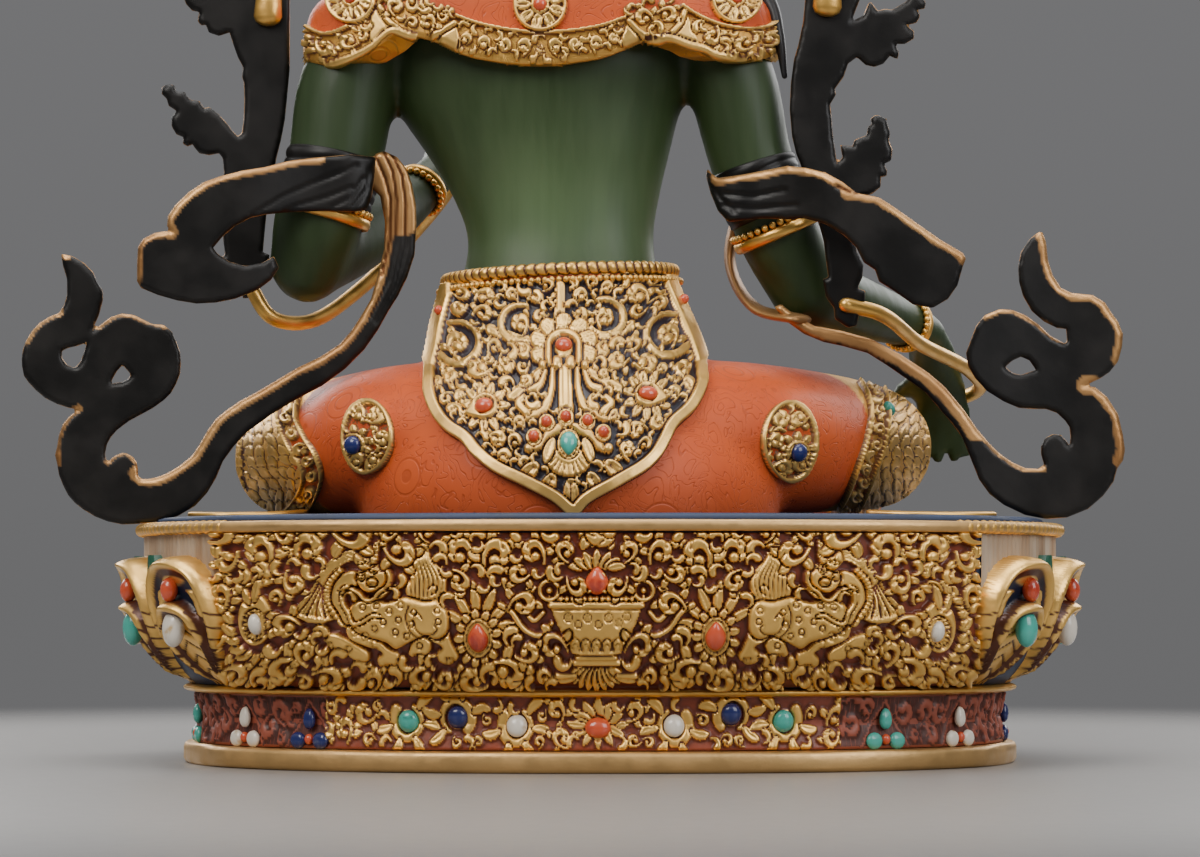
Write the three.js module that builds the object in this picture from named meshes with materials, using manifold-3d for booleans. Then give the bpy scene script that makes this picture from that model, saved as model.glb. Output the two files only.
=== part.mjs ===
// A seated Green Tara on a lotus throne: gilded and painted copper figure with its base plate.
// Millimetres, +Z up, origin at the centre of the base plate's underside. The figure faces -Y,
// and its own left side is +X.
import * as THREE from 'three';
import { mergeVertices } from 'three/addons/utils/BufferGeometryUtils.js';
import Module from 'manifold-3d';

const wasm = await Module();
wasm.setup();

// Driving dimensions: throne
const gap = 0.3; // air between separate pieces
const throneHalfWidth = 143.5; // at the rim
const throneHalfDepth = 108; // at the rim
const ovalPower = 2.4; // 2 is an ellipse, more is squarer
const plateInset = 14.5;
const plateHeight = 6.2;
const plateBevel = 1;
const drumInset = 18.5;
const drumHeight = 15.2;
const drumWaist = 1.6;
const ridgeProud = 4;
const ridgeHeight = 2.6;
const bowlHeight = 44.9;
const bowlFootInset = 16.5;
const stamenInset = 3;
const rimHeight = 3.3;
const seatInset = 6;
const seatRise = 2;

// Driving dimensions: petals, back panel and foot lotus
const petalPitch = 37;
const petalWidth = 34;
const petalReach = 9.5;
const petalHeight = 38;
const panelHalfWidth = 112;
const reliefProud = 2.4;
const reliefSink = 2;
const footLotusRadius = 21;
const footLotusHeight = 15;
const footLotusTop = 33;
const footLotusX = -60;
const footLotusGap = 7; // from the petals to the pad

// Driving dimensions: figure and what it carries
const figureHeight = 327.5; // rim of the throne to the tip of the topknot jewel
const scarfThickness = 2.6;
const stalkThickness = 2.4;
const stemRadius = 2.3;
const crownBandThickness = 2;
const crownLeafHeight = 33;
const crownLeafWidth = 21;
const earringRadius = 8;
const earringThickness = 4;
const clothThickness = 2.2; // cape border, apron and hem bands stand this proud

// Driving dimensions: inlaid stones, as half widths
const bandStone = 4.6;
const panelStone = 5.6;
const dropStone = 5.2;
const apronStone = 4.6;
const medallionStone = 4.8;

// Colours of the separate pieces
const gilt = { color: 0xc9953f, roughness: 0.35, metalness: 1 };
const greenPaint = { color: 0x2f4a2a, roughness: 0.5, metalness: 0 };
const blackLacquer = { color: 0x14110f, roughness: 0.45, metalness: 0.1 };
const coral = { color: 0xc63a1c, roughness: 0.3, metalness: 0 };
const turquoise = { color: 0x2fa590, roughness: 0.35, metalness: 0 };
const lapis = { color: 0x26356e, roughness: 0.4, metalness: 0 };
const shell = { color: 0xe9e2d2, roughness: 0.3, metalness: 0 };

// Heights that follow from the driving dimensions
const drumBase = plateHeight + gap;
const drumTop = drumBase + drumHeight;
const bowlBase = drumTop + ridgeHeight;
const bowlTop = bowlBase + bowlHeight;
const rimTop = bowlTop + rimHeight;
const seatTop = rimTop + seatRise;

// The figure is drawn at 327.5 mm above a rim that stands at 72.5 mm in the drawing
const drawnRim = 72.5;
const drawnHeight = 327.5;
const unit = figureHeight / drawnHeight;
const lift = (z) => rimTop + (z - drawnRim) * unit;
const at = (x, y, z) => new THREE.Vector3(x * unit, y * unit, lift(z));

// Small number helpers
const mix = (a, b, t) => a + (b - a) * t;
const smooth = (t) => {
  const s = Math.min(Math.max(t, 0), 1);
  return s * s * (3 - 2 * s);
};
const signedPower = (v, p) => Math.sign(v) * Math.pow(Math.abs(v), p);

// Reads a column of a table of rows, whose first value is the place, at place t
function readTable(rows, t, column) {
  const last = rows.length - 1;
  if (t <= rows[0][0]) return rows[0][column];
  for (let i = 0; i < last; i += 1) {
    const [lo, hi] = [rows[i], rows[i + 1]];
    if (t <= hi[0]) return mix(lo[column], hi[column], (t - lo[0]) / (hi[0] - lo[0]));
  }
  return rows[last][column];
}

// A closed body through rings of points that turn the same way round the direction of travel
function loft(rings) {
  const n = rings[0].length;
  const points = rings.flat();
  const index = [];
  for (let i = 0; i + 1 < rings.length; i += 1) {
    for (let j = 0; j < n; j += 1) {
      const a = i * n + j;
      const b = i * n + ((j + 1) % n);
      index.push(a, b, a + n, b, b + n, a + n);
    }
  }
  const start = points.length;
  points.push(ringCentre(rings[0]), ringCentre(rings[rings.length - 1]));
  const top = (rings.length - 1) * n;
  for (let j = 0; j < n; j += 1) {
    const k = (j + 1) % n;
    index.push(start, k, j, start + 1, top + j, top + k);
  }
  const geometry = new THREE.BufferGeometry().setFromPoints(points);
  geometry.setIndex(index);
  return geometry;
}

function ringCentre(ring) {
  const centre = new THREE.Vector3();
  ring.forEach((p) => centre.add(p));
  return centre.divideScalar(ring.length);
}

// A ring of points about a centre, with half axes ru along u and rv along v
function ring(centre, u, v, ru, rv, sides, power = 2) {
  return Array.from({ length: sides }, (_, j) => {
    const angle = (2 * Math.PI * j) / sides;
    const c = signedPower(Math.cos(angle), 2 / power) * ru;
    const s = signedPower(Math.sin(angle), 2 / power) * rv;
    return centre.clone().addScaledVector(u, c).addScaledVector(v, s);
  });
}

// A limb through knots [x, y, z, half width, half thickness] of the drawing, with round ends.
// Bands [place, half width, proud] are rings that stand on it.
function limb(knots, options = {}) {
  const { sides = 12, steps = 8, side = [1, 0, 0], grow = 0, round = true, bands = [] } = options;
  const path = new THREE.CatmullRomCurve3(knots.map(([x, y, z]) => at(x, y, z)));
  const radii = new THREE.CatmullRomCurve3(
    knots.map((k) => new THREE.Vector3(k[3] * unit + grow, (k[4] ?? k[3]) * unit + grow, 0)),
  );
  const reference = new THREE.Vector3(...side).normalize();
  const section = (t, offset, scale, proud = 0) => {
    const tangent = path.getTangent(t).normalize();
    const u = reference.clone().addScaledVector(tangent, -reference.dot(tangent)).normalize();
    const v = tangent.clone().cross(u);
    const r = radii.getPoint(t);
    const shift = Math.min(r.x, r.y) * offset;
    const centre = path.getPoint(t).addScaledVector(tangent, shift);
    return ring(centre, u, v, r.x * scale + proud, r.y * scale + proud, sides);
  };
  const length = path.getLength();
  const inBand = (t) => bands.some(([place, half]) => Math.abs(t - place) * length <= half * unit);
  const stops = Array.from({ length: steps + 1 }, (_, i) => [i / steps, 0]).filter(([t]) => !inBand(t));
  bands.forEach(([place, half, proud]) => {
    const reach = (half * unit) / length;
    stops.push([place - reach, 0], [place - reach * 0.6, proud * unit]);
    stops.push([place + reach * 0.6, proud * unit], [place + reach, 0]);
  });
  stops.sort((a, b) => a[0] - b[0]);
  const rings = stops.map(([t, proud]) => section(t, 0, 1, proud));
  if (round) rings.unshift(section(0, -0.88, 0.47));
  if (round) rings.push(section(1, 0.88, 0.47));
  return loft(rings);
}

// A trunk through level rows [z, centre x, centre y, half width, half depth] of the drawing
function trunk(rows, sides, power = 2, grow = 0) {
  const right = new THREE.Vector3(1, 0, 0);
  const back = new THREE.Vector3(0, 1, 0);
  return loft(
    rows.map(([z, cx, cy, rx, ry]) =>
      ring(at(cx, cy, z), right, back, rx * unit + grow, ry * unit + grow, sides, power),
    ),
  );
}

// Moves every point of a geometry, and turns its faces over where the move mirrors it
function reshape(geometry, move, mirrored) {
  const flat = geometry.index ? geometry.toNonIndexed() : geometry;
  const place = flat.getAttribute('position');
  const points = [];
  for (let i = 0; i < place.count; i += 1) {
    points.push(move(new THREE.Vector3().fromBufferAttribute(place, i)));
  }
  const order = mirrored ? [0, 2, 1] : [0, 1, 2];
  const turned = [];
  for (let i = 0; i < points.length; i += 3) order.forEach((k) => turned.push(points[i + k]));
  return new THREE.BufferGeometry().setFromPoints(turned);
}

// A flat outline in X and Z, made solid between two Y surfaces
function plate(shape, front, back, curveSegments = 3) {
  const flat = new THREE.ExtrudeGeometry(shape, { depth: 1, bevelEnabled: false, curveSegments });
  const move = (p) => new THREE.Vector3(p.x, p.z > 0.5 ? back(p.x, p.y) : front(p.x, p.y), p.y);
  return reshape(flat, move, true);
}

// Between three.js geometry and solids that can be joined and cut
function solid(geometry) {
  const bare = geometry.clone();
  bare.deleteAttribute('normal');
  bare.deleteAttribute('uv');
  const merged = mergeVertices(bare, 1e-4);
  return new wasm.Manifold(
    new wasm.Mesh({
      numProp: 3,
      vertProperties: new Float32Array(merged.getAttribute('position').array),
      triVerts: new Uint32Array(merged.index.array),
    }),
  );
}
const join = (geometries) => geometries.map(solid).reduce((all, one) => all.add(one));
const cutAway = (body, tools) => tools.reduce((left, tool) => left.subtract(tool), body);

function geometryOf(body) {
  const mesh = body.getMesh();
  const geometry = new THREE.BufferGeometry();
  geometry.setAttribute('position', new THREE.BufferAttribute(mesh.vertProperties, 3));
  geometry.setIndex(new THREE.BufferAttribute(mesh.triVerts, 1));
  geometry.computeVertexNormals();
  return geometry;
}

// The oval plan of the throne
function ovalRing(inset, z, sides) {
  const centre = new THREE.Vector3(0, 0, z);
  const x = new THREE.Vector3(1, 0, 0);
  const y = new THREE.Vector3(0, 1, 0);
  return ring(centre, x, y, throneHalfWidth - inset, throneHalfDepth - inset, sides, ovalPower);
}
function ovalBack(x, inset) {
  const share = Math.min(Math.abs(x) / (throneHalfWidth - inset), 1);
  return (throneHalfDepth - inset) * Math.pow(1 - Math.pow(share, ovalPower), 1 / ovalPower);
}

// Rows of height share and inset up the bowl
const bowlSwell = [
  [0, bowlFootInset],
  [0.3, mix(bowlFootInset, stamenInset, 0.75)],
  [1, stamenInset],
];
const bowlInset = (z) => readTable(bowlSwell, (z - bowlBase) / bowlHeight, 1);
const bowlBack = (x, z) => ovalBack(x, bowlInset(z));
const drumBack = (x, z) => {
  const share = (z - drumBase) / drumHeight;
  return ovalBack(x, drumInset + drumWaist * (1 - Math.abs(2 * share - 1)));
};

const throneSides = 32;

function basePlate() {
  return loft([
    ovalRing(plateInset + plateBevel, 0, throneSides),
    ovalRing(plateInset, plateBevel, throneSides),
    ovalRing(plateInset, plateHeight, throneSides),
  ]);
}

function throneCore() {
  const bowl = bowlSwell.map(([share, inset]) => [inset, bowlBase + share * bowlHeight]);
  const profile = [
    [drumInset, drumBase],
    [drumInset + drumWaist, drumBase + drumHeight / 2],
    [drumInset, drumTop],
    [drumInset - ridgeProud, drumTop + ridgeHeight / 2],
    ...bowl,
    [0, bowlTop],
    [0, rimTop],
    [seatInset, rimTop],
    [seatInset + seatRise, seatTop],
  ];
  return loft(profile.map(([inset, z]) => ovalRing(inset, z, throneSides)));
}

// Equal steps along the bowl's front and sides, from one edge of the back panel to the other
function petalPlaces() {
  const edge = Math.acos(Math.pow(panelHalfWidth / throneHalfWidth, ovalPower / 2));
  const fine = 400;
  const dots = [];
  for (let i = 0; i <= fine; i += 1) {
    const angle = edge - (i / fine) * (Math.PI + 2 * edge);
    const x = throneHalfWidth * signedPower(Math.cos(angle), 2 / ovalPower);
    const y = throneHalfDepth * signedPower(Math.sin(angle), 2 / ovalPower);
    dots.push(new THREE.Vector3(x, y, 0));
  }
  const lengths = [0];
  for (let i = 1; i <= fine; i += 1) lengths.push(lengths[i - 1] + dots[i].distanceTo(dots[i - 1]));
  const count = Math.round(lengths[fine] / petalPitch);
  return Array.from({ length: count }, (_, k) => {
    const target = ((k + 0.5) / count) * lengths[fine];
    const i = Math.max(1, lengths.findIndex((l) => l >= target));
    const along = dots[i].clone().sub(dots[i - 1]).normalize();
    const outward = new THREE.Vector3(-along.y, along.x, 0);
    return { place: dots[i], outward };
  });
}

// Rows of height share, width share and reach share up one petal
const petalForm = [
  [0, 0.45, 0.35],
  [0.6, 1, 1],
  [1, 0.3, 1.1],
];

function petal({ place, outward }) {
  const across = outward.clone().cross(new THREE.Vector3(0, 0, 1));
  const rings = petalForm.map(([share, width, reach]) => {
    const z = bowlBase + gap + share * petalHeight;
    const centre = place.clone().addScaledVector(outward, -bowlInset(z)).setZ(z);
    const depth = reach * petalReach;
    return ring(centre, across, outward, (width * petalWidth) / 2, depth, 6);
  });
  return loft(rings);
}

// Carving of the back panel: an offering bowl between two facing snow lions
const circleShape = (x, z, rx, rz = rx, turn = 0, sides = 10) => {
  const shape = new THREE.Shape();
  for (let i = 0; i < sides; i += 1) {
    const a = (2 * Math.PI * i) / sides;
    const [c, s] = [rx * Math.cos(a), rz * Math.sin(a)];
    const px = x + c * Math.cos(turn) - s * Math.sin(turn);
    const pz = z + c * Math.sin(turn) + s * Math.cos(turn);
    if (i === 0) shape.moveTo(px, pz);
    else shape.lineTo(px, pz);
  }
  return shape;
};

const onWall = (wall, shape, proud = reliefProud) =>
  plate(shape, (x, z) => wall(x, z) - reliefSink, (x, z) => wall(x, z) + proud);

// The lion is drawn on the +X side from its head round its back to its feet, and side = -1 mirrors it
const lionForm = [
  [68, 6],
  [70, 17],
  [83, 18],
  [87, 8],
  [81, -2],
  [82, -16],
  [75, -16],
  [72, -7],
  [58, -8],
  [54, -16],
  [45, -16],
  [48, -3],
  [41, 9],
  [46, 22],
  [53, 5],
];
function lion(side) {
  const middle = bowlBase + bowlHeight * 0.42;
  const dots = lionForm.map(([x, z]) => new THREE.Vector2(side * x, middle + z));
  return onWall(bowlBack, new THREE.Shape(dots), reliefProud * 1.2);
}

function offeringBowl() {
  const foot = bowlBase + 3;
  const lip = bowlBase + bowlHeight * 0.59;
  const half = 14.5;
  const shape = new THREE.Shape();
  shape.moveTo(-half, lip);
  shape.quadraticCurveTo(-half * 0.7, mix(foot, lip, 0.35), -half * 0.25, mix(foot, lip, 0.3));
  shape.lineTo(-half * 0.55, foot);
  shape.lineTo(half * 0.55, foot);
  shape.lineTo(half * 0.25, mix(foot, lip, 0.3));
  shape.quadraticCurveTo(half * 0.7, mix(foot, lip, 0.35), half, lip);
  return onWall(bowlBack, shape, reliefProud * 1.3);
}

// Where the inlaid stones of the throne sit
const bandLevel = drumBase + drumHeight * 0.53;
const bandStones = [
  ['band_turquoise_left', 54.5, turquoise],
  ['band_lapis_left', 39.5, lapis],
  ['band_shell_left', 22.8, shell],
  ['band_coral', 0.5, coral],
  ['band_shell_right', -22, shell],
  ['band_lapis_right', -38, lapis],
  ['band_turquoise_right', -53.5, turquoise],
];
const panelStones = [
  ['offering_coral', 0.5, 0.67, 0.75, 1.1, coral],
  ['panel_coral_left', 35.3, 0.33, 0.8, 1.15, coral],
  ['panel_coral_right', -33, 0.34, 0.8, 1.15, coral],
  ['panel_shell_left', 99, 0.42, 0.7, 0.9, shell],
  ['panel_shell_right', -97, 0.39, 0.7, 0.9, shell],
];

// One stone: an egg half sunk in what carries it. grow makes the pocket.
function stone(centre, outward, half, high, grow = 0) {
  const egg = new THREE.SphereGeometry(1, 5, 3);
  egg.scale(half + grow, half * 0.62 + grow, high + grow);
  const turn = Math.atan2(outward.y, outward.x) - Math.PI / 2;
  egg.rotateZ(turn);
  return reshape(egg, (p) => p.add(centre), false);
}

// Outward direction of a back wall, level with the floor
function wallOutward(wall, x, z) {
  const step = 1;
  const slope = (wall(x + step, z) - wall(x - step, z)) / (2 * step);
  return new THREE.Vector3(-slope, 1, 0).normalize();
}

function wallStone(wall, x, z, half, high) {
  const centre = new THREE.Vector3(x, wall(x, z) + half * 0.1, z);
  const outward = wallOutward(wall, x, z);
  return (grow) => stone(centre, outward, half, high, grow);
}

const throneStones = [
  ...bandStones.map(([name, x, look]) => {
    const make = wallStone(drumBack, x, bandLevel, bandStone, bandStone * 0.85);
    return { name, look, make };
  }),
  ...panelStones.map(([name, x, share, wide, high, look]) => {
    const z = bowlBase + share * bowlHeight;
    return { name, look, make: wallStone(bowlBack, x, z, panelStone * wide, panelStone * high) };
  }),
];

// The small lotus under the forward foot, on a bracket from the drum
const footLotusY = -(throneHalfDepth + petalReach + footLotusGap + footLotusRadius * 0.5);
function footLotus() {
  const base = footLotusTop - footLotusHeight;
  const x = new THREE.Vector3(1, 0, 0);
  const y = new THREE.Vector3(0, 1, 0);
  const rows = [
    [0, 0.35],
    [0.3, 0.95],
    [0.65, 1],
    [0.75, 0.8],
    [1, 0.8],
  ];
  const pad = rows.map(([share, r]) => {
    const centre = new THREE.Vector3(footLotusX, footLotusY, base + share * footLotusHeight);
    return ring(centre, x, y, footLotusRadius * r, footLotusRadius * r, 12);
  });
  const half = footLotusRadius * 0.35;
  const low = drumBase + 0.5;
  const bracket = new THREE.BoxGeometry(half * 2, -footLotusY - throneHalfDepth * 0.5, base + 4 - low);
  const middle = (footLotusY - throneHalfDepth * 0.5) / 2;
  bracket.translate(footLotusX, middle, (base + 4 + low) / 2);
  return [loft(pad), bracket];
}

function lotusThrone() {
  const body = join([
    throneCore(),
    ...petalPlaces().map(petal),
    offeringBowl(),
    lion(1),
    lion(-1),
    ...footLotus(),
  ]);
  return cutAway(body, throneStones.map(({ make }) => solid(make(gap))));
}

// Figure: rows of the drawing, z, centre x, centre y, half width, half depth
const hips = [
  [72, 9, 20, 64, 50],
  [88, 9, 20, 63, 50],
  [104, 10, 18, 56, 46],
  [118, 10.5, 15, 46, 38],
  [132, 12, 11, 38, 29],
  [143, 12.5, 9, 35.5, 25],
  [144, 12.5, 9, 38.5, 28],
  [149, 12.5, 8.5, 38, 27.5],
  [150.5, 12.5, 8, 33, 23],
];
const torso = [
  [148, 12.4, 7.5, 31, 21.5],
  [162, 12.3, 6, 29, 19.5],
  [176, 13.8, 5, 32.5, 20.5],
  [190, 16.5, 5, 38.5, 23],
  [202, 19, 5, 44, 25],
  [217, 18.8, 6, 49, 25.5],
  [238, 18, 8, 50, 20],
  [251, 15.8, 8.5, 18, 14.5],
  [262, 15, 7.5, 12.8, 13],
  [274, 14.5, 4, 12.5, 13],
];
const cape = [
  [214, 18.3, 5, 74.5, 30.5],
  [226, 18.3, 5.5, 74, 29.5],
  [236, 18.2, 6.5, 69.5, 27.5],
  [247, 17.2, 8, 49, 22],
  [257, 15.8, 8.3, 18.5, 16],
];

// Back of the hips as a surface over x and z
function hipBack(x, z) {
  const t = drawnRim + (z - rimTop) / unit;
  const [cx, cy] = [readTable(hips, t, 1) * unit, readTable(hips, t, 2) * unit];
  const [rx, ry] = [readTable(hips, t, 3) * unit, readTable(hips, t, 4) * unit];
  const share = Math.min(Math.abs(x - cx) / rx, 0.98);
  return cy + ry * Math.sqrt(1 - share * share);
}

// The apron over the hips: rows of z, centre and half width
const apronForm = [
  [76.5, 8, 2],
  [80, 8, 9],
  [84, 8.8, 17],
  [91, 10.5, 27],
  [99, 11.5, 35],
  [106, 10.8, 40.5],
  [116, 10.3, 42.5],
  [130, 11.5, 39.5],
  [143, 12.6, 35],
];
const apronColumns = 6;

function apron() {
  const rings = apronForm.map(([z, centre, half]) => {
    const level = lift(z);
    const across = Array.from({ length: apronColumns + 1 }, (_, i) => {
      const x = (centre + half * (1 - (2 * i) / apronColumns)) * unit;
      return [x, hipBack(x, level)];
    });
    const outer = across.map(([x, y]) => new THREE.Vector3(x, y + clothThickness, level));
    const inner = across.map(([x, y]) => new THREE.Vector3(x, y - clothThickness * 1.5, level));
    return [...inner, ...outer.reverse()].reverse();
  });
  return loft(rings);
}

// Carving that stands on the apron: a rosette, two drop rosettes and the lower crest
function apronCarving() {
  const wall = (x, z) => hipBack(x, z) + clothThickness;
  const rosettes = [
    [12, 124.5, 8.5, 7.5, 0],
    [34.5, 107, 8, 6, 0.7],
    [-13.8, 110.5, 8, 6, -0.7],
    [9.8, 96, 9, 8, 0],
  ];
  return rosettes.map(([x, z, rx, rz, turn]) => {
    const shape = circleShape(x * unit, lift(z), rx * unit, rz * unit, turn, 8);
    return plate(shape, (px, pz) => hipBack(px, pz), (px, pz) => wall(px, pz) + clothThickness * 0.6);
  });
}

// The cape's lower edge hangs in lobes
function capeLayer() {
  const sides = 24;
  const lobes = 5;
  const rings = cape.map(([z, cx, cy, rx, ry], level) => {
    const x = new THREE.Vector3(1, 0, 0);
    const y = new THREE.Vector3(0, 1, 0);
    const flat = ring(at(cx, cy, z), x, y, rx * unit, ry * unit, sides, 2.6);
    const hang = level === 0 ? 8 : level === 1 ? 2 : 0;
    return flat.map((p, j) => {
      const wave = Math.abs(Math.sin((lobes * 2 * Math.PI * (j - sides / 4)) / sides));
      return p.clone().setZ(p.z + hang * wave * unit);
    });
  });
  return loft(rings);
}

// Limbs of the drawing: knots of x, y, z, half width and half thickness
const leftArm = [
  [73, 8, 231, 17, 17],
  [79, 9, 208, 15.5, 15.5],
  [82.5, 10, 187, 14.8, 14.8],
  [88, 10.5, 166, 13.8, 14],
  [91, 8, 154, 12, 12],
];
const leftForearm = [
  [91, 8, 155, 12.5, 12],
  [78, -12, 164, 11.5, 11],
  [63, -34, 178, 8.5, 8],
  [53, -48, 190, 6.8, 6.5],
];
const rightArm = [
  [-37, 8, 231, 16.5, 17],
  [-42, 9, 208, 14, 14.5],
  [-47, 9, 187, 13, 13.5],
  [-56, 8, 163, 12.8, 13],
  [-65, 4, 146, 11.5, 12],
];
const rightForearm = [
  [-65, 4, 146, 12, 12],
  [-79, -14, 143, 11, 10.5],
  [-96, -36, 140, 8, 8],
  [-107, -51, 137, 6.6, 6.4],
];
const leftThigh = [
  [22, 26, 98, 26, 36],
  [58, 8, 98, 25, 34],
  [84, -14, 97, 22, 27],
  [98, -29, 95, 19.5, 20],
];
const leftShin = [
  [98, -29, 94, 19, 20],
  [72, -54, 92, 15.5, 18],
  [38, -70, 89, 13, 14],
  [6, -77, 86, 9.5, 10],
];
const leftFoot = [
  [8, -77, 86, 8.5, 9],
  [-8, -78, 85, 8, 10],
  [-26, -76, 83, 6, 11],
  [-38, -73, 82, 4, 8],
];
const rightThigh = [
  [-4, 26, 98, 26, 36],
  [-40, 6, 99, 25, 33],
  [-70, -28, 100, 22.5, 26],
  [-90, -58, 100, 20, 20],
];

// The forward shin and foot hang from the knee to the foot lotus
const toDrawn = (x, y, z) => [x / unit, y / unit, drawnRim + (z - rimTop) / unit];
const footTop = footLotusTop + gap;
const frontClear = -(throneHalfDepth + petalReach);
const rightShin = [
  [-90, -58, 99, 19.5, 19.5],
  [...toDrawn(-86 * unit, frontClear + 22, rimTop + 19 * unit), 14.5, 14.5],
  [...toDrawn(footLotusX - 16, frontClear - 5.5, rimTop - 2), 12.5, 12.5],
  [...toDrawn(footLotusX - 8, frontClear - 9.5, mix(footTop, rimTop, 0.5)), 10.5, 10.5],
  [...toDrawn(footLotusX - 3, frontClear - 10, footTop + 11), 8, 8.5],
];
const rightFoot = [
  [...toDrawn(footLotusX - 3, frontClear - 4, footTop + 7), 7.5, 7.5],
  [...toDrawn(footLotusX - 2, frontClear - 14, footTop + 8), 8.5, 8.5],
  [...toDrawn(footLotusX, frontClear - 28, footTop + 5), 9, 5.5],
  [...toDrawn(footLotusX + 1, frontClear - 38, footTop + 3.5), 7.5, 3.8],
];

// Hands: a palm and five fingers from the wrist
function hand(palm, fingers) {
  const digits = fingers.map((knots) => limb(knots, { sides: 5, steps: 1, round: false }));
  return [limb(palm, { sides: 6, steps: 2 }), ...digits];
}
const leftHand = hand(
  [
    [53, -48, 190, 6.5, 5.5],
    [49, -54, 200, 8.5, 4.6],
    [48, -57, 210, 9, 4.2],
  ],
  [
    ...[0, 1, 2].map((i) => [
      [55 - i * 4.6, -57, 211, 2.6],
      [56 - i * 4.9, -58.5, 223, 2.4],
      [56.5 - i * 5, -60, 233 - Math.abs(i - 1) * 2, 1.8],
    ]),
    [
      [41.5, -57, 210, 2.6],
      [38.5, -62, 218, 2.3],
      [37.5, -69, 214, 1.8],
    ],
    [
      [44, -55, 200, 3],
      [38, -62, 204, 2.6],
      [37, -69, 210, 2],
    ],
  ],
);
const rightHand = hand(
  [
    [-107, -51, 137, 6.3, 5.8],
    [-111, -68, 129, 8.5, 5],
    [-115, -79, 116, 9, 4.4],
  ],
  [
    ...[0, 1, 2, 3].map((i) => [
      [-108.5 - i * 4.5, -79, 114, 2.6],
      [-108.5 - i * 5, -82, 104, 2.4],
      [-109 - i * 5, -82, 95 + Math.abs(i - 1.3) * 2, 1.8],
    ]),
    [
      [-106, -72, 124, 3],
      [-100, -81, 118, 2.6],
      [-97, -86, 109, 2],
    ],
  ],
);

// How finely the trunk and limbs are faceted
const hipSides = 16;
const torsoSides = 12;
const headSides = 10;
const armForm = { sides: 8, steps: 3 };
const legForm = { sides: 10, steps: 4, side: [0, 0, 1] };

// The armlet and the hem bands stand on the limbs
const armlet = [[0.735, 2.6, 1.8]];
const leftHem = [[0.8, 7, clothThickness]];
const rightHem = [[0.76, 7, clothThickness]];
const limbs = {
  leftArm: (grow = 0) => limb(leftArm, { ...armForm, grow }),
  leftForearm: (grow = 0) => limb(leftForearm, { ...armForm, grow }),
  rightArm: (grow = 0) => limb(rightArm, { ...armForm, bands: armlet, grow }),
  rightForearm: (grow = 0) => limb(rightForearm, { ...armForm, grow }),
  leftThigh: (grow = 0) => limb(leftThigh, { ...legForm, bands: leftHem, grow }),
  leftShin: () => limb(leftShin, { ...legForm, steps: 3 }),
  leftFoot: () => limb(leftFoot, { sides: 6, steps: 3, side: [0, 0, 1] }),
  rightThigh: (grow = 0) => limb(rightThigh, { ...legForm, bands: rightHem, grow }),
  rightShin: () => limb(rightShin, { sides: 10, steps: 5 }),
  rightFoot: () => limb(rightFoot, { sides: 8, steps: 3 }),
};

// Head, tilted about the top of the neck
const headTilt = THREE.MathUtils.degToRad(4);
const neckTop = at(14.5, 6, 262);
function tilted(geometry) {
  geometry.translate(-neckTop.x, -neckTop.y, -neckTop.z);
  geometry.rotateY(-headTilt);
  geometry.translate(neckTop.x, neckTop.y, neckTop.z);
  return geometry;
}
const skull = [
  [264.5, 14, -14, 6, 6.5],
  [272, 14, -10, 15.5, 15],
  [282, 14, -6, 20.5, 20.5],
  [291, 14, -4, 22.5, 23.5],
  [301, 14, -2.5, 23.5, 25],
  [311, 14, -1.5, 23.5, 26],
  [320, 14, -1, 20, 22],
  [327, 14, -1, 12, 14],
];
const hairCap = [
  [281, 14, 14, 15, 11],
  [290, 14, 11, 22, 17.5],
  [302, 14, 8.5, 25.3, 22],
  [314, 14, 5, 25.2, 25.5],
  [325, 14, 1, 20, 22],
  [333, 14, 1, 12, 13],
  [347, 14, 3, 15, 15],
  [362, 14, 3, 13, 13],
  [379, 14, 3, 6, 6],
];
// Nose, lips and ears
const feature = (knots, side = [1, 0, 0]) => limb(knots, { sides: 5, steps: 2, round: false, side });
const face = [
  feature([
    [14, -27, 304, 2.4, 2.4],
    [14, -29.5, 296, 2.8, 2.8],
    [14, -31.5, 289.5, 3.8, 3],
  ]),
  feature(
    [
      [9.5, -25.5, 281, 2, 1.8],
      [14, -27.8, 281, 2.4, 2.4],
      [18.5, -25.5, 281, 2, 1.8],
    ],
    [0, 0, 1],
  ),
  ...[-1, 1].map((s) =>
    feature([
      [14 + s * 24, 0, 304, 2.4, 4.5],
      [14 + s * 25.3, -1, 292, 2, 4],
      [14 + s * 24.5, -2, 279, 2.6, 3],
    ]),
  ),
];
const locks = [
  [
    [-4, 14, 292, 6],
    [-22, 10, 266, 5],
    [-42, 8, 247, 4.5],
    [-54.5, 9, 228, 4],
    [-56.5, 11, 214, 2],
  ],
  [
    [32, 14, 292, 6],
    [48, 6, 264, 5],
    [66, -8, 249, 4.5],
    [73, -20, 232, 3.5],
    [72, -25, 220, 2],
  ],
].map((knots) => limb(knots, { sides: 5, steps: 3 }));
const breasts = [-1, 1].map((s) => {
  const egg = new THREE.SphereGeometry(1, 7, 4);
  egg.scale(15 * unit, 13 * unit, 14 * unit);
  const place = at(18.5 + s * 20, -12, 204);
  return reshape(egg, (p) => p.add(place), false);
});

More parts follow.
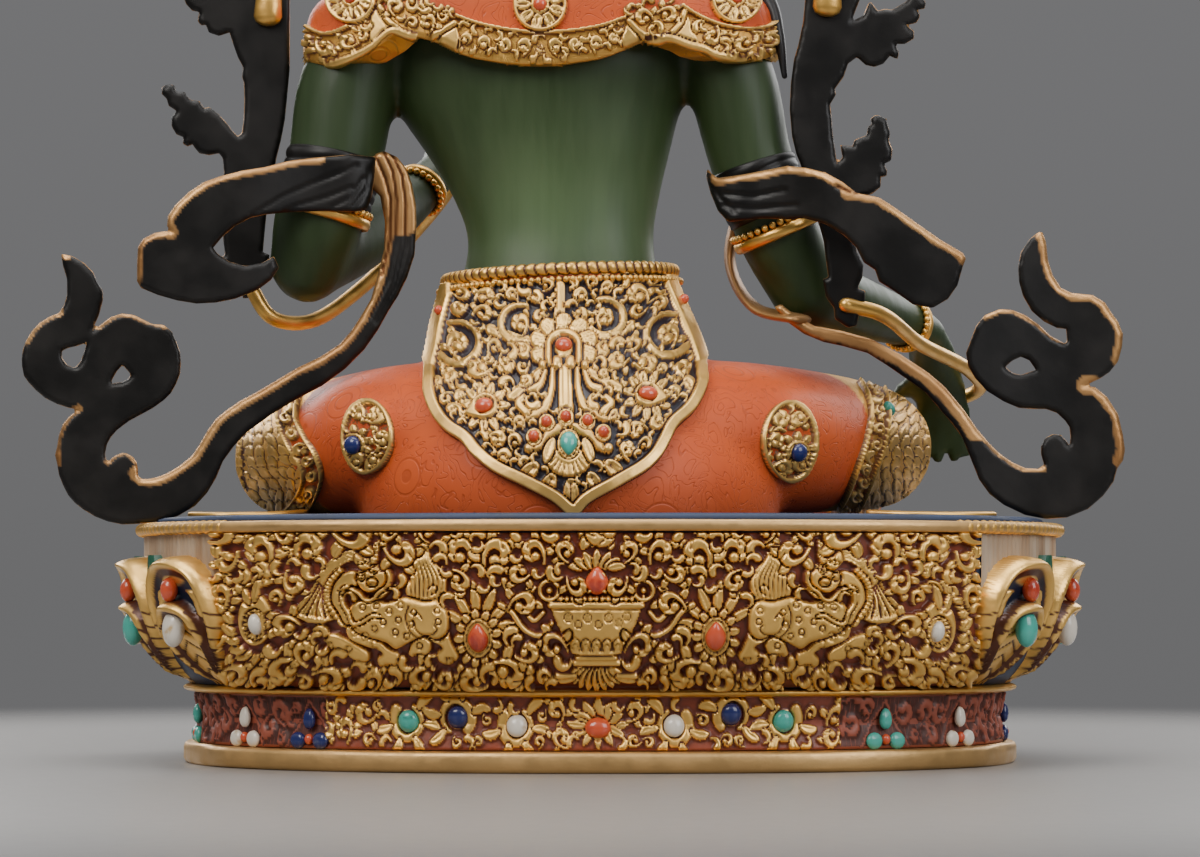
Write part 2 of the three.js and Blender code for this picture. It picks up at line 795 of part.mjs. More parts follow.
// Medallions and hem bands on the skirt
const medallions = [
  [71.5, 97, 8.5, 12.5],
  [-55.5, 97.5, 9, 13.5],
];
const skirtBack = (x) => {
  const knots = x > 0 ? leftThigh : rightThigh;
  const path = new THREE.CatmullRomCurve3(knots.map((k) => at(k[0], k[1], k[2])));
  const dots = path.getPoints(60);
  const near = dots.reduce((a, b) => (Math.abs(b.x - x) < Math.abs(a.x - x) ? b : a));
  const width = new THREE.CatmullRomCurve3(knots.map((k) => new THREE.Vector3(k[4], 0, 0)));
  const t = dots.indexOf(near) / 60;
  const tangent = path.getTangent(t);
  return near.y + (width.getPoint(t).x * unit) / Math.max(Math.abs(tangent.x), 0.5);
};
const medallionPlates = medallions.map(([x, z, rx, rz]) => {
  const shape = circleShape(x * unit, lift(z), rx * unit, rz * unit, 0, 12);
  const wall = skirtBack(x * unit);
  return plate(shape, () => wall - 14 * unit, (px) => skirtBack(px) + clothThickness * 0.3);
});
// Stones of the figure
const apronWall = (x, z) => hipBack(x, z) + clothThickness * 1.4;
const figureStone = (name, wall, x, z, half, high, look) => ({
  name,
  look,
  make: wallStone(wall, x * unit, lift(z), half, high),
});
const figureStones = [
  figureStone('apron_coral_centre', apronWall, 11.7, 124.5, apronStone * 0.75, apronStone * 0.75, coral),
  figureStone('apron_coral_left', apronWall, 34.5, 107, dropStone * 0.8, dropStone * 0.65, coral),
  figureStone('apron_coral_right', apronWall, -13.8, 110.5, dropStone * 0.8, dropStone * 0.65, coral),
  figureStone('apron_turquoise', apronWall, 9.8, 95.5, apronStone * 0.8, apronStone, turquoise),
  figureStone('medallion_lapis_left', skirtBack, 75, 97.5, medallionStone * 0.8, medallionStone, lapis),
  figureStone('medallion_lapis_right', skirtBack, -59.5, 94.5, medallionStone * 0.8, medallionStone, lapis),
];

// What the figure may not reach into: the throne's rim and seat
function seatSpace() {
  const rings = [
    [-gap, bowlTop - rimHeight],
    [-gap, rimTop + gap],
    [seatInset - gap, rimTop + gap],
    [seatInset - gap, seatTop + gap],
  ];
  return solid(loft(rings.map(([inset, z]) => ovalRing(inset, z, throneSides))));
}
function footLotusSpace() {
  const box = new THREE.BoxGeometry(footLotusRadius * 3, footLotusRadius * 4, footTop);
  box.translate(footLotusX, footLotusY - footLotusRadius, footTop / 2);
  return solid(box);
}

function figure() {
  const body = join([
    trunk(hips, hipSides),
    trunk(torso, torsoSides),
    capeLayer(),
    apron(),
    ...apronCarving(),
    ...breasts,
    ...Object.values(limbs).map((make) => make()),
    ...leftHand,
    ...rightHand,
    ...medallionPlates,
    tilted(trunk(skull, headSides)),
    tilted(trunk(hairCap, headSides)),
    ...face.map(tilted),
    ...locks,
  ]);
  return cutAway(body, [seatSpace(), footLotusSpace(), ...figureStones.map(({ make }) => solid(make(gap)))]);
}

// Jewels of the head
const tiltedSpace = () => [
  solid(tilted(trunk(skull, headSides, 2, gap))),
  solid(tilted(trunk(hairCap, headSides, 2, gap))),
];

function crown() {
  const x = new THREE.Vector3(1, 0, 0);
  const y = new THREE.Vector3(0, 1, 0);
  const [rx, ry] = [26.5 * unit, 30.5 * unit];
  const levels = [311, 317].map((z) => {
    const more = crownBandThickness;
    return ring(at(14, 2, z), x, y, rx + more, ry + more, headSides);
  });
  const inner = [309, 319].map((z) => ring(at(14, 2, z), x, y, rx, ry, headSides));
  const band = solid(tilted(loft(levels))).subtract(solid(tilted(loft(inner))));
  const leaves = [-78, -39, 0, 39, 78].map((degrees) => {
    const turn = THREE.MathUtils.degToRad(degrees);
    const size = degrees === 0 ? 1.15 : 0.92;
    const [half, high] = [(crownLeafWidth * size) / 2, crownLeafHeight * size];
    const leaf = new THREE.Shape();
    leaf.moveTo(-half * 0.7, 0);
    leaf.lineTo(half * 0.7, 0);
    leaf.lineTo(half, high * 0.45);
    leaf.lineTo(0, high);
    leaf.lineTo(-half, high * 0.45);
    const thick = crownBandThickness * 1.2;
    const slab = new THREE.ExtrudeGeometry(leaf, { depth: thick, bevelEnabled: false });
    slab.rotateX(Math.PI / 2);
    const radius = 1 / Math.hypot(Math.sin(turn) / rx, Math.cos(turn) / ry);
    slab.translate(0, -radius * Math.cos(Math.PI / headSides) - crownBandThickness * 0.4, 0);
    const foot = at(14, 2, 312);
    return solid(
      tilted(
        reshape(slab, (p) => {
          const angle = turn;
          const wide = p.x * Math.cos(angle) - p.y * Math.sin(angle);
          const deep = p.x * Math.sin(angle) + p.y * Math.cos(angle);
          return new THREE.Vector3(wide + foot.x, deep + foot.y, p.z + foot.z);
        }, false),
      ),
    );
  });
  const whole = leaves.reduce((all, one) => all.add(one), band);
  return cutAway(whole, tiltedSpace());
}

function topknotJewel() {
  const rows = [
    [hairCap[hairCap.length - 1][0] + gap / unit, 3],
    [384, 6.4],
    [389, 6],
    [395, 2.6],
    [400, 0.8],
  ];
  const x = new THREE.Vector3(1, 0, 0);
  const y = new THREE.Vector3(0, 1, 0);
  const bead = rows.map(([z, r]) => ring(at(14, 3, z), x, y, r * unit, r * unit, 8));
  return tilted(loft(bead));
}

function earring(side) {
  const disc = new THREE.CylinderGeometry(earringRadius, earringRadius, earringThickness, 12);
  const place = at(14 + side * 31, -6, 271);
  disc.translate(place.x, place.y, place.z);
  const space = [
    ...tiltedSpace(),
    ...face.map((g) => solid(g)),
    ...locks.map((g) => solid(g)),
  ];
  return cutAway(solid(tilted(disc)), space);
}

// Flat ribbons of the drawing: knots of x, z and half width along the middle
const leftLoop = [
  [66, 179, 6],
  [82, 176, 8],
  [97, 175, 7.2],
  [108, 173, 7.4],
  [119, 168, 8.5],
  [125, 160, 8.4],
  [129, 152, 8],
];
const leftBight = [
  [138, 158, 5.5],
  [134, 153, 9],
  [124, 150, 9],
  [113, 150, 7],
  [104, 151, 4],
];
const leftDrape = [
  [67, 187, 3],
  [62, 172, 4.6],
  [62, 156, 4.2],
  [69, 139, 3.8],
  [80, 126, 3.5],
  [95, 117, 3.5],
  [113, 105, 4.9],
  [128, 86, 6.4],
  [141, 80.8, 7.2],
  [155, 83.5, 8.2],
  [160, 95, 7.8],
  [153, 106, 6],
];
const leftScroll = [
  [154, 100, 5],
  [149, 110, 6],
  [138, 116, 6.6],
  [136.5, 125, 7.2],
  [145, 130.5, 7.2],
  [153, 124, 5.6],
  [162, 115, 5.6],
  [171.5, 121, 6.4],
  [169, 131, 6.2],
  [160.5, 138, 5.6],
  [160, 148, 4.4],
  [167, 157, 0.7],
];
const rightLoop = [
  [-34, 175, 6],
  [-45, 172.5, 7],
  [-57, 173, 8],
  [-68, 172, 7.8],
  [-77, 167, 7.6],
  [-88, 158, 9.6],
  [-100, 150, 10.4],
  [-108, 145.5, 7],
];
const rightDrape = [
  [-55, 140, 1.8],
  [-63, 134, 2.8],
  [-78, 130, 2.8],
  [-96, 121, 2.6],
  [-111, 106, 2.8],
  [-120, 92, 4.4],
  [-129, 85, 6.2],
  [-140, 82, 7.8],
  [-151, 87, 8],
  [-154.5, 98, 7.6],
  [-148, 109, 6.4],
];
const rightScroll = [
  [-149, 104, 5],
  [-143, 112, 5.6],
  [-131, 114, 5.4],
  [-121.5, 119, 6],
  [-120, 128, 6],
  [-128, 132, 6.2],
  [-137, 126.5, 5.6],
  [-147, 122, 5.8],
  [-154, 129, 6.8],
  [-149, 138, 6],
  [-138, 142, 5],
  [-134, 151, 4.4],
  [-137, 164, 0.7],
];
const leftStalk = [
  [104, 240, 8],
  [105.5, 227, 8.8],
  [104, 214, 7.4],
  [105, 199, 6.4],
  [108.5, 187, 7.4],
  [110.5, 172, 6.6],
  [111, 158, 6.3],
  [110, 152, 7],
  [108.5, 144, 2.8],
];
const rightStalk = [
  [-70, 240, 7.6],
  [-68.5, 226, 8],
  [-65, 212, 6.8],
  [-65.5, 190, 6.4],
  [-71, 168, 5.6],
  [-74.5, 150, 5.2],
  [-75, 144, 6],
  [-76, 133.5, 2.2],
];

// Leaves of the stalks: centre x and z, half length, half width and turn in degrees
const leftLeaves = [
  [122, 234, 13, 7, 35],
  [124.5, 198.5, 14, 6.6, 39],
];
const rightLeaves = [
  [-86, 223, 13, 8, 152],
  [-81, 186, 13, 6.2, 113],
];

// A ribbon made solid between frontY and the same surface one thickness behind it
function ribbon(knots, frontY, thickness, steps) {
  const path = new THREE.CatmullRomCurve3(knots.map(([x, z]) => new THREE.Vector3(x * unit, lift(z), 0)));
  const widths = new THREE.CatmullRomCurve3(knots.map((k) => new THREE.Vector3(k[2] * unit, 0, 0)));
  const rings = Array.from({ length: steps + 1 }, (_, i) => {
    const [centre, along] = [path.getPoint(i / steps), path.getTangent(i / steps).normalize()];
    const half = widths.getPoint(i / steps).x;
    const corner = (side, proud) => {
      const [x, z] = [centre.x + along.y * half * side, centre.y - along.x * half * side];
      return new THREE.Vector3(x, frontY(x) + proud, z);
    };
    return [corner(1, thickness), corner(-1, thickness), corner(-1, 0), corner(1, 0)];
  });
  return solid(loft(rings));
}

// The scarf grips the upper arm, one stretch of which is its path
const wrapRound = (knots, from, to) => {
  const path = new THREE.CatmullRomCurve3(knots.map((k) => new THREE.Vector3(...k.slice(0, 3))));
  const size = new THREE.CatmullRomCurve3(knots.map((k) => new THREE.Vector3(k[3], k[4], 0)));
  return Array.from({ length: 4 }, (_, i) => {
    const t = mix(from, to, i / 3);
    const [p, r] = [path.getPoint(t), size.getPoint(t)];
    return [p.x, p.y, p.z, r.x + scarfThickness / unit, r.y + scarfThickness / unit];
  });
};
const wraps = {
  left: wrapRound(leftArm, 0.49, 0.68),
  right: wrapRound(rightArm, 0.52, 0.68),
};
const wrapSolid = (side, grow) => solid(limb(wraps[side], { sides: 10, steps: 1, grow, round: false }));

function scarf(side) {
  const left = side === 'left';
  const turn = left ? 1 : -1;
  const armX = left ? 84 : -42;
  const [armBack, sweep] = left ? [24, 6] : [20.5, 16];
  const loopY = (x) => (armBack + sweep * smooth((turn * (x / unit - armX)) / 28)) * unit;
  const tailY = (x) => (left ? 17 : 18) * unit - 5 * unit * smooth((Math.abs(x) / unit - 90) / 60);
  const parts = [
    wrapSolid(side, 0),
    ribbon(left ? leftLoop : rightLoop, loopY, scarfThickness, 8),
    ribbon(left ? leftDrape : rightDrape, tailY, scarfThickness, 14),
    ribbon(left ? leftScroll : rightScroll, tailY, scarfThickness, 16),
  ];
  if (left) parts.push(ribbon(leftBight, loopY, scarfThickness, 5));
  if (!left) {
    const link = [
      [-45, -2, 177, 5, 1.6],
      [-41, -7, 157, 5, 1.6],
      [-48, 6, 141, 5, 1.6],
      [-62, 18.8, 136, 5, 1.4],
    ];
    parts.push(solid(limb(link, { sides: 6, steps: 5, side: [0, -1, 0.2] })));
  }
  const space = [
    ...['Arm', 'Forearm', 'Thigh'].map((name) => solid(limbs[side + name](gap))),
    solid(trunk(torso, torsoSides, 2, gap)),
  ];
  return cutAway(parts.reduce((all, one) => all.add(one)), space);
}

// A blossom: an open cup of pointed petals
function blossom(x, y, z) {
  const rows = [
    [0, 0.2, 0],
    [0.25, 0.75, 0.05],
    [0.65, 1, 0.14],
    [1, 0.85, 0.2],
  ];
  const [radius, high, petals, sides] = [19, 34, 6, 12];
  const rings = rows.map(([share, wide, wave]) =>
    Array.from({ length: sides }, (_, j) => {
      const angle = (2 * Math.PI * j) / sides;
      const r = radius * wide * (1 + wave * Math.cos(petals * angle));
      return at(x + r * Math.cos(angle), y + r * Math.sin(angle), z + high * share);
    }),
  );
  return loft(rings);
}

function lotus(side) {
  const left = side === 'left';
  const depth = left ? 6 : 24;
  const stalkX = left ? 104 : -70;
  const stem = left
    ? [
        [109, 7, 147, 2.3],
        [103, 6, 138, 2.3],
        [92, -4, 137, 2.3],
        [76, -24, 150, 2.3],
        [62, -44, 168, 2.3],
        [50, -62, 186, 2.3],
        [41, -68, 204, 2.3],
      ]
    : [
        [-75.5, 25, 140, 2.3],
        [-86, 19, 138, 2.3],
        [-101, -12, 131, 2.3],
        [-121, -52, 125, 2.3],
        [-127, -76, 120, 2.3],
        [-118, -89, 116, 2.3],
      ];
  const neck = [
    [stalkX, depth + 1, 236, 4.5, 3],
    [stalkX - 1, depth, 254, 3, 3],
    [stalkX - 2, depth - 4, 274, 3, 3],
  ];
  const share = stemRadius / 2.3;
  const tube = stem.map(([x, y, z, r]) => [x, y, z, r * share]);
  const back = () => depth * unit;
  const leaves = (left ? leftLeaves : rightLeaves).map(([x, z, long, half, turn]) => {
    const angle = THREE.MathUtils.degToRad(turn);
    const shape = circleShape(x * unit, lift(z), long * unit, half * unit, angle, 8);
    return solid(plate(shape, back, () => depth * unit + stalkThickness));
  });
  const parts = [
    ribbon(left ? leftStalk : rightStalk, back, stalkThickness, 8),
    ...leaves,
    solid(limb(tube, { sides: 5, steps: 7, side: [0, 0, 1] })),
    solid(limb(neck, { sides: 5, steps: 2, round: false })),
    solid(blossom(stalkX - 2, depth - 4, 270)),
  ];
  const space = [
    wrapSolid(side, gap),
    ...['Arm', 'Forearm'].map((name) => solid(limbs[side + name](gap))),
    ...(left ? leftHand : rightHand).map(solid),
  ];
  return cutAway(parts.reduce((all, one) => all.add(one)), space);
}

// The whole work as a group of named pieces
const group = new THREE.Group();
function add(name, geometry, look) {
  const mesh = new THREE.Mesh(geometry, new THREE.MeshStandardMaterial(look));
  mesh.name = name;
  group.add(mesh);
}

add('base_plate', basePlate(), gilt);
add('lotus_throne', geometryOf(lotusThrone()), gilt);
add('figure', geometryOf(figure()), greenPaint);
add('crown', geometryOf(crown()), gilt);
add('topknot_jewel', topknotJewel(), gilt);
add('earring_left', geometryOf(earring(1)), gilt);
add('earring_right', geometryOf(earring(-1)), gilt);
add('scarf_left', geometryOf(scarf('left')), blackLacquer);
add('scarf_right', geometryOf(scarf('right')), blackLacquer);
add('lotus_left', geometryOf(lotus('left')), blackLacquer);
add('lotus_right', geometryOf(lotus('right')), blackLacquer);
[...throneStones, ...figureStones].forEach(({ name, look, make }) => add(name, make(0), look));

export default group;
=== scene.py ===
"""Seated green figure on a lotus throne: finish, carved relief, soft parts, light and camera."""

import math

import bpy
import numpy as np
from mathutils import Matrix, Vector
from mathutils.bvhtree import BVHTree


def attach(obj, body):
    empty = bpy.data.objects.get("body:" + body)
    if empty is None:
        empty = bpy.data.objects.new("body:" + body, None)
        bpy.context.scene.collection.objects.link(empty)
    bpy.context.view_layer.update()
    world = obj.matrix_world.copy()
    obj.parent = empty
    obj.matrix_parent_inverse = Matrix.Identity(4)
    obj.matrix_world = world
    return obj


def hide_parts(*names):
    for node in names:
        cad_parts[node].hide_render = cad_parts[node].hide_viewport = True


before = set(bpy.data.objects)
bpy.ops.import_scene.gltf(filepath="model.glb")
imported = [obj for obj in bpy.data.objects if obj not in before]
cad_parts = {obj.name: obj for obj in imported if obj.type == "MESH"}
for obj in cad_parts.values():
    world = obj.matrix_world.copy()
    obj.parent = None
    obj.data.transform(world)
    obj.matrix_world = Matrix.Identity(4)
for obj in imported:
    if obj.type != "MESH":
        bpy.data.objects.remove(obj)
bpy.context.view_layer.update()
scene = bpy.context.scene

MM = 0.001
THRONE_HALF = np.array([143.5, 108.0])
OVAL_POWER = 2.4
PLATE_INSET, PLATE_TOP = 14.5, 6.2
DRUM_INSET, DRUM_BASE, DRUM_TOP = 18.5, 6.5, 21.7
BOWL_BASE, BOWL_TOP = 24.3, 69.2
RIM_TOP, SEAT_TOP = 72.5, 74.5
PANEL_HALF = 112.0
PETALS = 16
FOOT_LOTUS = np.array([-60.0, -135.0])

# The photograph's view: pixels of a 1200 x 857 picture
EYE = np.array([0.0, 1100.0, 50.5])
LOOK_UP = math.radians(2.745)
FOCAL = 3514.0
CENTRE = np.array([600.0, 428.5])


# Small number helpers
def unit(v):
    return v / np.maximum(np.linalg.norm(v, axis=-1, keepdims=True), 1e-9)


def mix(a, b, t):
    return a + (b - a) * t


def around(count):
    """Even turns round a circle, in radians"""
    return np.linspace(0, 2 * np.pi, count, endpoint=False)


def smooth(t):
    s = np.clip(t, 0.0, 1.0)
    return s * s * (3 - 2 * s)


def signed_power(v, p):
    return np.sign(v) * np.abs(v) ** p


def rays(px, py):
    """Unit directions from the eye through pixels"""
    forward = np.array([0, -math.cos(LOOK_UP), math.sin(LOOK_UP)])
    up = np.array([0, math.sin(LOOK_UP), math.cos(LOOK_UP)])
    right = np.array([-1.0, 0, 0])
    a = (np.asarray(px, float)[..., None] - CENTRE[0]) / FOCAL
    b = (CENTRE[1] - np.asarray(py, float)[..., None]) / FOCAL
    return unit(forward + right * a + up * b)


def at_depth(px, py, y):
    """Points in millimetres at depth y behind pixels"""
    d = rays(px, py)
    t = (EYE[1] - np.asarray(y, float)) / -d[..., 1]
    return EYE + d * t[..., None]


def seen(points):
    """Pixels of points in millimetres"""
    forward = np.array([0, -math.cos(LOOK_UP), math.sin(LOOK_UP)])
    up = np.array([0, math.sin(LOOK_UP), math.cos(LOOK_UP)])
    d = np.asarray(points, float) - EYE
    far = d @ forward
    return CENTRE[0] - d[..., 0] / far * FOCAL, CENTRE[1] - (d @ up) / far * FOCAL


def blurred(a, sigma):
    """Gaussian blur of a grid"""
    reach = max(int(3 * sigma + 0.5), 1)
    k = np.exp(-0.5 * (np.arange(-reach, reach + 1) / sigma) ** 2)
    k /= k.sum()
    for axis in (0, 1):
        wide = np.pad(a, [(reach, reach) if i == axis else (0, 0) for i in (0, 1)], mode="edge")
        n = a.shape[axis]
        a = sum(w * np.take(wide, np.arange(i, i + n), axis=axis) for i, w in enumerate(k))
    return a


# Shapes: points in millimetres, faces, and one number per point for each named mask
class Shape:
    def __init__(self, points, quads=None, tris=None, **masks):
        self.points = np.asarray(points, float).reshape(-1, 3)
        self.quads = np.zeros((0, 4), int) if quads is None else np.asarray(quads, int).reshape(-1, 4)
        self.tris = np.zeros((0, 3), int) if tris is None else np.asarray(tris, int).reshape(-1, 3)
        self.masks = masks

    def outward(self):
        """Turns the faces of a closed shape so that they look out"""
        p = self.points - self.points.mean(0)
        both = np.vstack([self.quads[:, :3], self.quads[:, [0, 2, 3]], self.tris])
        a, b, c = p[both[:, 0]], p[both[:, 1]], p[both[:, 2]]
        if np.einsum("ij,ij->", a, np.cross(b, c)) < 0:
            self.quads = self.quads[:, ::-1]
            self.tris = self.tris[:, ::-1]
        return self

    def tree(self):
        faces = self.quads.tolist() + self.tris.tolist()
        return BVHTree.FromPolygons(self.points.tolist(), faces)


def merged(shapes):
    """One shape from many; a mask that a shape lacks is 0 on it"""
    names = sorted({name for s in shapes for name in s.masks})
    counts = np.cumsum([0] + [len(s.points) for s in shapes])
    masks = {
        n: np.concatenate([np.broadcast_to(s.masks.get(n, 0.0), len(s.points)) for s in shapes])
        for n in names
    }
    return Shape(
        np.vstack([s.points for s in shapes]),
        np.vstack([s.quads + k for s, k in zip(shapes, counts)]),
        np.vstack([s.tris + k for s, k in zip(shapes, counts)]),
        **masks,
    )


def make(name, shape, material, slot, *nodes):
    """An object from a shape, which rides with the part and may stand for CAD nodes"""
    mesh = mesh_of(name, shape)
    mesh.polygons.foreach_set("use_smooth", np.ones(len(mesh.polygons), bool))
    mesh.materials.append(material)
    for mask, values in shape.masks.items():
        layer = mesh.attributes.new(mask, "FLOAT", "POINT")
        layer.data.foreach_set("value", np.broadcast_to(values, len(shape.points)).astype(np.float32))
    piece = bpy.data.objects.new(name, mesh)
    scene.collection.objects.link(piece)
    if nodes:
        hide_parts(*nodes)
    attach(piece, "root")
    return piece


def mesh_of(name, shape):
    """A mesh in metres from a shape in millimetres"""
    mesh = bpy.data.meshes.new(name)
    nq, nt = len(shape.quads), len(shape.tris)
    mesh.vertices.add(len(shape.points))
    mesh.vertices.foreach_set("co", (shape.points * MM).astype(np.float32).ravel())
    mesh.loops.add(4 * nq + 3 * nt)
    mesh.loops.foreach_set("vertex_index", np.concatenate([shape.quads.ravel(), shape.tris.ravel()]))
    mesh.polygons.add(nq + nt)
    starts = np.concatenate([np.arange(nq) * 4, 4 * nq + np.arange(nt) * 3])
    mesh.polygons.foreach_set("loop_start", starts.astype(np.int32))
    mesh.update(calc_edges=True)
    return mesh


def grid_quads(rows, columns, wrap=False):
    """Faces of a grid of points, which may close on itself across"""
    i = np.arange(rows - 1)[:, None]
    j = np.arange(columns if wrap else columns - 1)[None, :]
    k = (j + 1) % columns
    a, b = i * columns + j, i * columns + k
    return np.stack([a, b, b + columns, a + columns], -1).reshape(-1, 4)


def closed_quads(rows, columns):
    """Faces of a grid that closes on itself both ways"""
    i, j = np.meshgrid(np.arange(rows), np.arange(columns), indexing="ij")
    a, b = i * columns + j, i * columns + (j + 1) % columns
    c, d = ((i + 1) % rows) * columns + (j + 1) % columns, ((i + 1) % rows) * columns + j
    return np.stack([a, b, c, d], -1).reshape(-1, 4)


def sheet_of(points, **masks):
    """The open sheet of a grid of points"""
    return Shape(points.reshape(-1, 3), grid_quads(*points.shape[:2]), **masks)


def loft(rings, caps=True, **masks):
    """A body through rings of points"""
    rings = np.asarray(rings, float)
    r, n = rings.shape[:2]
    points = rings.reshape(-1, 3)
    quads = grid_quads(r, n, wrap=True)
    if not caps:
        return Shape(points, quads, **masks)
    points = np.vstack([points, rings[0].mean(0), rings[-1].mean(0)])
    j = np.arange(n)
    k = (j + 1) % n
    low = np.stack([np.full(n, r * n), k, j], 1)
    high = np.stack([np.full(n, r * n + 1), (r - 1) * n + j, (r - 1) * n + k], 1)
    grown = {m: np.append(v, [v[0], v[-1]]) for m, v in masks.items()}
    return Shape(points, quads, np.vstack([low, high]), **grown).outward()


def cupped(outer, inner, cavity):
    """A petal between an outer and an inner face"""
    rings = np.concatenate([outer, inner[:, ::-1]], 1)
    return loft(rings, cavity=np.concatenate([cavity, cavity[:, ::-1]], 1).ravel())


def centripetal(points, t):
    """Centripetal Catmull-Rom curve through points, read at shares t of its whole"""
    points = np.asarray(points, float)
    n = len(points) - 1
    ends = np.vstack([2 * points[0] - points[1], points, 2 * points[-1] - points[-2]])
    out = np.zeros((len(t), points.shape[1]))
    for k, share in enumerate(t):
        place = min(max(share, 0.0), 1.0) * n
        i = min(int(place), n - 1)
        w = place - i
        p = ends[i : i + 4]
        d = np.linalg.norm(np.diff(p, axis=0), axis=1) ** 0.5
        d[1] = d[1] if d[1] > 1e-4 else 1.0
        d[0] = d[0] if d[0] > 1e-4 else d[1]
        d[2] = d[2] if d[2] > 1e-4 else d[1]
        a = (p[1] - p[0]) / d[0] - (p[2] - p[0]) / (d[0] + d[1]) + (p[2] - p[1]) / d[1]
        b = (p[2] - p[1]) / d[1] - (p[3] - p[1]) / (d[1] + d[2]) + (p[3] - p[2]) / d[2]
        a, b = a * d[1], b * d[1]
        cubic = 2 * p[1] - 2 * p[2] + a + b
        out[k] = p[1] + a * w + (3 * p[2] - 3 * p[1] - 2 * a - b) * w * w + cubic * w**3
    return out


def curve(*points, count=16):
    """A smooth line through points of the plane"""
    return centripetal(np.array(points, float), np.linspace(0, 1, count))


def arc(x, y, r, low, high, count=12, ry=None):
    """Points round an ellipse, from low to high degrees"""
    a = np.radians(np.linspace(low, high, count))
    return np.stack([x + r * np.cos(a), y + (ry or r) * np.sin(a)], 1)


def limb_rows(knots):
    """Knots [x, y, z, half width, half thickness]; a knot without a thickness is round"""
    return np.array([[*k[:4], k[4] if len(k) > 4 else k[3]] for k in knots], float)


def sweep(knots, per=6, sides=24, side=(1, 0, 0), power=2.0):
    """A limb through knots, with round ends"""
    knots = limb_rows(knots)
    t = np.linspace(0, 1, per * (len(knots) - 1) + 1)
    centre = centripetal(knots[:, :3], t)
    radii = centripetal(knots[:, 3:], t)
    tangent = unit(np.gradient(centre, axis=0))
    side = np.array(side, float)
    u = unit(side - tangent * (tangent @ side)[:, None])
    v = np.cross(tangent, u)
    turns = np.radians([84, 60, 32])
    first = [centre[0] - tangent[0] * radii[0].min() * math.sin(a) for a in turns]
    last = [centre[-1] + tangent[-1] * radii[-1].min() * math.sin(a) for a in turns[::-1]]
    centre = np.vstack([first, centre, last])
    caps = [radii[0] * math.cos(a) for a in turns], [radii[-1] * math.cos(a) for a in turns[::-1]]
    radii = np.vstack([caps[0], radii, caps[1]])
    u, v = [np.vstack([way[:1]] * 3 + [way] + [way[-1:]] * 3) for way in (u, v)]
    c = signed_power(np.cos(around(sides)), 2 / power)[None, :, None]
    s = signed_power(np.sin(around(sides)), 2 / power)[None, :, None]
    return loft(centre[:, None] + u[:, None] * c * radii[:, None, :1] + v[:, None] * s * radii[:, None, 1:])


def eased(rows, z):
    """Columns of a table of rows, whose first value is the place, read smoothly at places z"""
    rows = np.asarray(rows, float)
    x, y = rows[:, 0], rows[:, 1:]
    slope = np.gradient(y, x, axis=0)
    i = np.clip(np.searchsorted(x, z, side="right") - 1, 0, len(x) - 2)
    h = (x[i + 1] - x[i])[:, None]
    w = np.clip((z - x[i])[:, None] / h, 0, 1)
    a, b = slope[i] * h, slope[i + 1] * h
    return (
        y[i] * (1 + 2 * w) * (1 - w) ** 2 + y[i + 1] * w * w * (3 - 2 * w)
        + a * w * (1 - w) ** 2 - b * w * w * (1 - w)
    )


def trunk(rows, levels=36, sides=72):
    """A trunk through level rows [z, centre x, centre y, half width, half depth]"""
    z = np.linspace(rows[0][0], rows[-1][0], levels)
    cx, cy, rx, ry = eased(rows, z).T
    x = cx[:, None] + rx[:, None] * np.cos(around(sides))
    y = cy[:, None] + ry[:, None] * np.sin(around(sides))
    return loft(np.stack([x, y, np.broadcast_to(z[:, None], x.shape)], -1))


def ball(x, y, z, rx, ry, rz, sides=20, rings=12):
    """An egg with flat little poles"""
    turn = np.radians(np.linspace(-84, 84, rings))[:, None]
    angle = around(sides)
    return loft(np.stack([
        x + rx * np.cos(turn) * np.cos(angle), y + ry * np.cos(turn) * np.sin(angle),
        z + rz * np.sin(turn) + 0 * angle], -1))


def placed(shape, centre, side, out, up=(0, 0, 1)):
    """The shape with its axes turned to side, out and up"""
    p = shape.points
    shape.points = centre + p[:, :1] * side + p[:, 1:2] * out + p[:, 2:] * np.array(up, float)
    return shape


def turned_ball(centre, side, out, rx, ry, rz):
    """An egg with its axes turned to side and out"""
    return placed(ball(0, 0, 0, rx, ry, rz, 18, 11), centre, side, out)


def remeshed(shapes, voxel, rounds=4):
    """One smooth skin round all the shapes"""
    mesh = mesh_of("raw", merged(shapes))
    raw = bpy.data.objects.new("raw", mesh)
    scene.collection.objects.link(raw)
    join = raw.modifiers.new("join", "REMESH")
    join.mode = "VOXEL"
    join.voxel_size = voxel * MM
    soften = raw.modifiers.new("soften", "SMOOTH")
    soften.factor = 0.5
    soften.iterations = rounds
    done = raw.evaluated_get(bpy.context.evaluated_depsgraph_get()).data
    co = np.zeros(len(done.vertices) * 3, np.float32)
    done.vertices.foreach_get("co", co)
    corner = np.zeros(len(done.loops), np.int32)
    done.loops.foreach_get("vertex_index", corner)
    total = np.zeros(len(done.polygons), np.int32)
    done.polygons.foreach_get("loop_total", total)
    start = np.zeros(len(done.polygons), np.int32)
    done.polygons.foreach_get("loop_start", start)
    quads = corner[start[total == 4][:, None] + np.arange(4)]
    tris = corner[start[total == 3][:, None] + np.arange(3)]
    shape = Shape(co.reshape(-1, 3) / MM, quads, tris)
    bpy.data.objects.remove(raw)
    bpy.data.meshes.remove(mesh)
    return shape


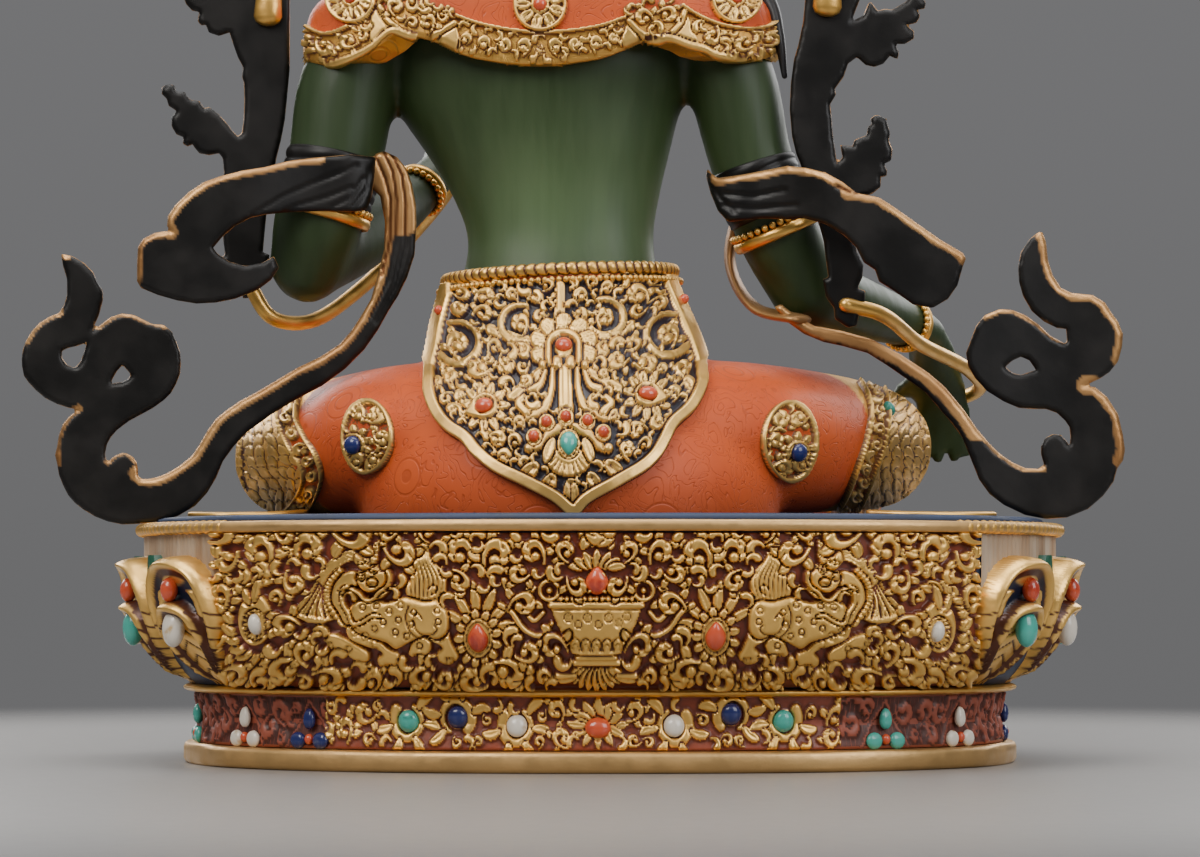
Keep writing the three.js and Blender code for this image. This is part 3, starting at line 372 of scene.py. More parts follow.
# Materials
class Look:
    """A material and short ways to add its nodes"""

    def __init__(self, name, roughness, metallic=0.0):
        self.material = bpy.data.materials.new(name)
        self.material.use_nodes = True
        self.tree = self.material.node_tree
        self.shader = self.tree.nodes["Principled BSDF"]
        self.shader.inputs["Roughness"].default_value = roughness
        self.shader.inputs["Metallic"].default_value = metallic
        self.place = self.node("ShaderNodeTexCoord").outputs["Object"]

    def node(self, kind, **values):
        node = self.tree.nodes.new(kind)
        for name, value in values.items():
            setattr(node, name, value)
        return node

    def feed(self, socket, value):
        if isinstance(value, bpy.types.NodeSocket):
            self.tree.links.new(value, socket)
        else:
            socket.default_value = value

    def mask(self, name):
        return self.node("ShaderNodeAttribute", attribute_name=name).outputs["Fac"]

    def stretched(self, scale):
        node = self.node("ShaderNodeMapping")
        self.feed(node.inputs["Vector"], self.place)
        self.feed(node.inputs["Scale"], scale)
        return node.outputs["Vector"]

    def noise(self, scale, stretch=(1, 1, 1), detail=3.0, warp=0.0):
        node = self.node("ShaderNodeTexNoise")
        self.feed(node.inputs["Vector"], self.stretched(stretch))
        self.feed(node.inputs["Scale"], scale)
        self.feed(node.inputs["Detail"], detail)
        self.feed(node.inputs["Roughness"], 0.55)
        self.feed(node.inputs["Distortion"], warp)
        return node.outputs["Fac"]

    def ramp(self, value, low, high, start=0.0, end=1.0):
        node = self.node("ShaderNodeMapRange", clamp=True, interpolation_type="SMOOTHSTEP")
        self.feed(node.inputs["Value"], value)
        for name, number in (("From Min", low), ("From Max", high), ("To Min", start), ("To Max", end)):
            self.feed(node.inputs[name], number)
        return node.outputs["Result"]

    def sums(self, kind, a, b):
        node = self.node("ShaderNodeMath", operation=kind)
        self.feed(node.inputs[0], a)
        self.feed(node.inputs[1], b)
        return node.outputs[0]

    def blend(self, share, a, b):
        node = self.node("ShaderNodeMix", data_type="RGBA")
        self.feed(node.inputs[0], share)
        self.feed(node.inputs[6], a if isinstance(a, bpy.types.NodeSocket) else (*a, 1))
        self.feed(node.inputs[7], b if isinstance(b, bpy.types.NodeSocket) else (*b, 1))
        return node.outputs[2]

    def bump(self, height, distance, strength=1.0):
        node = self.node("ShaderNodeBump")
        self.feed(node.inputs["Height"], height)
        self.feed(node.inputs["Distance"], distance)
        self.feed(node.inputs["Strength"], strength)
        self.feed(self.shader.inputs["Normal"], node.outputs["Normal"])

    def wear(self, **inputs):
        for name, value in inputs.items():
            self.feed(self.shader.inputs[name.replace("_", " ")], value)
        return self.material


def gilt(name, gold=(0.86, 0.50, 0.125), deep=(0.085, 0.022, 0.006), ground=None, rough=0.34, metal=0.85):
    """Gilding with painted shade that darkens it in the crevices, with a painted ground where the relief lies
    low
    """
    look = Look(name, rough)
    patches = look.noise(26, detail=4)
    gold = look.blend(look.ramp(patches, 0.35, 0.7), gold, tuple(c * 0.8 for c in gold))
    # Painted shade: the cavity mask turns the gold dark brown and dulls its shine in the crevices
    cavity = look.ramp(look.mask("cavity"), 0.04, 0.55)
    color = look.blend(cavity, gold, deep)
    shine = look.ramp(cavity, 0, 1, metal, 0.25 * metal) if metal else 0.0
    if ground:
        share = look.mask("ground")
        paint = look.blend(look.noise(90), ground, tuple(c * 0.6 for c in ground))
        # Painted shade: the painted ground darkens further where it lies deepest
        paint = look.blend(look.ramp(look.mask("cavity"), 0.55, 1.0, 0.0, 0.45), paint,
                           tuple(c * 0.4 for c in deep))
        color = look.blend(share, color, paint)
        shine = look.ramp(share, 0, 1, shine, 0.0) if metal else 0.0
    roughness = look.ramp(look.noise(140, detail=4), 0.3, 0.75, rough - 0.06, rough + 0.16)
    look.bump(look.noise(420, detail=3), 0.00018, 0.55)
    return look.wear(Base_Color=color, Metallic=shine, Roughness=roughness)


def painted(name, color, shade, rough, scale):
    """Streaky paint"""
    look = Look(name, rough)
    streak = (1, 1, 0.12)
    streaks = look.noise(scale, streak, detail=5)
    hue = look.blend(look.ramp(streaks, 0.3, 0.7), color, shade)
    look.bump(look.noise(scale * 6, streak), 0.00012, 0.5)
    return look.wear(Base_Color=hue, Roughness=look.ramp(streaks, 0.2, 0.8, rough - 0.06, rough + 0.1))


def skin_look():
    """Dark green paint with painted light on the waist, and painted lips, eyes and brows"""
    look = Look("green_skin", 0.45)
    streaks = look.noise(150, (1, 1, 0.05), detail=5)
    broad = look.noise(22, (1, 1, 0.4), detail=2)
    deep = look.blend(look.ramp(streaks, 0.3, 0.72), (0.019, 0.036, 0.010), (0.027, 0.048, 0.015))
    light = look.blend(look.ramp(streaks, 0.3, 0.7), (0.100, 0.160, 0.068), (0.122, 0.188, 0.084))
    # Painted light: the light mask lightens the green over the waist
    color = look.blend(look.sums("MULTIPLY", look.mask("light"), look.ramp(broad, 0.2, 0.7, 0.5, 1)), deep,
                       light)
    color = look.blend(look.mask("lips"), color, (0.30, 0.05, 0.03))
    color = look.blend(look.mask("white"), color, (0.46, 0.44, 0.38))
    color = look.blend(look.mask("dark"), color, (0.012, 0.010, 0.010))
    look.bump(look.noise(700, (1, 1, 0.06), detail=3), 0.00010, 0.4)
    look.wear(Base_Color=color, Roughness=look.ramp(streaks, 0.3, 0.7, 0.40, 0.52))
    return look.wear(Specular_IOR_Level=0.36)


def cloth_look():
    """Red paint with etched curls, gilded along the borders, with painted shade towards the seat"""
    look = Look("red_cloth", 0.48)
    patches = look.noise(30, detail=5)
    color = look.blend(look.ramp(patches, 0.3, 0.7), (0.64, 0.105, 0.022), (0.52, 0.076, 0.016))
    # Painted shade: the low mask darkens the red towards the seat
    color = look.blend(look.mask("low"), color, (0.31, 0.052, 0.014))
    # Etched curls: thin lines along the levels of a warped noise, and rings round scattered centres
    warped = look.noise(95, detail=1.0, warp=1.6)
    bands = look.sums("PINGPONG", look.sums("MULTIPLY", warped, 9.0), 0.5)
    lines = look.ramp(bands, 0.03, 0.12)
    cells = look.node("ShaderNodeTexVoronoi", feature="F1")
    look.feed(cells.inputs["Vector"], look.place)
    look.feed(cells.inputs["Scale"], 38.0)
    far = cells.outputs["Distance"]
    ring = look.sums("PINGPONG", look.sums("MULTIPLY", far, 8.0), 0.5)
    inside = look.ramp(far, 0.24, 0.28, 1.0, 0.0)
    rings = look.ramp(ring, 0.06, 0.18)
    height = look.node("ShaderNodeMix", data_type="FLOAT")
    look.feed(height.inputs[0], inside)
    look.feed(height.inputs[2], lines)
    look.feed(height.inputs[3], rings)
    etched = height.outputs[0]
    color = look.blend(etched, look.blend(0.28, color, (0.20, 0.030, 0.010)), color)
    gold_patch = look.noise(30, detail=4)
    gold = look.blend(look.ramp(gold_patch, 0.35, 0.7), (0.84, 0.48, 0.115), (0.66, 0.34, 0.075))
    # Painted shade: the gilding darkens where the cavity mask is set
    gold = look.blend(look.ramp(look.mask("cavity"), 0.05, 0.75), gold, (0.16, 0.06, 0.02))
    share = look.mask("gold")
    look.bump(etched, 0.00022, 0.55)
    look.wear(Specular_IOR_Level=0.3)
    return look.wear(
        Base_Color=look.blend(share, color, gold),
        Metallic=look.ramp(share, 0, 1, 0.0, 0.8),
        Roughness=look.ramp(patches, 0.3, 0.7, 0.40, 0.52),
    )


def lacquer_look():
    """Black lacquer with rubbed gold edges, its gilding darkened by painted shade in the folds"""
    look = Look("black_lacquer", 0.42)
    patches = look.noise(60, detail=5)
    black = look.blend(look.ramp(patches, 0.35, 0.7), (0.0045, 0.0040, 0.0036), (0.010, 0.0085, 0.0075))
    rubbed = look.ramp(look.sums("ADD", look.mask("edge"), look.noise(160, detail=4)), 1.34, 1.54)
    share = look.sums("MAXIMUM", rubbed, look.mask("gold"))
    gold = look.blend(look.ramp(look.noise(40), 0.35, 0.7), (0.56, 0.31, 0.12), (0.34, 0.165, 0.06))
    # Painted shade: the gilding darkens where the cavity mask is set
    gold = look.blend(look.ramp(look.mask("cavity"), 0.05, 0.8), gold, (0.12, 0.045, 0.016))
    look.wear(Specular_IOR_Level=0.3)
    look.bump(look.noise(260, detail=3), 0.00015, 0.35)
    return look.wear(
        Base_Color=look.blend(share, black, gold),
        Metallic=look.ramp(share, 0, 1, 0.0, 0.8),
        Roughness=look.ramp(patches, 0.3, 0.75, 0.36, 0.52),
    )


def stone_look(name, color, vein, low=0.52, high=0.66):
    """Polished stone with veins"""
    look = Look(name, 0.22)
    share = look.ramp(look.noise(130, detail=5, warp=0.6), low, high)
    look.wear(Coat_Weight=0.4)
    return look.wear(Base_Color=look.blend(share, color, vein))


GOLD = gilt("gilt_gold")
PALE = gilt("pale_gold", gold=(0.63, 0.39, 0.155), deep=(0.24, 0.11, 0.045), rough=0.42)
RED_GROUND = gilt("gilt_red_ground", gold=(0.92, 0.55, 0.145), ground=(0.31, 0.058, 0.020))
BLUE_GROUND = gilt("gilt_blue_ground", gold=(0.95, 0.58, 0.165), ground=(0.010, 0.018, 0.042))
AMBER_GROUND = gilt("gilt_amber_ground", gold=(0.97, 0.60, 0.17), ground=(0.40, 0.155, 0.035))
BRICK = gilt(
    "brick_relief", gold=(0.30, 0.072, 0.038), deep=(0.06, 0.016, 0.010), ground=(0.12, 0.028, 0.016),
    rough=0.5, metal=0.0)
SKIN = skin_look()
CLOTH = cloth_look()
LACQUER = lacquer_look()
BLUE = painted("dark_blue", (0.010, 0.020, 0.050), (0.018, 0.035, 0.085), 0.55, scale=60)
HAIR = painted("black_hair", (0.012, 0.011, 0.012), (0.022, 0.021, 0.024), 0.42, scale=90)
IVORY = painted("aged_ivory", (0.50, 0.41, 0.31), (0.30, 0.19, 0.11), 0.55, scale=110)
GREEN = painted("leaf_green", (0.010, 0.075, 0.045), (0.02, 0.12, 0.07), 0.4, scale=120)
CORAL = stone_look("coral_stone", (0.62, 0.085, 0.030), (0.40, 0.035, 0.015))
TURQUOISE = stone_look("turquoise_stone", (0.06, 0.40, 0.32), (0.02, 0.16, 0.12), 0.60, 0.70)
LAPIS = stone_look("lapis_stone", (0.012, 0.020, 0.115), (0.10, 0.11, 0.17), 0.60, 0.74)
SHELL = stone_look("shell_stone", (0.74, 0.68, 0.58), (0.55, 0.38, 0.18), 0.60, 0.72)
STONES = {"coral": CORAL, "turquoise": TURQUOISE, "lapis": LAPIS, "shell": SHELL}


# The throne's oval plan by length along it, from the middle of the back towards +X
def oval_table():
    """Lengths along the plan and the directions of its points"""
    angle = np.pi / 2 - np.linspace(0, 2 * np.pi, 4001)
    p = np.stack([signed_power(np.cos(angle), 2 / OVAL_POWER), signed_power(np.sin(angle), 2 / OVAL_POWER)],
                 1)
    step = np.linalg.norm(np.diff(p * THRONE_HALF, axis=0), axis=1)
    return np.append(0, np.cumsum(step)), p


OVAL_LENGTHS, OVAL_DIRECTIONS = oval_table()
OVAL_LENGTH = OVAL_LENGTHS[-1]
ALL_ROUND = np.linspace(0, OVAL_LENGTH, 480, endpoint=False)


def oval(s, inset):
    """Points on the plan at lengths s (of the outermost line), moved in by inset"""
    s = np.mod(s, OVAL_LENGTH)
    d = np.stack([np.interp(s, OVAL_LENGTHS, OVAL_DIRECTIONS[:, i]) for i in (0, 1)], -1)
    return d * (THRONE_HALF - np.asarray(inset)[..., None])


def swept(profile, s=None):
    """The surface of a profile of [inset, z] rows swept round the plan"""
    s = ALL_ROUND if s is None else s
    profile = np.asarray(profile, float)
    flat = oval(s[None, :] * np.ones((len(profile), 1)), profile[:, :1] * np.ones((1, len(s))))
    return np.concatenate([flat, np.broadcast_to(profile[:, 1][:, None, None], (*flat.shape[:2], 1))], -1)


BOWL_ROWS = [[0, 16.5], [0.1, 12.0], [0.3, 6.4], [0.62, 3.5], [1, 3.0]]


def bowl_inset(z):
    """How far the petal bowl stands in from the plan at height z"""
    share = np.atleast_1d((np.asarray(z, float) - BOWL_BASE) / (BOWL_TOP - BOWL_BASE))
    return eased(BOWL_ROWS, share.ravel())[:, 0].reshape(share.shape)


def drum_inset(z):
    """How far the foot drum stands in from the plan at height z"""
    share = (np.asarray(z, float) - DRUM_BASE) / (DRUM_TOP - DRUM_BASE)
    return DRUM_INSET + 1.6 * (1 - np.abs(2 * share - 1))


def wall_grid(s, z):
    """Points of the bowl's wall at lengths s and heights z"""
    flat = oval(s, bowl_inset(z).reshape(z.shape))
    return np.concatenate([flat, z[..., None]], -1)


def drum_wall(s, z):
    """Points of the foot drum's wall at lengths s and heights z"""
    flat = oval(s, drum_inset(z))
    return np.concatenate([flat, z[..., None]], -1)


# Body: knots in millimetres
HIPS = [
    [72, 9, 20, 64, 50], [88, 9, 20, 63, 50], [104, 10, 18, 56, 46], [118, 10.5, 15, 46, 38],
    [132, 12, 11, 38, 29], [143, 12.5, 9, 35.5, 25], [150.5, 12.5, 8, 33, 23],
]
APRON_HIPS = [
    [72, 9, 20, 40, 30], [88, 9, 20, 44, 36], [104, 10, 18, 46, 43], [118, 10.5, 15, 46.5, 38.5],
    [132, 11.2, 11, 42, 29.8], [143, 12.2, 9, 37.6, 26.0], [150.5, 12.4, 8, 35.2, 24.0],
]
TORSO = [
    [140, 12.4, 8, 33, 23], [148, 12.4, 7.5, 31, 21.5], [162, 12.3, 6, 29, 19.5],
    [176, 13.8, 5, 32.5, 20.5], [190, 16.5, 5, 38.5, 23], [202, 19, 5, 44, 25], [217, 18.8, 6, 49, 25.5],
    [238, 18, 8, 50, 20], [251, 15.8, 8.5, 18, 14.5], [262, 15, 7.5, 12.8, 13], [274, 14.5, 4, 12.5, 13],
]
CAPE = [
    [214, 18.3, 5, 74.5, 30.5], [226, 18.3, 5.5, 74, 29.5], [236, 18.2, 6.5, 69.5, 27.5],
    [247, 17.2, 8, 49, 22], [257, 15.8, 8.3, 18.5, 16],
]
LEFT_ARM = [
    [71, 8, 228, 14.5, 15], [79, 9, 208, 15.5, 15.5], [82.5, 10, 187, 14.8, 14.8],
    [88, 10.5, 166, 13.8, 14], [91, 8, 154, 12, 12],
]
LEFT_FOREARM = [
    [91, 8, 155, 12.5, 12], [78, -12, 164, 11.5, 11], [63, -34, 178, 8.5, 8], [53, -48, 190, 6.8, 6.5],
]
RIGHT_ARM = [
    [-35, 8, 228, 14.0, 15], [-42, 9, 208, 14, 14.5], [-47, 9, 187, 13, 13.5], [-56, 8, 163, 12.8, 13],
    [-65, 4, 146, 11.5, 12],
]
RIGHT_FOREARM = [
    [-65, 4, 146, 12, 12], [-79, -14, 143, 11, 10.5], [-96, -36, 140, 8, 8], [-107, -51, 137, 6.6, 6.4],
]
LEFT_THIGH = [[22, 26, 98, 26, 36], [58, 8, 98, 25, 34], [84, -14, 97, 22, 27], [98, -29, 95, 19.5, 20]]
LEFT_SHIN = [[98, -29, 94, 19, 20], [72, -54, 92, 15.5, 18], [38, -70, 89, 13, 14], [6, -77, 86, 9.5, 10]]
LEFT_FOOT = [[10, -77, 86, 8, 8.5], [-8, -78, 85, 8, 10], [-26, -76, 83, 6, 11], [-38, -73, 82, 4, 8]]
RIGHT_THIGH = [[-4, 26, 98, 26, 36], [-40, 6, 99, 25, 33], [-70, -28, 100, 22.5, 26], [-90, -58, 100, 20, 20]]
RIGHT_SHIN = [
    [-90, -58, 99, 19.5], [-86, -95.5, 91.5, 14.5], [-76, -123, 70.5, 12.5], [-68, -127, 53, 10.5],
    [-63, -127.5, 44.3, 8, 8.5],
]
RIGHT_FOOT = [
    [-63, -121.5, 40.3, 7.5], [-62, -131.5, 41.3, 8.5], [-60, -145.5, 38.3, 9, 5.5],
    [-59, -155.5, 36.8, 7.5, 3.8],
]
LEVEL = (0, 0, 1)


def digits(rows):
    return [sweep(knots, per=5, sides=12) for knots in rows]


def left_hand():
    palm = [[53, -48, 190, 6.5, 5.5], [49, -54, 200, 8.5, 4.6], [48, -57, 210, 9, 4.2]]
    fingers = [[[55 - i * 4.6, -57, 211, 2.6], [
        56 - i * 4.9, -58.5, 223, 2.4], [56.5 - i * 5, -60, 233 - abs(i - 1) * 2, 1.8]] for i in range(3)]
    fingers.append([[41.5, -57, 210, 2.6], [38.5, -62, 218, 2.3], [37.5, -69, 214, 1.8]])
    fingers.append([[44, -55, 200, 3], [38, -62, 204, 2.6], [37, -69, 210, 2]])
    return [sweep(palm, sides=20)] + digits(fingers)


def right_hand():
    palm = [[-107, -51, 137, 6.3, 5.8], [-111, -68, 129, 8.5, 5], [-115, -79, 116, 9, 4.4]]
    fingers = [
        [[-108.5 - i * 4.5, -79, 114, 2.6], [-108.5 - i * 5, -82, 104, 2.4],
         [-109 - i * 5, -82, 95 + abs(i - 1.3) * 2, 1.8]]
        for i in range(4)
    ]
    fingers.append([[-106, -72, 124, 3], [-100, -81, 118, 2.6], [-97, -86, 109, 2]])
    return [sweep(palm, sides=20)] + digits(fingers)


def breasts():
    shapes = []
    angle = around(32)
    for s in (-1, 1):
        turn = np.radians(np.linspace(-86, 86, 15))[:, None]
        x = 18.5 + s * 20 + 15 * np.cos(turn) * np.cos(angle)
        z = 204 + 14 * np.sin(turn) * np.ones_like(angle)
        y = -12 + 13 * np.cos(turn) * np.sin(angle)
        shapes.append(loft(np.stack([x, y, z], -1)))
    return shapes


def toes(knots, big):
    """Five toes at the end of a foot, the big one on the side given"""
    rows = np.array([knot[:3] for knot in knots], float)
    tip, along = rows[-1], unit(rows[-1] - rows[-2])
    side = unit(np.cross(along, [0, 0, 1.0]))
    shapes = []
    for k in range(5):
        spot = tip + side * big * (5.2 - 2.6 * k) + along * (2.0 - 0.9 * k) - np.array([0, 0, 0.6])
        size = 2.3 if k == 0 else 1.75 - 0.08 * k
        shapes.append(ball(*spot, size, size, size, 14, 9))
        shapes.append(ball(*(spot - along * 2.4), size, size, size, 14, 9))
    return shapes


def build_body():
    skin = remeshed([trunk(TORSO, levels=60), sweep(LEFT_ARM), sweep(LEFT_FOREARM), sweep(RIGHT_ARM),
                     sweep(RIGHT_FOREARM), sweep(LEFT_FOOT, side=LEVEL), sweep(RIGHT_FOOT), *left_hand(),
                     *right_hand(), *breasts(), *toes(LEFT_FOOT, 1), *toes(RIGHT_FOOT, 1)], 1.85, 5)
    x, _, z = skin.points.T
    # Painted light: a soft pool of lighter green on the small of the back
    waist = np.exp(-(((z - 172) / 26) ** 2)) * np.exp(-(((x - 13) / 40) ** 2))
    skin.masks = {"light": np.clip(waist, 0, 1)}
    make("skin", skin, SKIN, "green_paint", "figure")

    cloth = remeshed(
        [trunk(HIPS, levels=40), sweep(LEFT_THIGH, side=LEVEL), sweep(LEFT_SHIN, side=LEVEL),
         sweep(RIGHT_THIGH, side=LEVEL), sweep(RIGHT_SHIN)],
        2.2, 6)
    x, y, z = cloth.points.T
    left = 0.68 * x - 0.73 * y - 53.1
    right = -0.66 * x - 0.75 * y - 58.6
    knees = np.maximum(smooth(left / 1.5) * (x > 20), smooth(right / 1.5) * (x < -20))
    shins = np.maximum(smooth((84 - x) / 3) * (y < -30) * (x > -10), smooth((-y - 92) / 3) * (x < -40))
    # Painted shade: the cloth darkens on the undersides of the legs and hips, towards the seat
    low = smooth((86 - z) / 16)
    cloth.masks = {"gold": knees * (1 - shins), "low": low, "cavity": np.zeros(len(x))}
    make("skirt", cloth, CLOTH, "red_paint")
    return cloth


# Distances on a plane
FAR_OFF = 1e9


def segment_distance(X, Y, a, b):
    """Distance from points to the line between a and b"""
    d = b - a
    share = np.clip(((X - a[0]) * d[0] + (Y - a[1]) * d[1]) / max(d @ d, 1e-9), 0, 1)
    return np.hypot(X - a[0] - share * d[0], Y - a[1] - share * d[1])


def line_distance(X, Y, points):
    """Distance from points to a broken line"""
    far = np.full(np.broadcast_shapes(X.shape, Y.shape), FAR_OFF)
    points = np.array(points, float)
    for a, b in zip(points[:-1], points[1:]):
        far = np.minimum(far, segment_distance(X, Y, a, b))
    return far


def inside_polygon(X, Y, polygon):
    """Which points lie inside a closed outline, and how far from it, less than 0 outside"""
    polygon = np.array(polygon, float)
    inside = np.zeros(X.shape, bool)
    far = np.full(X.shape, FAR_OFF)
    for a, b in zip(polygon, np.roll(polygon, -1, axis=0)):
        slope = (b[0] - a[0]) * (Y - a[1]) / (b[1] - a[1] + 1e-12)
        inside ^= ((a[1] > Y) != (b[1] > Y)) & (X < slope + a[0])
        far = np.minimum(far, segment_distance(X, Y, a, b))
    return inside, np.where(inside, far, -far)


# Relief: a height map painted with strokes on a rectangle of its own plane
class Relief:
    """A height map on box = (x0, y0, x1, y1), with the width of the groove round a stroke"""

    def __init__(self, box, cell, gap):
        self.x0, self.y0, x1, y1 = box
        self.cell = cell
        self.gap = gap
        self.x = np.arange(self.x0, x1 + 0.5 * cell, cell)
        self.y = np.arange(self.y0, y1 + 0.5 * cell, cell)
        self.h = np.zeros((len(self.y), len(self.x)))
        self.used = np.zeros(self.h.shape, bool)

    def window(self, low, high):
        """Rows, columns and coordinates of the cells between two corners"""
        i0, j0 = [max(int((v - o) / self.cell), 0) for v, o in zip(low[::-1], (self.y0, self.x0))]
        i1, j1 = [max(int((v - o) / self.cell) + 2, 0) for v, o in zip(high[::-1], (self.y0, self.x0))]
        rows, columns = slice(i0, i1), slice(j0, j1)
        return rows, columns, self.x[columns][None, :], self.y[rows][:, None]

    def stroke(self, points, radii, high=1.0, vein=0.0, gap=1.3, power=3.0, comb=0, edge=0.4):
        """A rounded bar through points, which cuts a groove round itself"""
        points = np.asarray(points, float)
        radii = np.broadcast_to(np.asarray(radii, float), len(points))
        if len(points) > 1:
            step = np.linalg.norm(np.diff(points, axis=0), axis=1)
            along = np.append(0, np.cumsum(step))
            count = max(int(along[-1] / max(0.3 * radii.mean(), 0.5 * self.cell)) + 1, 2)
            place = np.linspace(0, along[-1], count)
            points = np.stack([np.interp(place, along, points[:, k]) for k in (0, 1)], 1)
            radii = np.interp(place, along, radii)
        reach = radii.max() + gap + self.cell
        rows, columns, X, Y = self.window(points.min(0) - reach, points.max(0) + reach)
        h = self.h[rows, columns]
        if h.size == 0:
            return
        dx, dy = X[..., None] - points[:, 0], Y[..., None] - points[:, 1]
        far = np.sqrt(dx * dx + dy * dy) / radii
        near = far.argmin(-1)
        q = np.take_along_axis(far, near[..., None], -1)[..., 0]
        out = (q - 1) * radii[near]
        body = edge + (1 - edge) * np.sqrt(np.clip(1 - q**power, 0, 1))
        if vein:
            body = body - vein * np.exp(-((q * radii[near] / (0.55 * self.cell + 0.06 * radii[near])) ** 2))
        if comb:
            along = np.gradient(points, axis=0) if len(points) > 1 else np.array([[1.0, 0.0]])
            side = unit(along[:, ::-1] * [1, -1])[near]
            a = (np.take_along_axis(dx, near[..., None], -1)[..., 0] * side[..., 0]
                 + np.take_along_axis(dy, near[..., None], -1)[..., 0] * side[..., 1]) / radii[near]
            body = body - 0.22 * (0.5 - 0.5 * np.cos(np.pi * a * comb)) ** 2
        h[:] = np.where(q < 1, high * body, h * smooth(np.clip(out / gap, 0, 1)))
        self.used[rows, columns] |= q < 1 + 0.4 * gap / radii[near]

    def tapered(self, line, first, last, high=1.0, **more):
        """A stroke whose width goes evenly from first to last"""
        self.stroke(line, np.linspace(first, last, len(line)), high, **more)

    def spiral(self, x, y, r, angle, hand=1, high=1.0, turns=0.86, lobes=2, wide=0.30):
        """An acanthus hook: a tail that thickens and winds in to a bulb, with curled fingers on its back"""
        t = np.linspace(0, 1, 30)
        turn = angle + hand * 2 * np.pi * turns * t
        far = r * (1 - wide) * (1 - 0.66 * t**1.15)
        tail = np.array([hand * math.sin(angle), -hand * math.cos(angle)])
        points = np.stack([x + far * np.cos(turn), y + far * np.sin(turn)], 1)
        points += tail * (0.50 * r * np.clip(1 - t / 0.35, 0, 1) ** 2)[:, None]
        radii = r * wide * (0.30 + 0.78 * smooth(t / 0.45)) * (1 - 0.30 * t)
        for k in range(0 if r < 9 * self.cell else lobes):
            at = (4, 10, 16)[k]
            out = points[at] - [x, y]
            lean = math.atan2(out[1], out[0]) - 0.75 * hand
            root = points[at] - unit(out) * radii[at] * 0.3
            self.leaf(*root, 0.72 * r, 0.27 * r, lean, 1.4 * hand, high * 0.93, vein=0.28)
        self.stroke(points, radii, high, gap=self.gap, power=4, edge=0.5)
        for at in (12, 18) if r > 9 * self.cell else ():
            out = unit(points[at] - [x, y])
            self.etch([points[at] + out * radii[at] * 1.1, points[at + 2] - out * radii[at] * 0.2],
                      0.9 * self.cell, 0.4)
        self.stroke([points[-1]], [radii[-1] * 1.25], high * 1.08, gap=self.gap * 0.5)

    def comma(self, x, y, size, angle, hand):
        """A small curl with a round head and a thin tail"""
        t = np.linspace(0, 1, 8)
        turn = angle + hand * 2.9 * t
        points = np.stack([x + 0.60 * size * np.cos(turn), y + 0.60 * size * np.sin(turn)], 1)
        self.stroke(points, size * (0.14 + 0.28 * smooth(t * 1.1)), 0.92, gap=self.gap * 0.7)

    def area(self, outline, high, soft, gap=None, round_off=True):
        """A raised patch inside a closed outline, which cuts a groove round itself"""
        gap = gap or self.gap
        points = np.array(outline, float)
        if round_off:
            points = centripetal(np.vstack([points, points[:1]]), np.linspace(0, 1, 5 * len(points) + 1))[:-1]
        rows, columns, X, Y = self.window(points.min(0) - gap - 2, points.max(0) + gap + 2)
        h = self.h[rows, columns]
        inside, far = inside_polygon(*np.broadcast_arrays(X, Y), points)
        body = 0.5 + 0.5 * np.sqrt(np.clip(1 - np.clip(1 - far / soft, 0, 1) ** 2.5, 0, 1))
        h[:] = np.where(inside, high * body, h * smooth(np.clip(-far / gap, 0, 1)))
        self.used[rows, columns] |= far > -0.4 * gap

    def combed(self, one, other, count, deep=0.3, wide=0.75):
        """Fine parallel lines between two curves of as many points"""
        for k in range(1, count + 1):
            share = k / (count + 1)
            self.etch(mix(one, other, share), wide, deep)

    def leaf(self, x, y, length, width, angle, bend=0.0, high=0.95, vein=0.3, comb=0):
        """A leaf that starts at (x, y), with a vein or comb-cut lines"""
        t = np.linspace(0, 1, 9)
        turn = angle + bend * t
        step = length / 8
        points = np.stack([x + np.cumsum(np.cos(turn)) * step, y + np.cumsum(np.sin(turn)) * step], 1)
        radii = width * np.maximum(np.sin(np.pi * (0.12 + 0.80 * t)) ** 0.8, 0.15)
        self.stroke(points, radii, high, vein=vein, gap=self.gap * 0.9, comb=comb)

    def flutes(self, x, y, rx, ry, count, length, width, high=0.95, start=0.0):
        """Petals all round an ellipse"""
        for k in range(count):
            a = start + 2 * np.pi * (k + 0.5) / count
            out = math.atan2(math.sin(a) / max(ry, 1), math.cos(a) / max(rx, 1))
            self.leaf(x + rx * math.cos(a), y + ry * math.sin(a), length, width, out, 0.0, high)

    def dome(self, x, y, rx, ry, high=1.0, turn=0.0, gap=1.2):
        """An oval dome, which cuts a groove round itself"""
        reach = max(rx, ry) + gap
        rows, columns, X, Y = self.window(np.array([x, y]) - reach, np.array([x, y]) + reach)
        h = self.h[rows, columns]
        c, s = math.cos(turn), math.sin(turn)
        a, b = (X - x) * c + (Y - y) * s, (Y - y) * c - (X - x) * s
        q = np.sqrt((a / rx) ** 2 + (b / ry) ** 2)
        out = (q - 1) * min(rx, ry)
        body = 0.35 + 0.65 * np.sqrt(np.clip(1 - q**2, 0, 1))
        h[:] = np.where(q < 1, high * body, h * smooth(np.clip(out / gap, 0, 1)))
        self.used[rows, columns] |= q < 1 + 0.5 * gap / min(rx, ry)

    def setting(self, x, y, outer, inner, high, floor):
        """A dome with a hollow for a stone"""
        self.dome(x, y, *outer, high)
        self.dome(x, y, *inner, floor, gap=0.1)

    def beads(self, points, pitch, r, high=0.8):
        """A row of domes along a line"""
        points = np.asarray(points, float)
        along = np.append(0, np.cumsum(np.linalg.norm(np.diff(points, axis=0), axis=1)))
        for place in np.linspace(0, along[-1], max(int(along[-1] / pitch), 1) + 1):
            x, y = (np.interp(place, along, points[:, k]) for k in (0, 1))
            self.dome(x, y, r, r, high, gap=0.8)

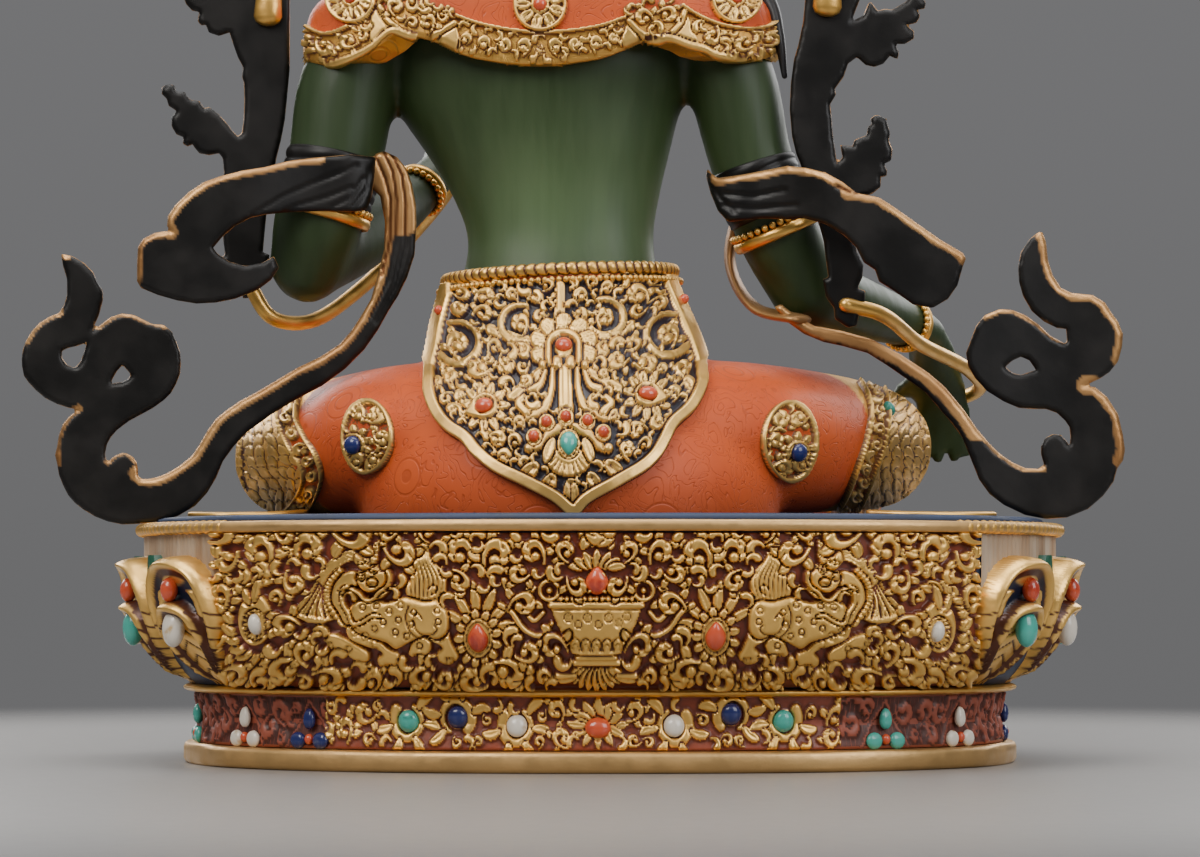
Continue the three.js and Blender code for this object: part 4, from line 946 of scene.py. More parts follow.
    def etch(self, points, wide=0.8, deep=0.35):
        """A fine engraved line"""
        points = np.asarray(points, float)
        rows, columns, X, Y = self.window(points.min(0) - 3 * wide, points.max(0) + 3 * wide)
        if self.h[rows, columns].size == 0:
            return
        far = line_distance(X, Y, points)
        self.h[rows, columns] -= deep * np.exp(-((far / wide) ** 2)) * (self.h[rows, columns] > 0.2)

    def spoke(self, x, y, near, far, turns, wide, deep):
        """An engraved line between two distances from a middle, at a turn for each"""
        ends = [(x + r * math.cos(a), y + r * math.sin(a)) for r, a in zip((near, far), turns)]
        self.etch(ends, wide, deep)

    def fill(self, sizes, keep, seed, mirror=None, tight=0.80):
        """Packs curls, large before small, into what is still free inside keep(x, y)"""
        random = np.random.default_rng(seed)
        X, Y = np.meshgrid(self.x, self.y)
        self.used |= ~keep(X, Y)
        for size in sizes:
            step = max(int(size * 0.30 / self.cell), 1)
            rows, columns = np.arange(0, len(self.y), step), np.arange(0, len(self.x), step)
            spots = np.stack(np.meshgrid(rows, columns, indexing="ij"), -1).reshape(-1, 2)
            random.shuffle(spots)
            reach = max(int(size * tight / self.cell), 1)
            for i, j in spots:
                if self.used[i, j]:
                    continue
                box = self.used[max(i - reach, 0) : i + reach + 1, max(j - reach, 0) : j + reach + 1]
                if box.mean() > 0.05:
                    continue
                x, y = self.x[j], self.y[i]
                angle, hand = random.uniform(0, 2 * np.pi), random.choice([-1, 1])
                for side in ((1, -1) if mirror is not None else (1,)):
                    at = x if side > 0 else 2 * mirror - x
                    turn = angle if side > 0 else np.pi - angle
                    if size > 4.5 * self.gap:
                        self.spiral(at, y, size, turn, hand * side, 1.0 + 0.1 * math.sin(x), lobes=3)
                    else:
                        self.comma(at, y, size * 1.3, turn, hand * side)

    def masks(self, soft):
        """Painted shade for the crevices and the low parts, and the painted ground, 0 to 1"""
        h = self.h
        # Painted shade: deeper than the blurred surface, or low, means darker
        cavity = np.clip((blurred(h, soft) - h) * 2.4 + np.clip(0.16 - h, 0, 1) * 3.0, 0, 1)
        return {"cavity": cavity, "ground": smooth((0.20 - h) / 0.12)}


def normals(base, outward):
    """Unit normals of a grid of points, on the side that outward points to"""
    normal = unit(np.cross(np.gradient(base, axis=1), np.gradient(base, axis=0)))
    return normal * np.where((normal * outward).sum(-1) < 0, -1, 1)[..., None]


def raised(base, relief, proud, soft, sink=1.0, keep=True, outward=(0, 1, 0)):
    """The sheet of a relief on a grid of base points, with its border sunk into what carries it"""
    keep = keep & np.isfinite(base[..., 0])
    rim = ~keep
    rim[[0, -1]] = rim[:, [0, -1]] = True
    high = np.where(rim, -sink, relief.h * proud)
    points = (base + normals(base, outward) * high[..., None]).reshape(-1, 3)
    quads = grid_quads(*high.shape)
    quads = quads[keep.ravel()[quads].any(1) & np.isfinite(points[quads].sum((1, 2)))]
    used, corners = np.unique(quads, return_inverse=True)
    # The relief's painted shade and painted ground, for the points kept
    masks = {name: values.ravel()[used] for name, values in relief.masks(soft).items()}
    return Shape(points[used], corners.reshape(-1, 4), **masks)


def carried(relief, tree, soften=2.0, lift=0.0, keep=None):
    """Where the rays through a relief's pixels meet what carries it"""
    X, Y = np.meshgrid(relief.x, relief.y)
    d = rays(X, Y)
    far = np.full(X.shape, np.nan)
    wanted = np.ones(X.shape, bool) if keep is None else keep
    for i, j in zip(*np.nonzero(wanted)):
        hit = tree.ray_cast(EYE.tolist(), d[i, j].tolist())
        if hit[0] is not None:
            far[i, j] = hit[3]
    known = np.isfinite(far)
    filled = np.where(known, far, 0.0)
    weight = blurred(known.astype(float), soften)
    far = np.where(known, blurred(filled, soften) / np.maximum(weight, 1e-6), np.nan)
    return EYE + d * (far - lift)[..., None]


def lay(name, relief, tree, material, proud, sink, soften=2.0, lift=0.0, keep=True, wanted=None):
    """Lays a relief of the back view on what carries it"""
    base = carried(relief, tree, soften, lift, wanted)
    make(name, raised(base, relief, proud, 2.0, sink, keep), material, "gilt_gold")


# Scarves, stalks and crown leaves: boards cut to an outline
def two_sided(kept, front, back):
    """Points and quads of a board with walls round it, and which of the front's and back's points it uses"""
    n = len(front)
    pairs = np.concatenate([kept[:, [0, 1]], kept[:, [1, 2]], kept[:, [2, 3]], kept[:, [3, 0]]])
    _, first, count = np.unique(np.sort(pairs, 1) @ [n, 1], return_index=True, return_counts=True)
    lone = pairs[first[count == 1]]
    walls = np.stack([lone[:, 1], lone[:, 0], lone[:, 0] + n, lone[:, 1] + n], 1)
    used, corners = np.unique(np.vstack([kept, kept[:, ::-1] + n, walls]), return_inverse=True)
    return np.vstack([front, back])[used], corners.reshape(-1, 4), used


BOARD_CELL, BOARD_ROUNDING, BOARD_MIDDLE = 2.4, 4.0, 15.0


def plate(outline, depth, half=1.45, holes=(), worn=(), folds=()):
    """A cut-out board seen from behind: outline in pixels, its middle at a depth read from x"""
    outline = np.array(outline, float)
    low, high = outline.min(0) - 3, outline.max(0) + 3
    X, Y = np.meshgrid(np.arange(low[0], high[0], BOARD_CELL), np.arange(low[1], high[1], BOARD_CELL))
    far = inside_polygon(X, Y, outline)[1]
    for hole in holes:
        far = np.minimum(far, -inside_polygon(X, Y, hole)[1])
    keep = far > -0.5 * BOARD_CELL
    down, across = np.gradient(far, BOARD_CELL)
    size = np.maximum(np.hypot(across, down), 0.3)
    quads = grid_quads(*X.shape)
    kept = quads[keep.ravel()[quads].all(1)]
    shared = np.bincount(kept.ravel(), minlength=X.size).reshape(X.shape)
    near = (shared > 0) & (shared < 4) & (np.abs(far) < 1.3 * BOARD_CELL)
    gx, gy = across / size, down / size
    X, Y = X - np.where(near, far * gx, 0), Y - np.where(near, far * gy, 0)
    inner = np.where(near, 0, np.maximum(far, 0))
    thick = half * (0.30 + 0.70 * np.sqrt(1 - (1 - np.clip(inner / BOARD_ROUNDING, 0, 1)) ** 2))
    gold = np.zeros(X.shape)
    for line, wide in worn:
        jitter = 0.45 * np.sin(X * 0.17 + Y * 0.13) + 0.35 * np.sin(X * 0.05 - Y * 0.21)
        gold = np.maximum(gold, smooth((wide + jitter - line_distance(X, Y, line)) / 1.6 + 0.5))
    cut = np.zeros(X.shape)
    for line in folds:
        cut = np.maximum(cut, np.exp(-((line_distance(X, Y, line) / 1.7) ** 2)))
    x = at_depth(X, Y, BOARD_MIDDLE)[..., 0]
    y = depth(x)
    front = at_depth(X, Y, y + thick - 0.75 * cut)
    back = at_depth(X, Y, y - thick)
    points, quads, used = two_sided(kept, front.reshape(-1, 3), back.reshape(-1, 3))
    edge = smooth((2.4 - inner) / 2.4)
    # Painted shade: on the near face the cavity mask darkens the gilding along the folds; on the far face it
    # follows the gold lines, which darken all over
    masks = {
        name: np.concatenate([on_front.ravel(), on_back.ravel()])[used]
        for name, on_front, on_back in (("edge", edge, edge), ("gold", gold, gold), ("cavity", cut, gold))
    }
    return Shape(points, quads, **masks)


# Outlines of scarves and stalks in pixels of the back view
LEFT_LOOP = [
    (376, 157), (350, 154.5), (311, 158), (288, 161), (265, 167), (242, 170.6), (221, 176), (204, 182),
    (189, 192), (175.5, 205), (168, 216), (167, 226), (171, 232), (166, 231), (154.4, 233), (143, 239),
    (138, 247), (137, 264), (137, 281), (141, 288), (158, 295), (177.4, 300.5), (196.5, 303.6),
    (215.7, 302.6), (235, 298.8), (257.7, 290), (271, 280), (279, 268), (274, 256), (262, 263), (246, 266),
    (230, 262), (218, 254), (213, 248), (223, 236), (235, 226), (250, 218), (265, 214.6), (292, 212),
    (330, 211), (352, 212), (367, 210), (372, 196), (374, 180),
]
LEFT_TAIL = [
    (61, 254), (72, 256), (84, 263), (93, 272), (97.5, 282), (103, 291), (103, 300), (99, 315), (92, 331),
    (98, 327), (111, 317), (122, 313.5), (134, 315), (146, 321), (152, 324), (164, 325), (172, 332),
    (176, 341), (180, 352), (181, 362), (180, 374), (176, 384), (171, 393), (164, 400), (153, 408),
    (142, 414), (129, 421), (117, 430), (111, 437), (107, 444), (105, 454), (106, 459), (109, 462),
    (112, 458), (117, 455), (122, 453), (127, 453.5), (133, 457), (137, 463), (138, 470), (138, 476),
    (142, 479), (149, 479), (158, 477), (168, 473), (181, 465), (192, 456), (200, 444), (208, 430),
    (216, 419), (227, 410), (240, 401), (257, 392), (277, 380), (297, 368), (320, 357), (340, 344),
    (352, 330), (361, 316), (371, 299), (378, 274), (384, 250), (385, 222), (380, 196), (369, 186),
    (366, 170), (372, 155), (384, 151), (397, 157), (406, 168), (412, 184), (416, 205), (416.5, 226),
    (414.6, 255), (407, 278), (398, 296), (388, 312), (378, 330), (364, 350), (345, 369), (322, 386),
    (297, 399), (272, 414), (247, 432), (234, 446), (223, 461), (216, 478), (207, 493), (195, 506),
    (178, 516), (163, 521), (148, 523), (135, 524), (122, 524.5), (108, 521.5), (95, 516.5), (84, 510),
    (75, 503), (68, 495), (63, 485), (59, 475), (57, 463), (55, 455), (57, 447), (59, 435), (63, 424),
    (70, 416), (79, 409.5), (69, 408), (57, 404), (45, 398), (35.6, 390), (29, 383), (24, 376), (22, 366),
    (21.7, 358), (23, 349), (26, 341), (32, 331), (39.5, 323), (49, 317), (59, 313), (64, 305), (67, 295),
    (67, 287), (67, 279), (63, 266),
]
RIGHT_LOOP = [
    (707, 168), (712, 174), (718, 178), (743, 174.4), (768, 169.7), (787, 165.8), (806, 167.7),
    (825.4, 172.5), (842.6, 182), (856, 192.5), (860, 193.6), (879, 197.4), (894, 207), (915, 222),
    (940, 239.5), (963, 253), (966, 258.6), (963, 266), (957.4, 285.4), (948, 299), (932.5, 308),
    (913, 304.5), (894, 291), (879, 281.6), (875, 270), (863.7, 262.4), (856, 247), (844.5, 235.7),
    (825.4, 224), (804.4, 218.4), (787, 219.4), (762, 218.4), (743, 220.4), (728, 222), (718, 211),
    (710.6, 193.6), (706, 176),
]
RIGHT_TAIL = [
    (1042, 231), (1037, 233), (1029.5, 239.5), (1021, 252), (1018, 267), (1019, 281.6), (1023, 296),
    (1031.6, 311), (1044, 321.6), (1057, 328), (1066, 329), (1067, 340.5), (1065, 343.7), (1050.5, 336),
    (1038, 324), (1025, 315), (1012.6, 310), (1000, 309), (985, 315), (976, 326), (970.5, 340.5),
    (966, 353), (968, 366), (975, 378), (987, 391), (1004, 401.6), (1019, 408), (1034, 409), (1046, 409),
    (1057, 413), (1065, 420.5), (1069.5, 427), (1070.5, 437), (1069.5, 447), (1067, 441.6), (1061, 435),
    (1052.6, 434), (1045, 438.4), (1041, 446), (1041, 454), (1044, 464.7), (1038, 469), (1025, 468),
    (1012.6, 462.6), (1000, 454), (989.5, 443.7), (977, 429), (964, 410), (945, 387), (928.7, 373),
    (900, 354), (871, 339), (842.6, 331), (814, 325.6), (795, 315), (781, 304), (774, 307), (787, 321.7),
    (804, 334), (823.5, 342), (842.6, 346), (867.5, 353), (886.6, 365), (909.6, 381), (925, 392),
    (937, 406), (949.5, 420.5), (962, 437), (970.5, 458), (979, 479.5), (989.5, 494), (1004, 505),
    (1025, 515), (1046, 519), (1067, 517.5), (1088, 509), (1103, 496), (1113.7, 481.6), (1117, 469),
    (1119, 466), (1123, 460.5), (1125, 450), (1123, 435), (1118, 414), (1107, 397), (1095, 387),
    (1084, 386), (1101, 378), (1109.5, 372), (1118, 361.6), (1122, 347), (1123, 334), (1118, 321.6),
    (1111.6, 313), (1105, 302.6), (1092.6, 295), (1071.6, 293), (1061, 288), (1052.6, 275), (1048, 260.5),
    (1046, 241.6),
]
LEFT_STALK = [
    (290, -34), (290, 0), (289.7, 40), (289.7, 69), (287, 99), (285, 119), (281.4, 138.5), (276.5, 158),
    (271, 190), (266.6, 213.6), (264.6, 233), (263, 252), (269.5, 255), (268.6, 267), (265.6, 281),
    (258.7, 289.8), (260, 297), (243, 298.5), (242, 292.7), (233, 286.8), (227, 277), (219, 267),
    (217, 259), (225, 255), (223, 237), (222, 200), (224, 172), (222.7, 158), (219, 153.3), (209, 155.3),
    (199.3, 153.3), (194.4, 147.3), (192.4, 144.4), (187.5, 146.8), (182.5, 143.4), (184, 137.5),
    (176.6, 134.5), (171.6, 126.6), (171.6, 116.7), (176.6, 111), (168.7, 105.8), (166.7, 98.9),
    (161.8, 94), (162, 87), (167.7, 84), (174.6, 85.4), (176, 91.4), (184.5, 92), (190.4, 99.9),
    (199.3, 100.9), (204.3, 108.4), (209, 106.8), (219, 114.7), (227, 123.6), (233, 131.5), (238, 136.5),
    (242, 132.5), (243.8, 118.7), (244.4, 98.9), (243.8, 82), (241.9, 77), (243, 67), (237.9, 57.4),
    (233, 43.5), (229.4, 32.6), (219, 36), (209, 32.6), (205.7, 24.7), (201.3, 25.7), (197.4, 20.8),
    (199.3, 11.9), (192.4, 10.9), (186, 4), (183, -4), (176, -10), (176, -20), (169, -26), (170, -36),
    (178, -40), (184, -36), (188, -42), (196, -42), (201, -35), (208, -36), (214, -28), (222, -26),
    (230, -18), (236, -12), (237, -34),
]
RIGHT_STALK = [
    (805, -34), (805, 0), (803, 22), (798.5, 44), (794, 59.4), (790.8, 83.6), (789.7, 110), (792, 136.4),
    (796.3, 154), (800.7, 165), (810, 195), (818.3, 222), (823.8, 242), (827, 268.5), (828.2, 277),
    (822.7, 279.5), (826, 297), (833.7, 308), (834.8, 319), (848, 328), (856.8, 325.7), (859, 314.7),
    (864.5, 310.3), (865.2, 299), (865.2, 290.5), (857.5, 288.3), (862.3, 277.3), (863.4, 265),
    (856.8, 251), (852, 225), (848, 200), (872.2, 194), (880.6, 187), (881, 177.2), (886.5, 176),
    (887.2, 170.6), (883.7, 164), (891, 160.7), (892.5, 149.6), (888.7, 140.8), (890.3, 132), (888, 126.5),
    (886.5, 118.8), (876.6, 114.4), (870, 118.8), (872.2, 124.3), (867.8, 126.5), (866.7, 135.3),
    (854.6, 139.7), (852.4, 146.3), (840.3, 145), (842.5, 157.4), (837, 163.5), (832.6, 132), (830.9, 110),
    (830, 104.5), (836, 94.6), (834.8, 89), (843.6, 77), (848, 63.8), (856.8, 57.2), (865.6, 65),
    (874.4, 67), (883.2, 63.8), (889.8, 56), (897.5, 59.4), (899, 52.8), (895.3, 44), (905, 44),
    (914, 38.5), (914, 30.8), (906.3, 25.3), (916.3, 23), (920.7, 15.4), (916.7, 9.9), (924.6, 8.8),
    (926, 2.2), (921, -4), (912, -6), (905, 2.2), (892, 9.9), (885.4, 8.8), (877.7, 11), (875.5, 7.7),
    (870, 1), (867.8, 4.4), (863.4, 15.4), (851.3, 21.6), (855, 12), (866, -16), (872, -34), (866, -42),
    (858, -38), (852, -30), (850, -34),
]
# Gilded lines with their widths, pleats and holes of the scarves, in pixels
LEFT_LOOP_GOLD = [
    ([(318, 156.5), (288, 160), (265, 166), (242, 169.6), (221, 175), (204, 181), (189, 191), (175.5, 204),
      (167, 216), (166, 226), (171, 232)], 7.0),
    ([(171, 231), (154, 232), (143, 238), (137, 247), (136, 264), (136, 281)], 5.5),
]
LEFT_LOOP_FOLDS = [
    [(357, 165), (340, 173), (311, 184), (284, 196), (252, 215)],
    [(352, 187), (327, 197), (302, 204), (284, 211)], [(364, 178), (350, 198), (330, 208)],
    [(371, 168), (366, 190), (352, 208)],
]
LEFT_TAIL_HOLES = [
    [(87, 342.5), (84, 352), (81, 361), (75, 368), (67, 365), (62, 358), (62, 351), (68, 348), (77, 346)],
    [(122.6, 365), (127, 370), (131.5, 375), (128, 379), (122, 382), (115, 383), (110, 384.5), (113, 378),
      (117, 371)],
]
LEFT_TAIL_GOLD = [
    ([(138, 474), (142, 478), (149, 478), (158, 476), (168, 472), (181, 464), (192, 455), (200, 443),
      (208, 429), (216, 418), (227, 409), (240, 400), (257, 391), (277, 379), (297, 367), (320, 356),
      (340, 343), (352, 329), (361, 315), (371, 298), (378, 273), (384, 249), (386, 228)], 8.0),
    ([(390, 150), (398, 180), (401, 200), (400, 209)], 27.0),
    ([(397, 209), (408, 214)], 13.0),
    ([(26, 341), (32, 330), (39.5, 322), (49, 316), (59, 312)], 4.0),
    ([(98, 326), (111, 316), (122, 312.5), (134, 314), (146, 320), (164, 324)], 3.5),
    ([(57, 463), (56, 447), (62, 424), (70, 415), (79, 408.5)], 3.5),
    ([(61, 253), (66, 256)], 4.0),
    ([(108, 462), (117, 454), (127, 452.5), (137, 462)], 2.5),
]
LEFT_TAIL_FOLDS = [
    [(384, 152), (393, 172), (397, 200), (396, 240), (388, 280), (370, 318)],
    [(392, 154), (402, 175), (406, 205), (405, 245), (396, 285), (376, 322)],
    [(376, 156), (386, 180), (391, 200), (390, 240), (382, 275)],
]
RIGHT_LOOP_GOLD = [
    ([(718, 177), (743, 173.4), (768, 168.7), (787, 164.8), (806, 166.7), (825.4, 171.5), (842.6, 181),
      (854, 190)], 8.0),
    ([(848, 192), (860, 192.6), (879, 196.4), (894, 206), (915, 221), (940, 238.5), (963, 252),
      (966, 259)], 7.5),
]
RIGHT_LOOP_FOLDS = [
    [(724, 193.6), (752.7, 196.4), (785, 190)], [(722, 206), (756.5, 209), (797, 205)],
    [(712, 186), (722, 200), (735, 212)], [(856, 193), (846, 190), (838, 186)],
]
RIGHT_TAIL_HOLES = [
    [(1005, 367), (1012.6, 360.5), (1021, 356.7), (1029.5, 360.5), (1036, 370), (1029.5, 372), (1021, 375),
      (1012.6, 373)],
]
RIGHT_TAIL_GOLD = [
    ([(1043, 230), (1047, 241.6), (1049, 260.5), (1053.6, 274), (1062, 287), (1072, 292), (1093, 294),
      (1106, 301.6), (1112, 312)], 8.0),
    ([(1112, 312), (1119, 321.6), (1124, 334), (1123, 347), (1119, 360)], 7.5),
    ([(1086, 385), (1095, 386), (1108, 396), (1119, 413), (1124, 435), (1126, 450), (1122, 460)], 9.0),
    ([(781, 305), (814, 326), (842.6, 332), (871, 340), (900, 355), (928.7, 374), (945, 388), (964, 411),
      (977, 430)], 11.0),
    ([(977, 428), (989.5, 442.7), (1000, 453), (1012.6, 461.6), (1025, 467), (1042, 468)], 4.0),
    ([(985, 314), (1000, 308), (1012.6, 309), (1025, 314), (1038, 322), (1060, 338)], 4.5),
]


def tail_depth(near):
    """Behind the figure, and a little nearer to the front at the sides"""

    def depth(x):
        return near - 5 * smooth((np.abs(x) - 90) / 60)

    return depth


def loop_depth(left):
    """Close round the back of the arm, then out to the side"""
    cx, cy, r = (81.5, 9.5, 16.9) if left else (-46.0, 9.0, 15.4)
    swing = 6.0 if left else 14.0
    turn = 1 if left else -1

    def depth(x):
        off = turn * (x - cx)
        round_arm = cy + np.sqrt(np.maximum(r * r - np.minimum(off, 0) ** 2, (0.25 * r) ** 2))
        return np.where(off < 0, round_arm, cy + r + swing * smooth(off / 34))

    return depth


def wrap(knots, low, high):
    """The scarf's turn round an arm, with low soft pleats"""
    rows = limb_rows(knots)
    t = np.linspace(low, high, 41)
    centre, radii = centripetal(rows[:, :3], t), centripetal(rows[:, 3:], t)
    tangent = unit(np.gradient(centre, axis=0))
    u = unit(np.array([1.0, 0, 0]) - tangent * tangent[:, :1])
    v = np.cross(tangent, u)
    angle = around(120)
    share = np.linspace(0, 1, 41)[:, None]
    lean = share * (1 + 0.16 * np.sin(angle - 1.0)) + 0.05 * np.sin(angle * 2)
    pleats = 0.45 * np.abs(np.sin(lean * np.pi * 5)) ** 0.8
    grow = ((0.25 + pleats) * np.sqrt(np.clip(1 - (2 * share - 1) ** 8, 0, 1)))[..., None]
    rings = centre[:, None] + u[:, None] * np.cos(angle)[:, None] * (radii[:, None, :1] + grow)
    return loft(rings + v[:, None] * np.sin(angle)[:, None] * (radii[:, None, 1:] + grow))


def build_scarf(left):
    side = "left" if left else "right"
    tail = tail_depth(17 if left else 18)
    if left:
        parts = [plate(LEFT_LOOP, loop_depth(True), worn=LEFT_LOOP_GOLD, folds=LEFT_LOOP_FOLDS),
                 plate(LEFT_TAIL, tail, holes=LEFT_TAIL_HOLES, worn=LEFT_TAIL_GOLD, folds=LEFT_TAIL_FOLDS)]
    else:
        parts = [plate(RIGHT_LOOP, loop_depth(False), worn=RIGHT_LOOP_GOLD, folds=RIGHT_LOOP_FOLDS),
                 plate(RIGHT_TAIL, tail, holes=RIGHT_TAIL_HOLES, worn=RIGHT_TAIL_GOLD)]
        link = sweep([[-45, -2, 177, 5, 1.8], [-41, -7, 157, 5, 1.8], [-48, 6, 141, 5, 1.8],
                      [-62, 18.8, 136, 5, 1.6]], side=(0, -1, 0.2))
        link.masks = {"gold": np.full(len(link.points), 0.7)}
        parts.append(link)
    parts.append(wrap(LEFT_ARM, 0.49, 0.68) if left else wrap(RIGHT_ARM, 0.52, 0.68))
    make("scarf_" + side + "_cloth", merged(parts), LACQUER, "black_lacquer", "scarf_" + side)


def tube(points, radius):
    return sweep([[*p, radius] for p in points], per=8, sides=12)


# Lotuses beside the shoulders
BLOSSOM_RADIUS, BLOSSOM_HIGH = 19, 34
BLOSSOM_RINGS = [(8, 0.62, 1.0, 0.42), (8, 0.40, 1.0, 0.40), (6, 0.20, 0.92, 0.40)]


def blossom(x, y, z):
    """An open flower: rings of cupped petals round a seed head"""
    shapes = []
    for ring, (count, lean, long, wide) in enumerate(BLOSSOM_RINGS):
        for k in range(count):
            a = 2 * np.pi * (k + 0.5 * ring) / count
            v = np.linspace(0, 1, 11)[:, None]
            u = np.linspace(-1, 1, 9)[None, :]
            wide_at = wide * BLOSSOM_RADIUS * np.sin(np.pi * (0.10 + 0.86 * v) ** 0.9) * u
            out = BLOSSOM_RADIUS * (0.18 + (0.30 + lean) * v ** 0.8 - 0.10
                                    * v**4) - 0.25 * np.abs(wide_at) ** 1.5 / 3
            up = z + BLOSSOM_HIGH * long * v * (1 - 0.12 * lean * v) + 0 * u
            px = x + out * math.cos(a) - wide_at * math.sin(a)
            py = y + out * math.sin(a) + wide_at * math.cos(a)
            outer = np.stack([px, py, up], -1)
            inner = outer - np.array([math.cos(a), math.sin(a), -0.2]) * 0.9
            # Painted shade towards the heart of the flower and down each petal's middle
            cavity = np.clip(1 - v, 0, 1) ** 2 * 0.8 + 0.5 * np.exp(-((u / 0.16) ** 2)) * (v > 0.15)
            shapes.append(cupped(outer, inner, cavity))
    rows = [[z - 4, x, y, 3, 3], [z, x, y, 5, 5], [
        z + BLOSSOM_HIGH * 0.55, x, y, BLOSSOM_RADIUS * 0.32,
        BLOSSOM_RADIUS * 0.32], [z + BLOSSOM_HIGH * 0.7, x, y, BLOSSOM_RADIUS * 0.30,
                                 BLOSSOM_RADIUS * 0.30], [z + BLOSSOM_HIGH * 0.72, x, y, 1, 1]]
    shapes.append(trunk(rows, levels=20, sides=24))
    return merged(shapes)


def build_lotus(left):
    side = "left" if left else "right"
    base = 6.0 if left else 24.0

    def depth(x):
        return base - 1.2 + 0 * x

    body = plate(LEFT_STALK if left else RIGHT_STALK, depth, half=1.5)
    make("stalk_" + side, body, LACQUER, "black_lacquer", "lotus_" + side)
    if left:
        stem = [[109, 7, 147], [103, 6, 138], [92, -4, 137], [76, -24, 150], [62, -44, 168], [50, -62, 186],
                [41, -68, 204]]
    else:
        stem = [[-75.5, 25, 140], [-86, 19, 138], [-101, -12, 131], [-121, -52, 125], [-127, -76, 120],
                [-118, -89, 116]]
    x = 104 if left else -70
    neck = [[x, base + 1, 232, 4.5, 3], [x - 1, base, 254, 3, 3], [x - 2, base - 4, 274, 3, 3]]
    make("stem_" + side, merged([tube(stem, 2.3), sweep(neck)]), GOLD, "gilt_gold")
    make("blossom_" + side, blossom(x - 2, base - 4, 270), GOLD, "gilt_gold")


# Throne
def build_throne():
    # Foot drum and ridge
    z = np.linspace(DRUM_BASE, DRUM_TOP, 10)
    drum = [[i, h] for i, h in zip(drum_inset(z), z)]
    turn = np.linspace(-90, 90, 9)
    ridge = [[DRUM_INSET - 4 * math.cos(math.radians(a)), DRUM_TOP + 1.3 + 1.3 * math.sin(math.radians(a))]
             for a in turn]
    z = np.linspace(BOWL_BASE, BOWL_TOP, 14)
    bowl = [[i, h] for i, h in zip(bowl_inset(z), z)]
    s = swept([[60, DRUM_BASE], *drum])
    make("drum_wall", loft(s, caps=False), BRICK, "red_paint")
    make("ridge", loft(swept([[20, DRUM_TOP], *ridge, [20, BOWL_BASE]]), caps=False), GOLD, "gilt_gold")
    make("bowl_wall", loft(swept([[20, BOWL_BASE], *bowl, [20, BOWL_TOP]]), caps=False), BLUE, "blue_paint",
         "lotus_throne")
    # Rim band and seat
    rim = [[8, BOWL_TOP], [0.8, BOWL_TOP], [0.15, BOWL_TOP + 0.5], [0, BOWL_TOP + 1.6], [0.15, RIM_TOP - 0.5],
           [0.8, RIM_TOP], [7.5, RIM_TOP]]
    make("rim", loft(swept(rim), caps=False), PALE, "pale_gold")
    seat = [[6.2, RIM_TOP - 0.2], [6.0, RIM_TOP + 0.6], [6.6, SEAT_TOP - 0.4], [8, SEAT_TOP],
            [60, SEAT_TOP], [105, SEAT_TOP]]
    make("seat", loft(swept(seat)), BLUE, "blue_paint")
    # Base plate with a hand-made edge
    s = ALL_ROUND
    rows = [
        [100, 0], [PLATE_INSET + 1.4, 0], [PLATE_INSET + 0.5, 0.4], [PLATE_INSET, 1.4], [PLATE_INSET, 4.8],
        [PLATE_INSET + 0.4, 5.8], [PLATE_INSET + 1.2, PLATE_TOP], [100, PLATE_TOP]]
    slab = swept(rows, s=s)
    wave = 0.35 * np.sin(s / 37) + 0.25 * np.sin(s / 16 + 1) + 0.15 * np.sin(s / 7.3 + 2)
    outward = unit(slab[3, :, :2])
    slab[2:6, :, :2] -= outward[None] * np.abs(wave)[None, :, None]
    make("plate", loft(slab), PALE, "pale_gold", "base_plate")


# Head, tilted about the top of the neck
NECK_TOP = np.array([14.5, 6, 262.0])
HEAD_TILT = math.radians(4)
HEAD_X = 14
SKULL = [
    [262, HEAD_X, -12, 4, 4], [264.5, HEAD_X, -14, 7, 6.5], [268, HEAD_X, -12.5, 11.5, 11.5],
    [272, HEAD_X, -10, 15.5, 15], [282, HEAD_X, -6, 20.5, 20.5], [291, HEAD_X, -4, 22.5, 23.5],
    [301, HEAD_X, -2.5, 23.5, 25], [311, HEAD_X, -1.5, 23.5, 26], [320, HEAD_X, -1, 20, 22],
    [327, HEAD_X, -1, 12, 14],
]
HAIR_CAP = [
    [281, HEAD_X, 14, 15, 11], [290, HEAD_X, 11, 22, 17.5], [302, HEAD_X, 8.5, 25.3, 22],
    [314, HEAD_X, 5, 25.2, 25.5], [325, HEAD_X, 1, 20, 22], [333, HEAD_X, 1, 12, 13],
    [347, HEAD_X, 3, 15, 15], [362, HEAD_X, 3, 13, 13], [379, HEAD_X, 3, 6, 6],
]


def tilted(shape):
    """Leans what belongs to the head"""
    p = shape.points - NECK_TOP
    c, s = math.cos(HEAD_TILT), math.sin(HEAD_TILT)
    shape.points = np.stack([p[:, 0] * c - p[:, 2] * s, p[:, 1], p[:, 0] * s + p[:, 2] * c], 1) + NECK_TOP
    return shape


EYE_X, EYE_Z = 8.8, 297.0


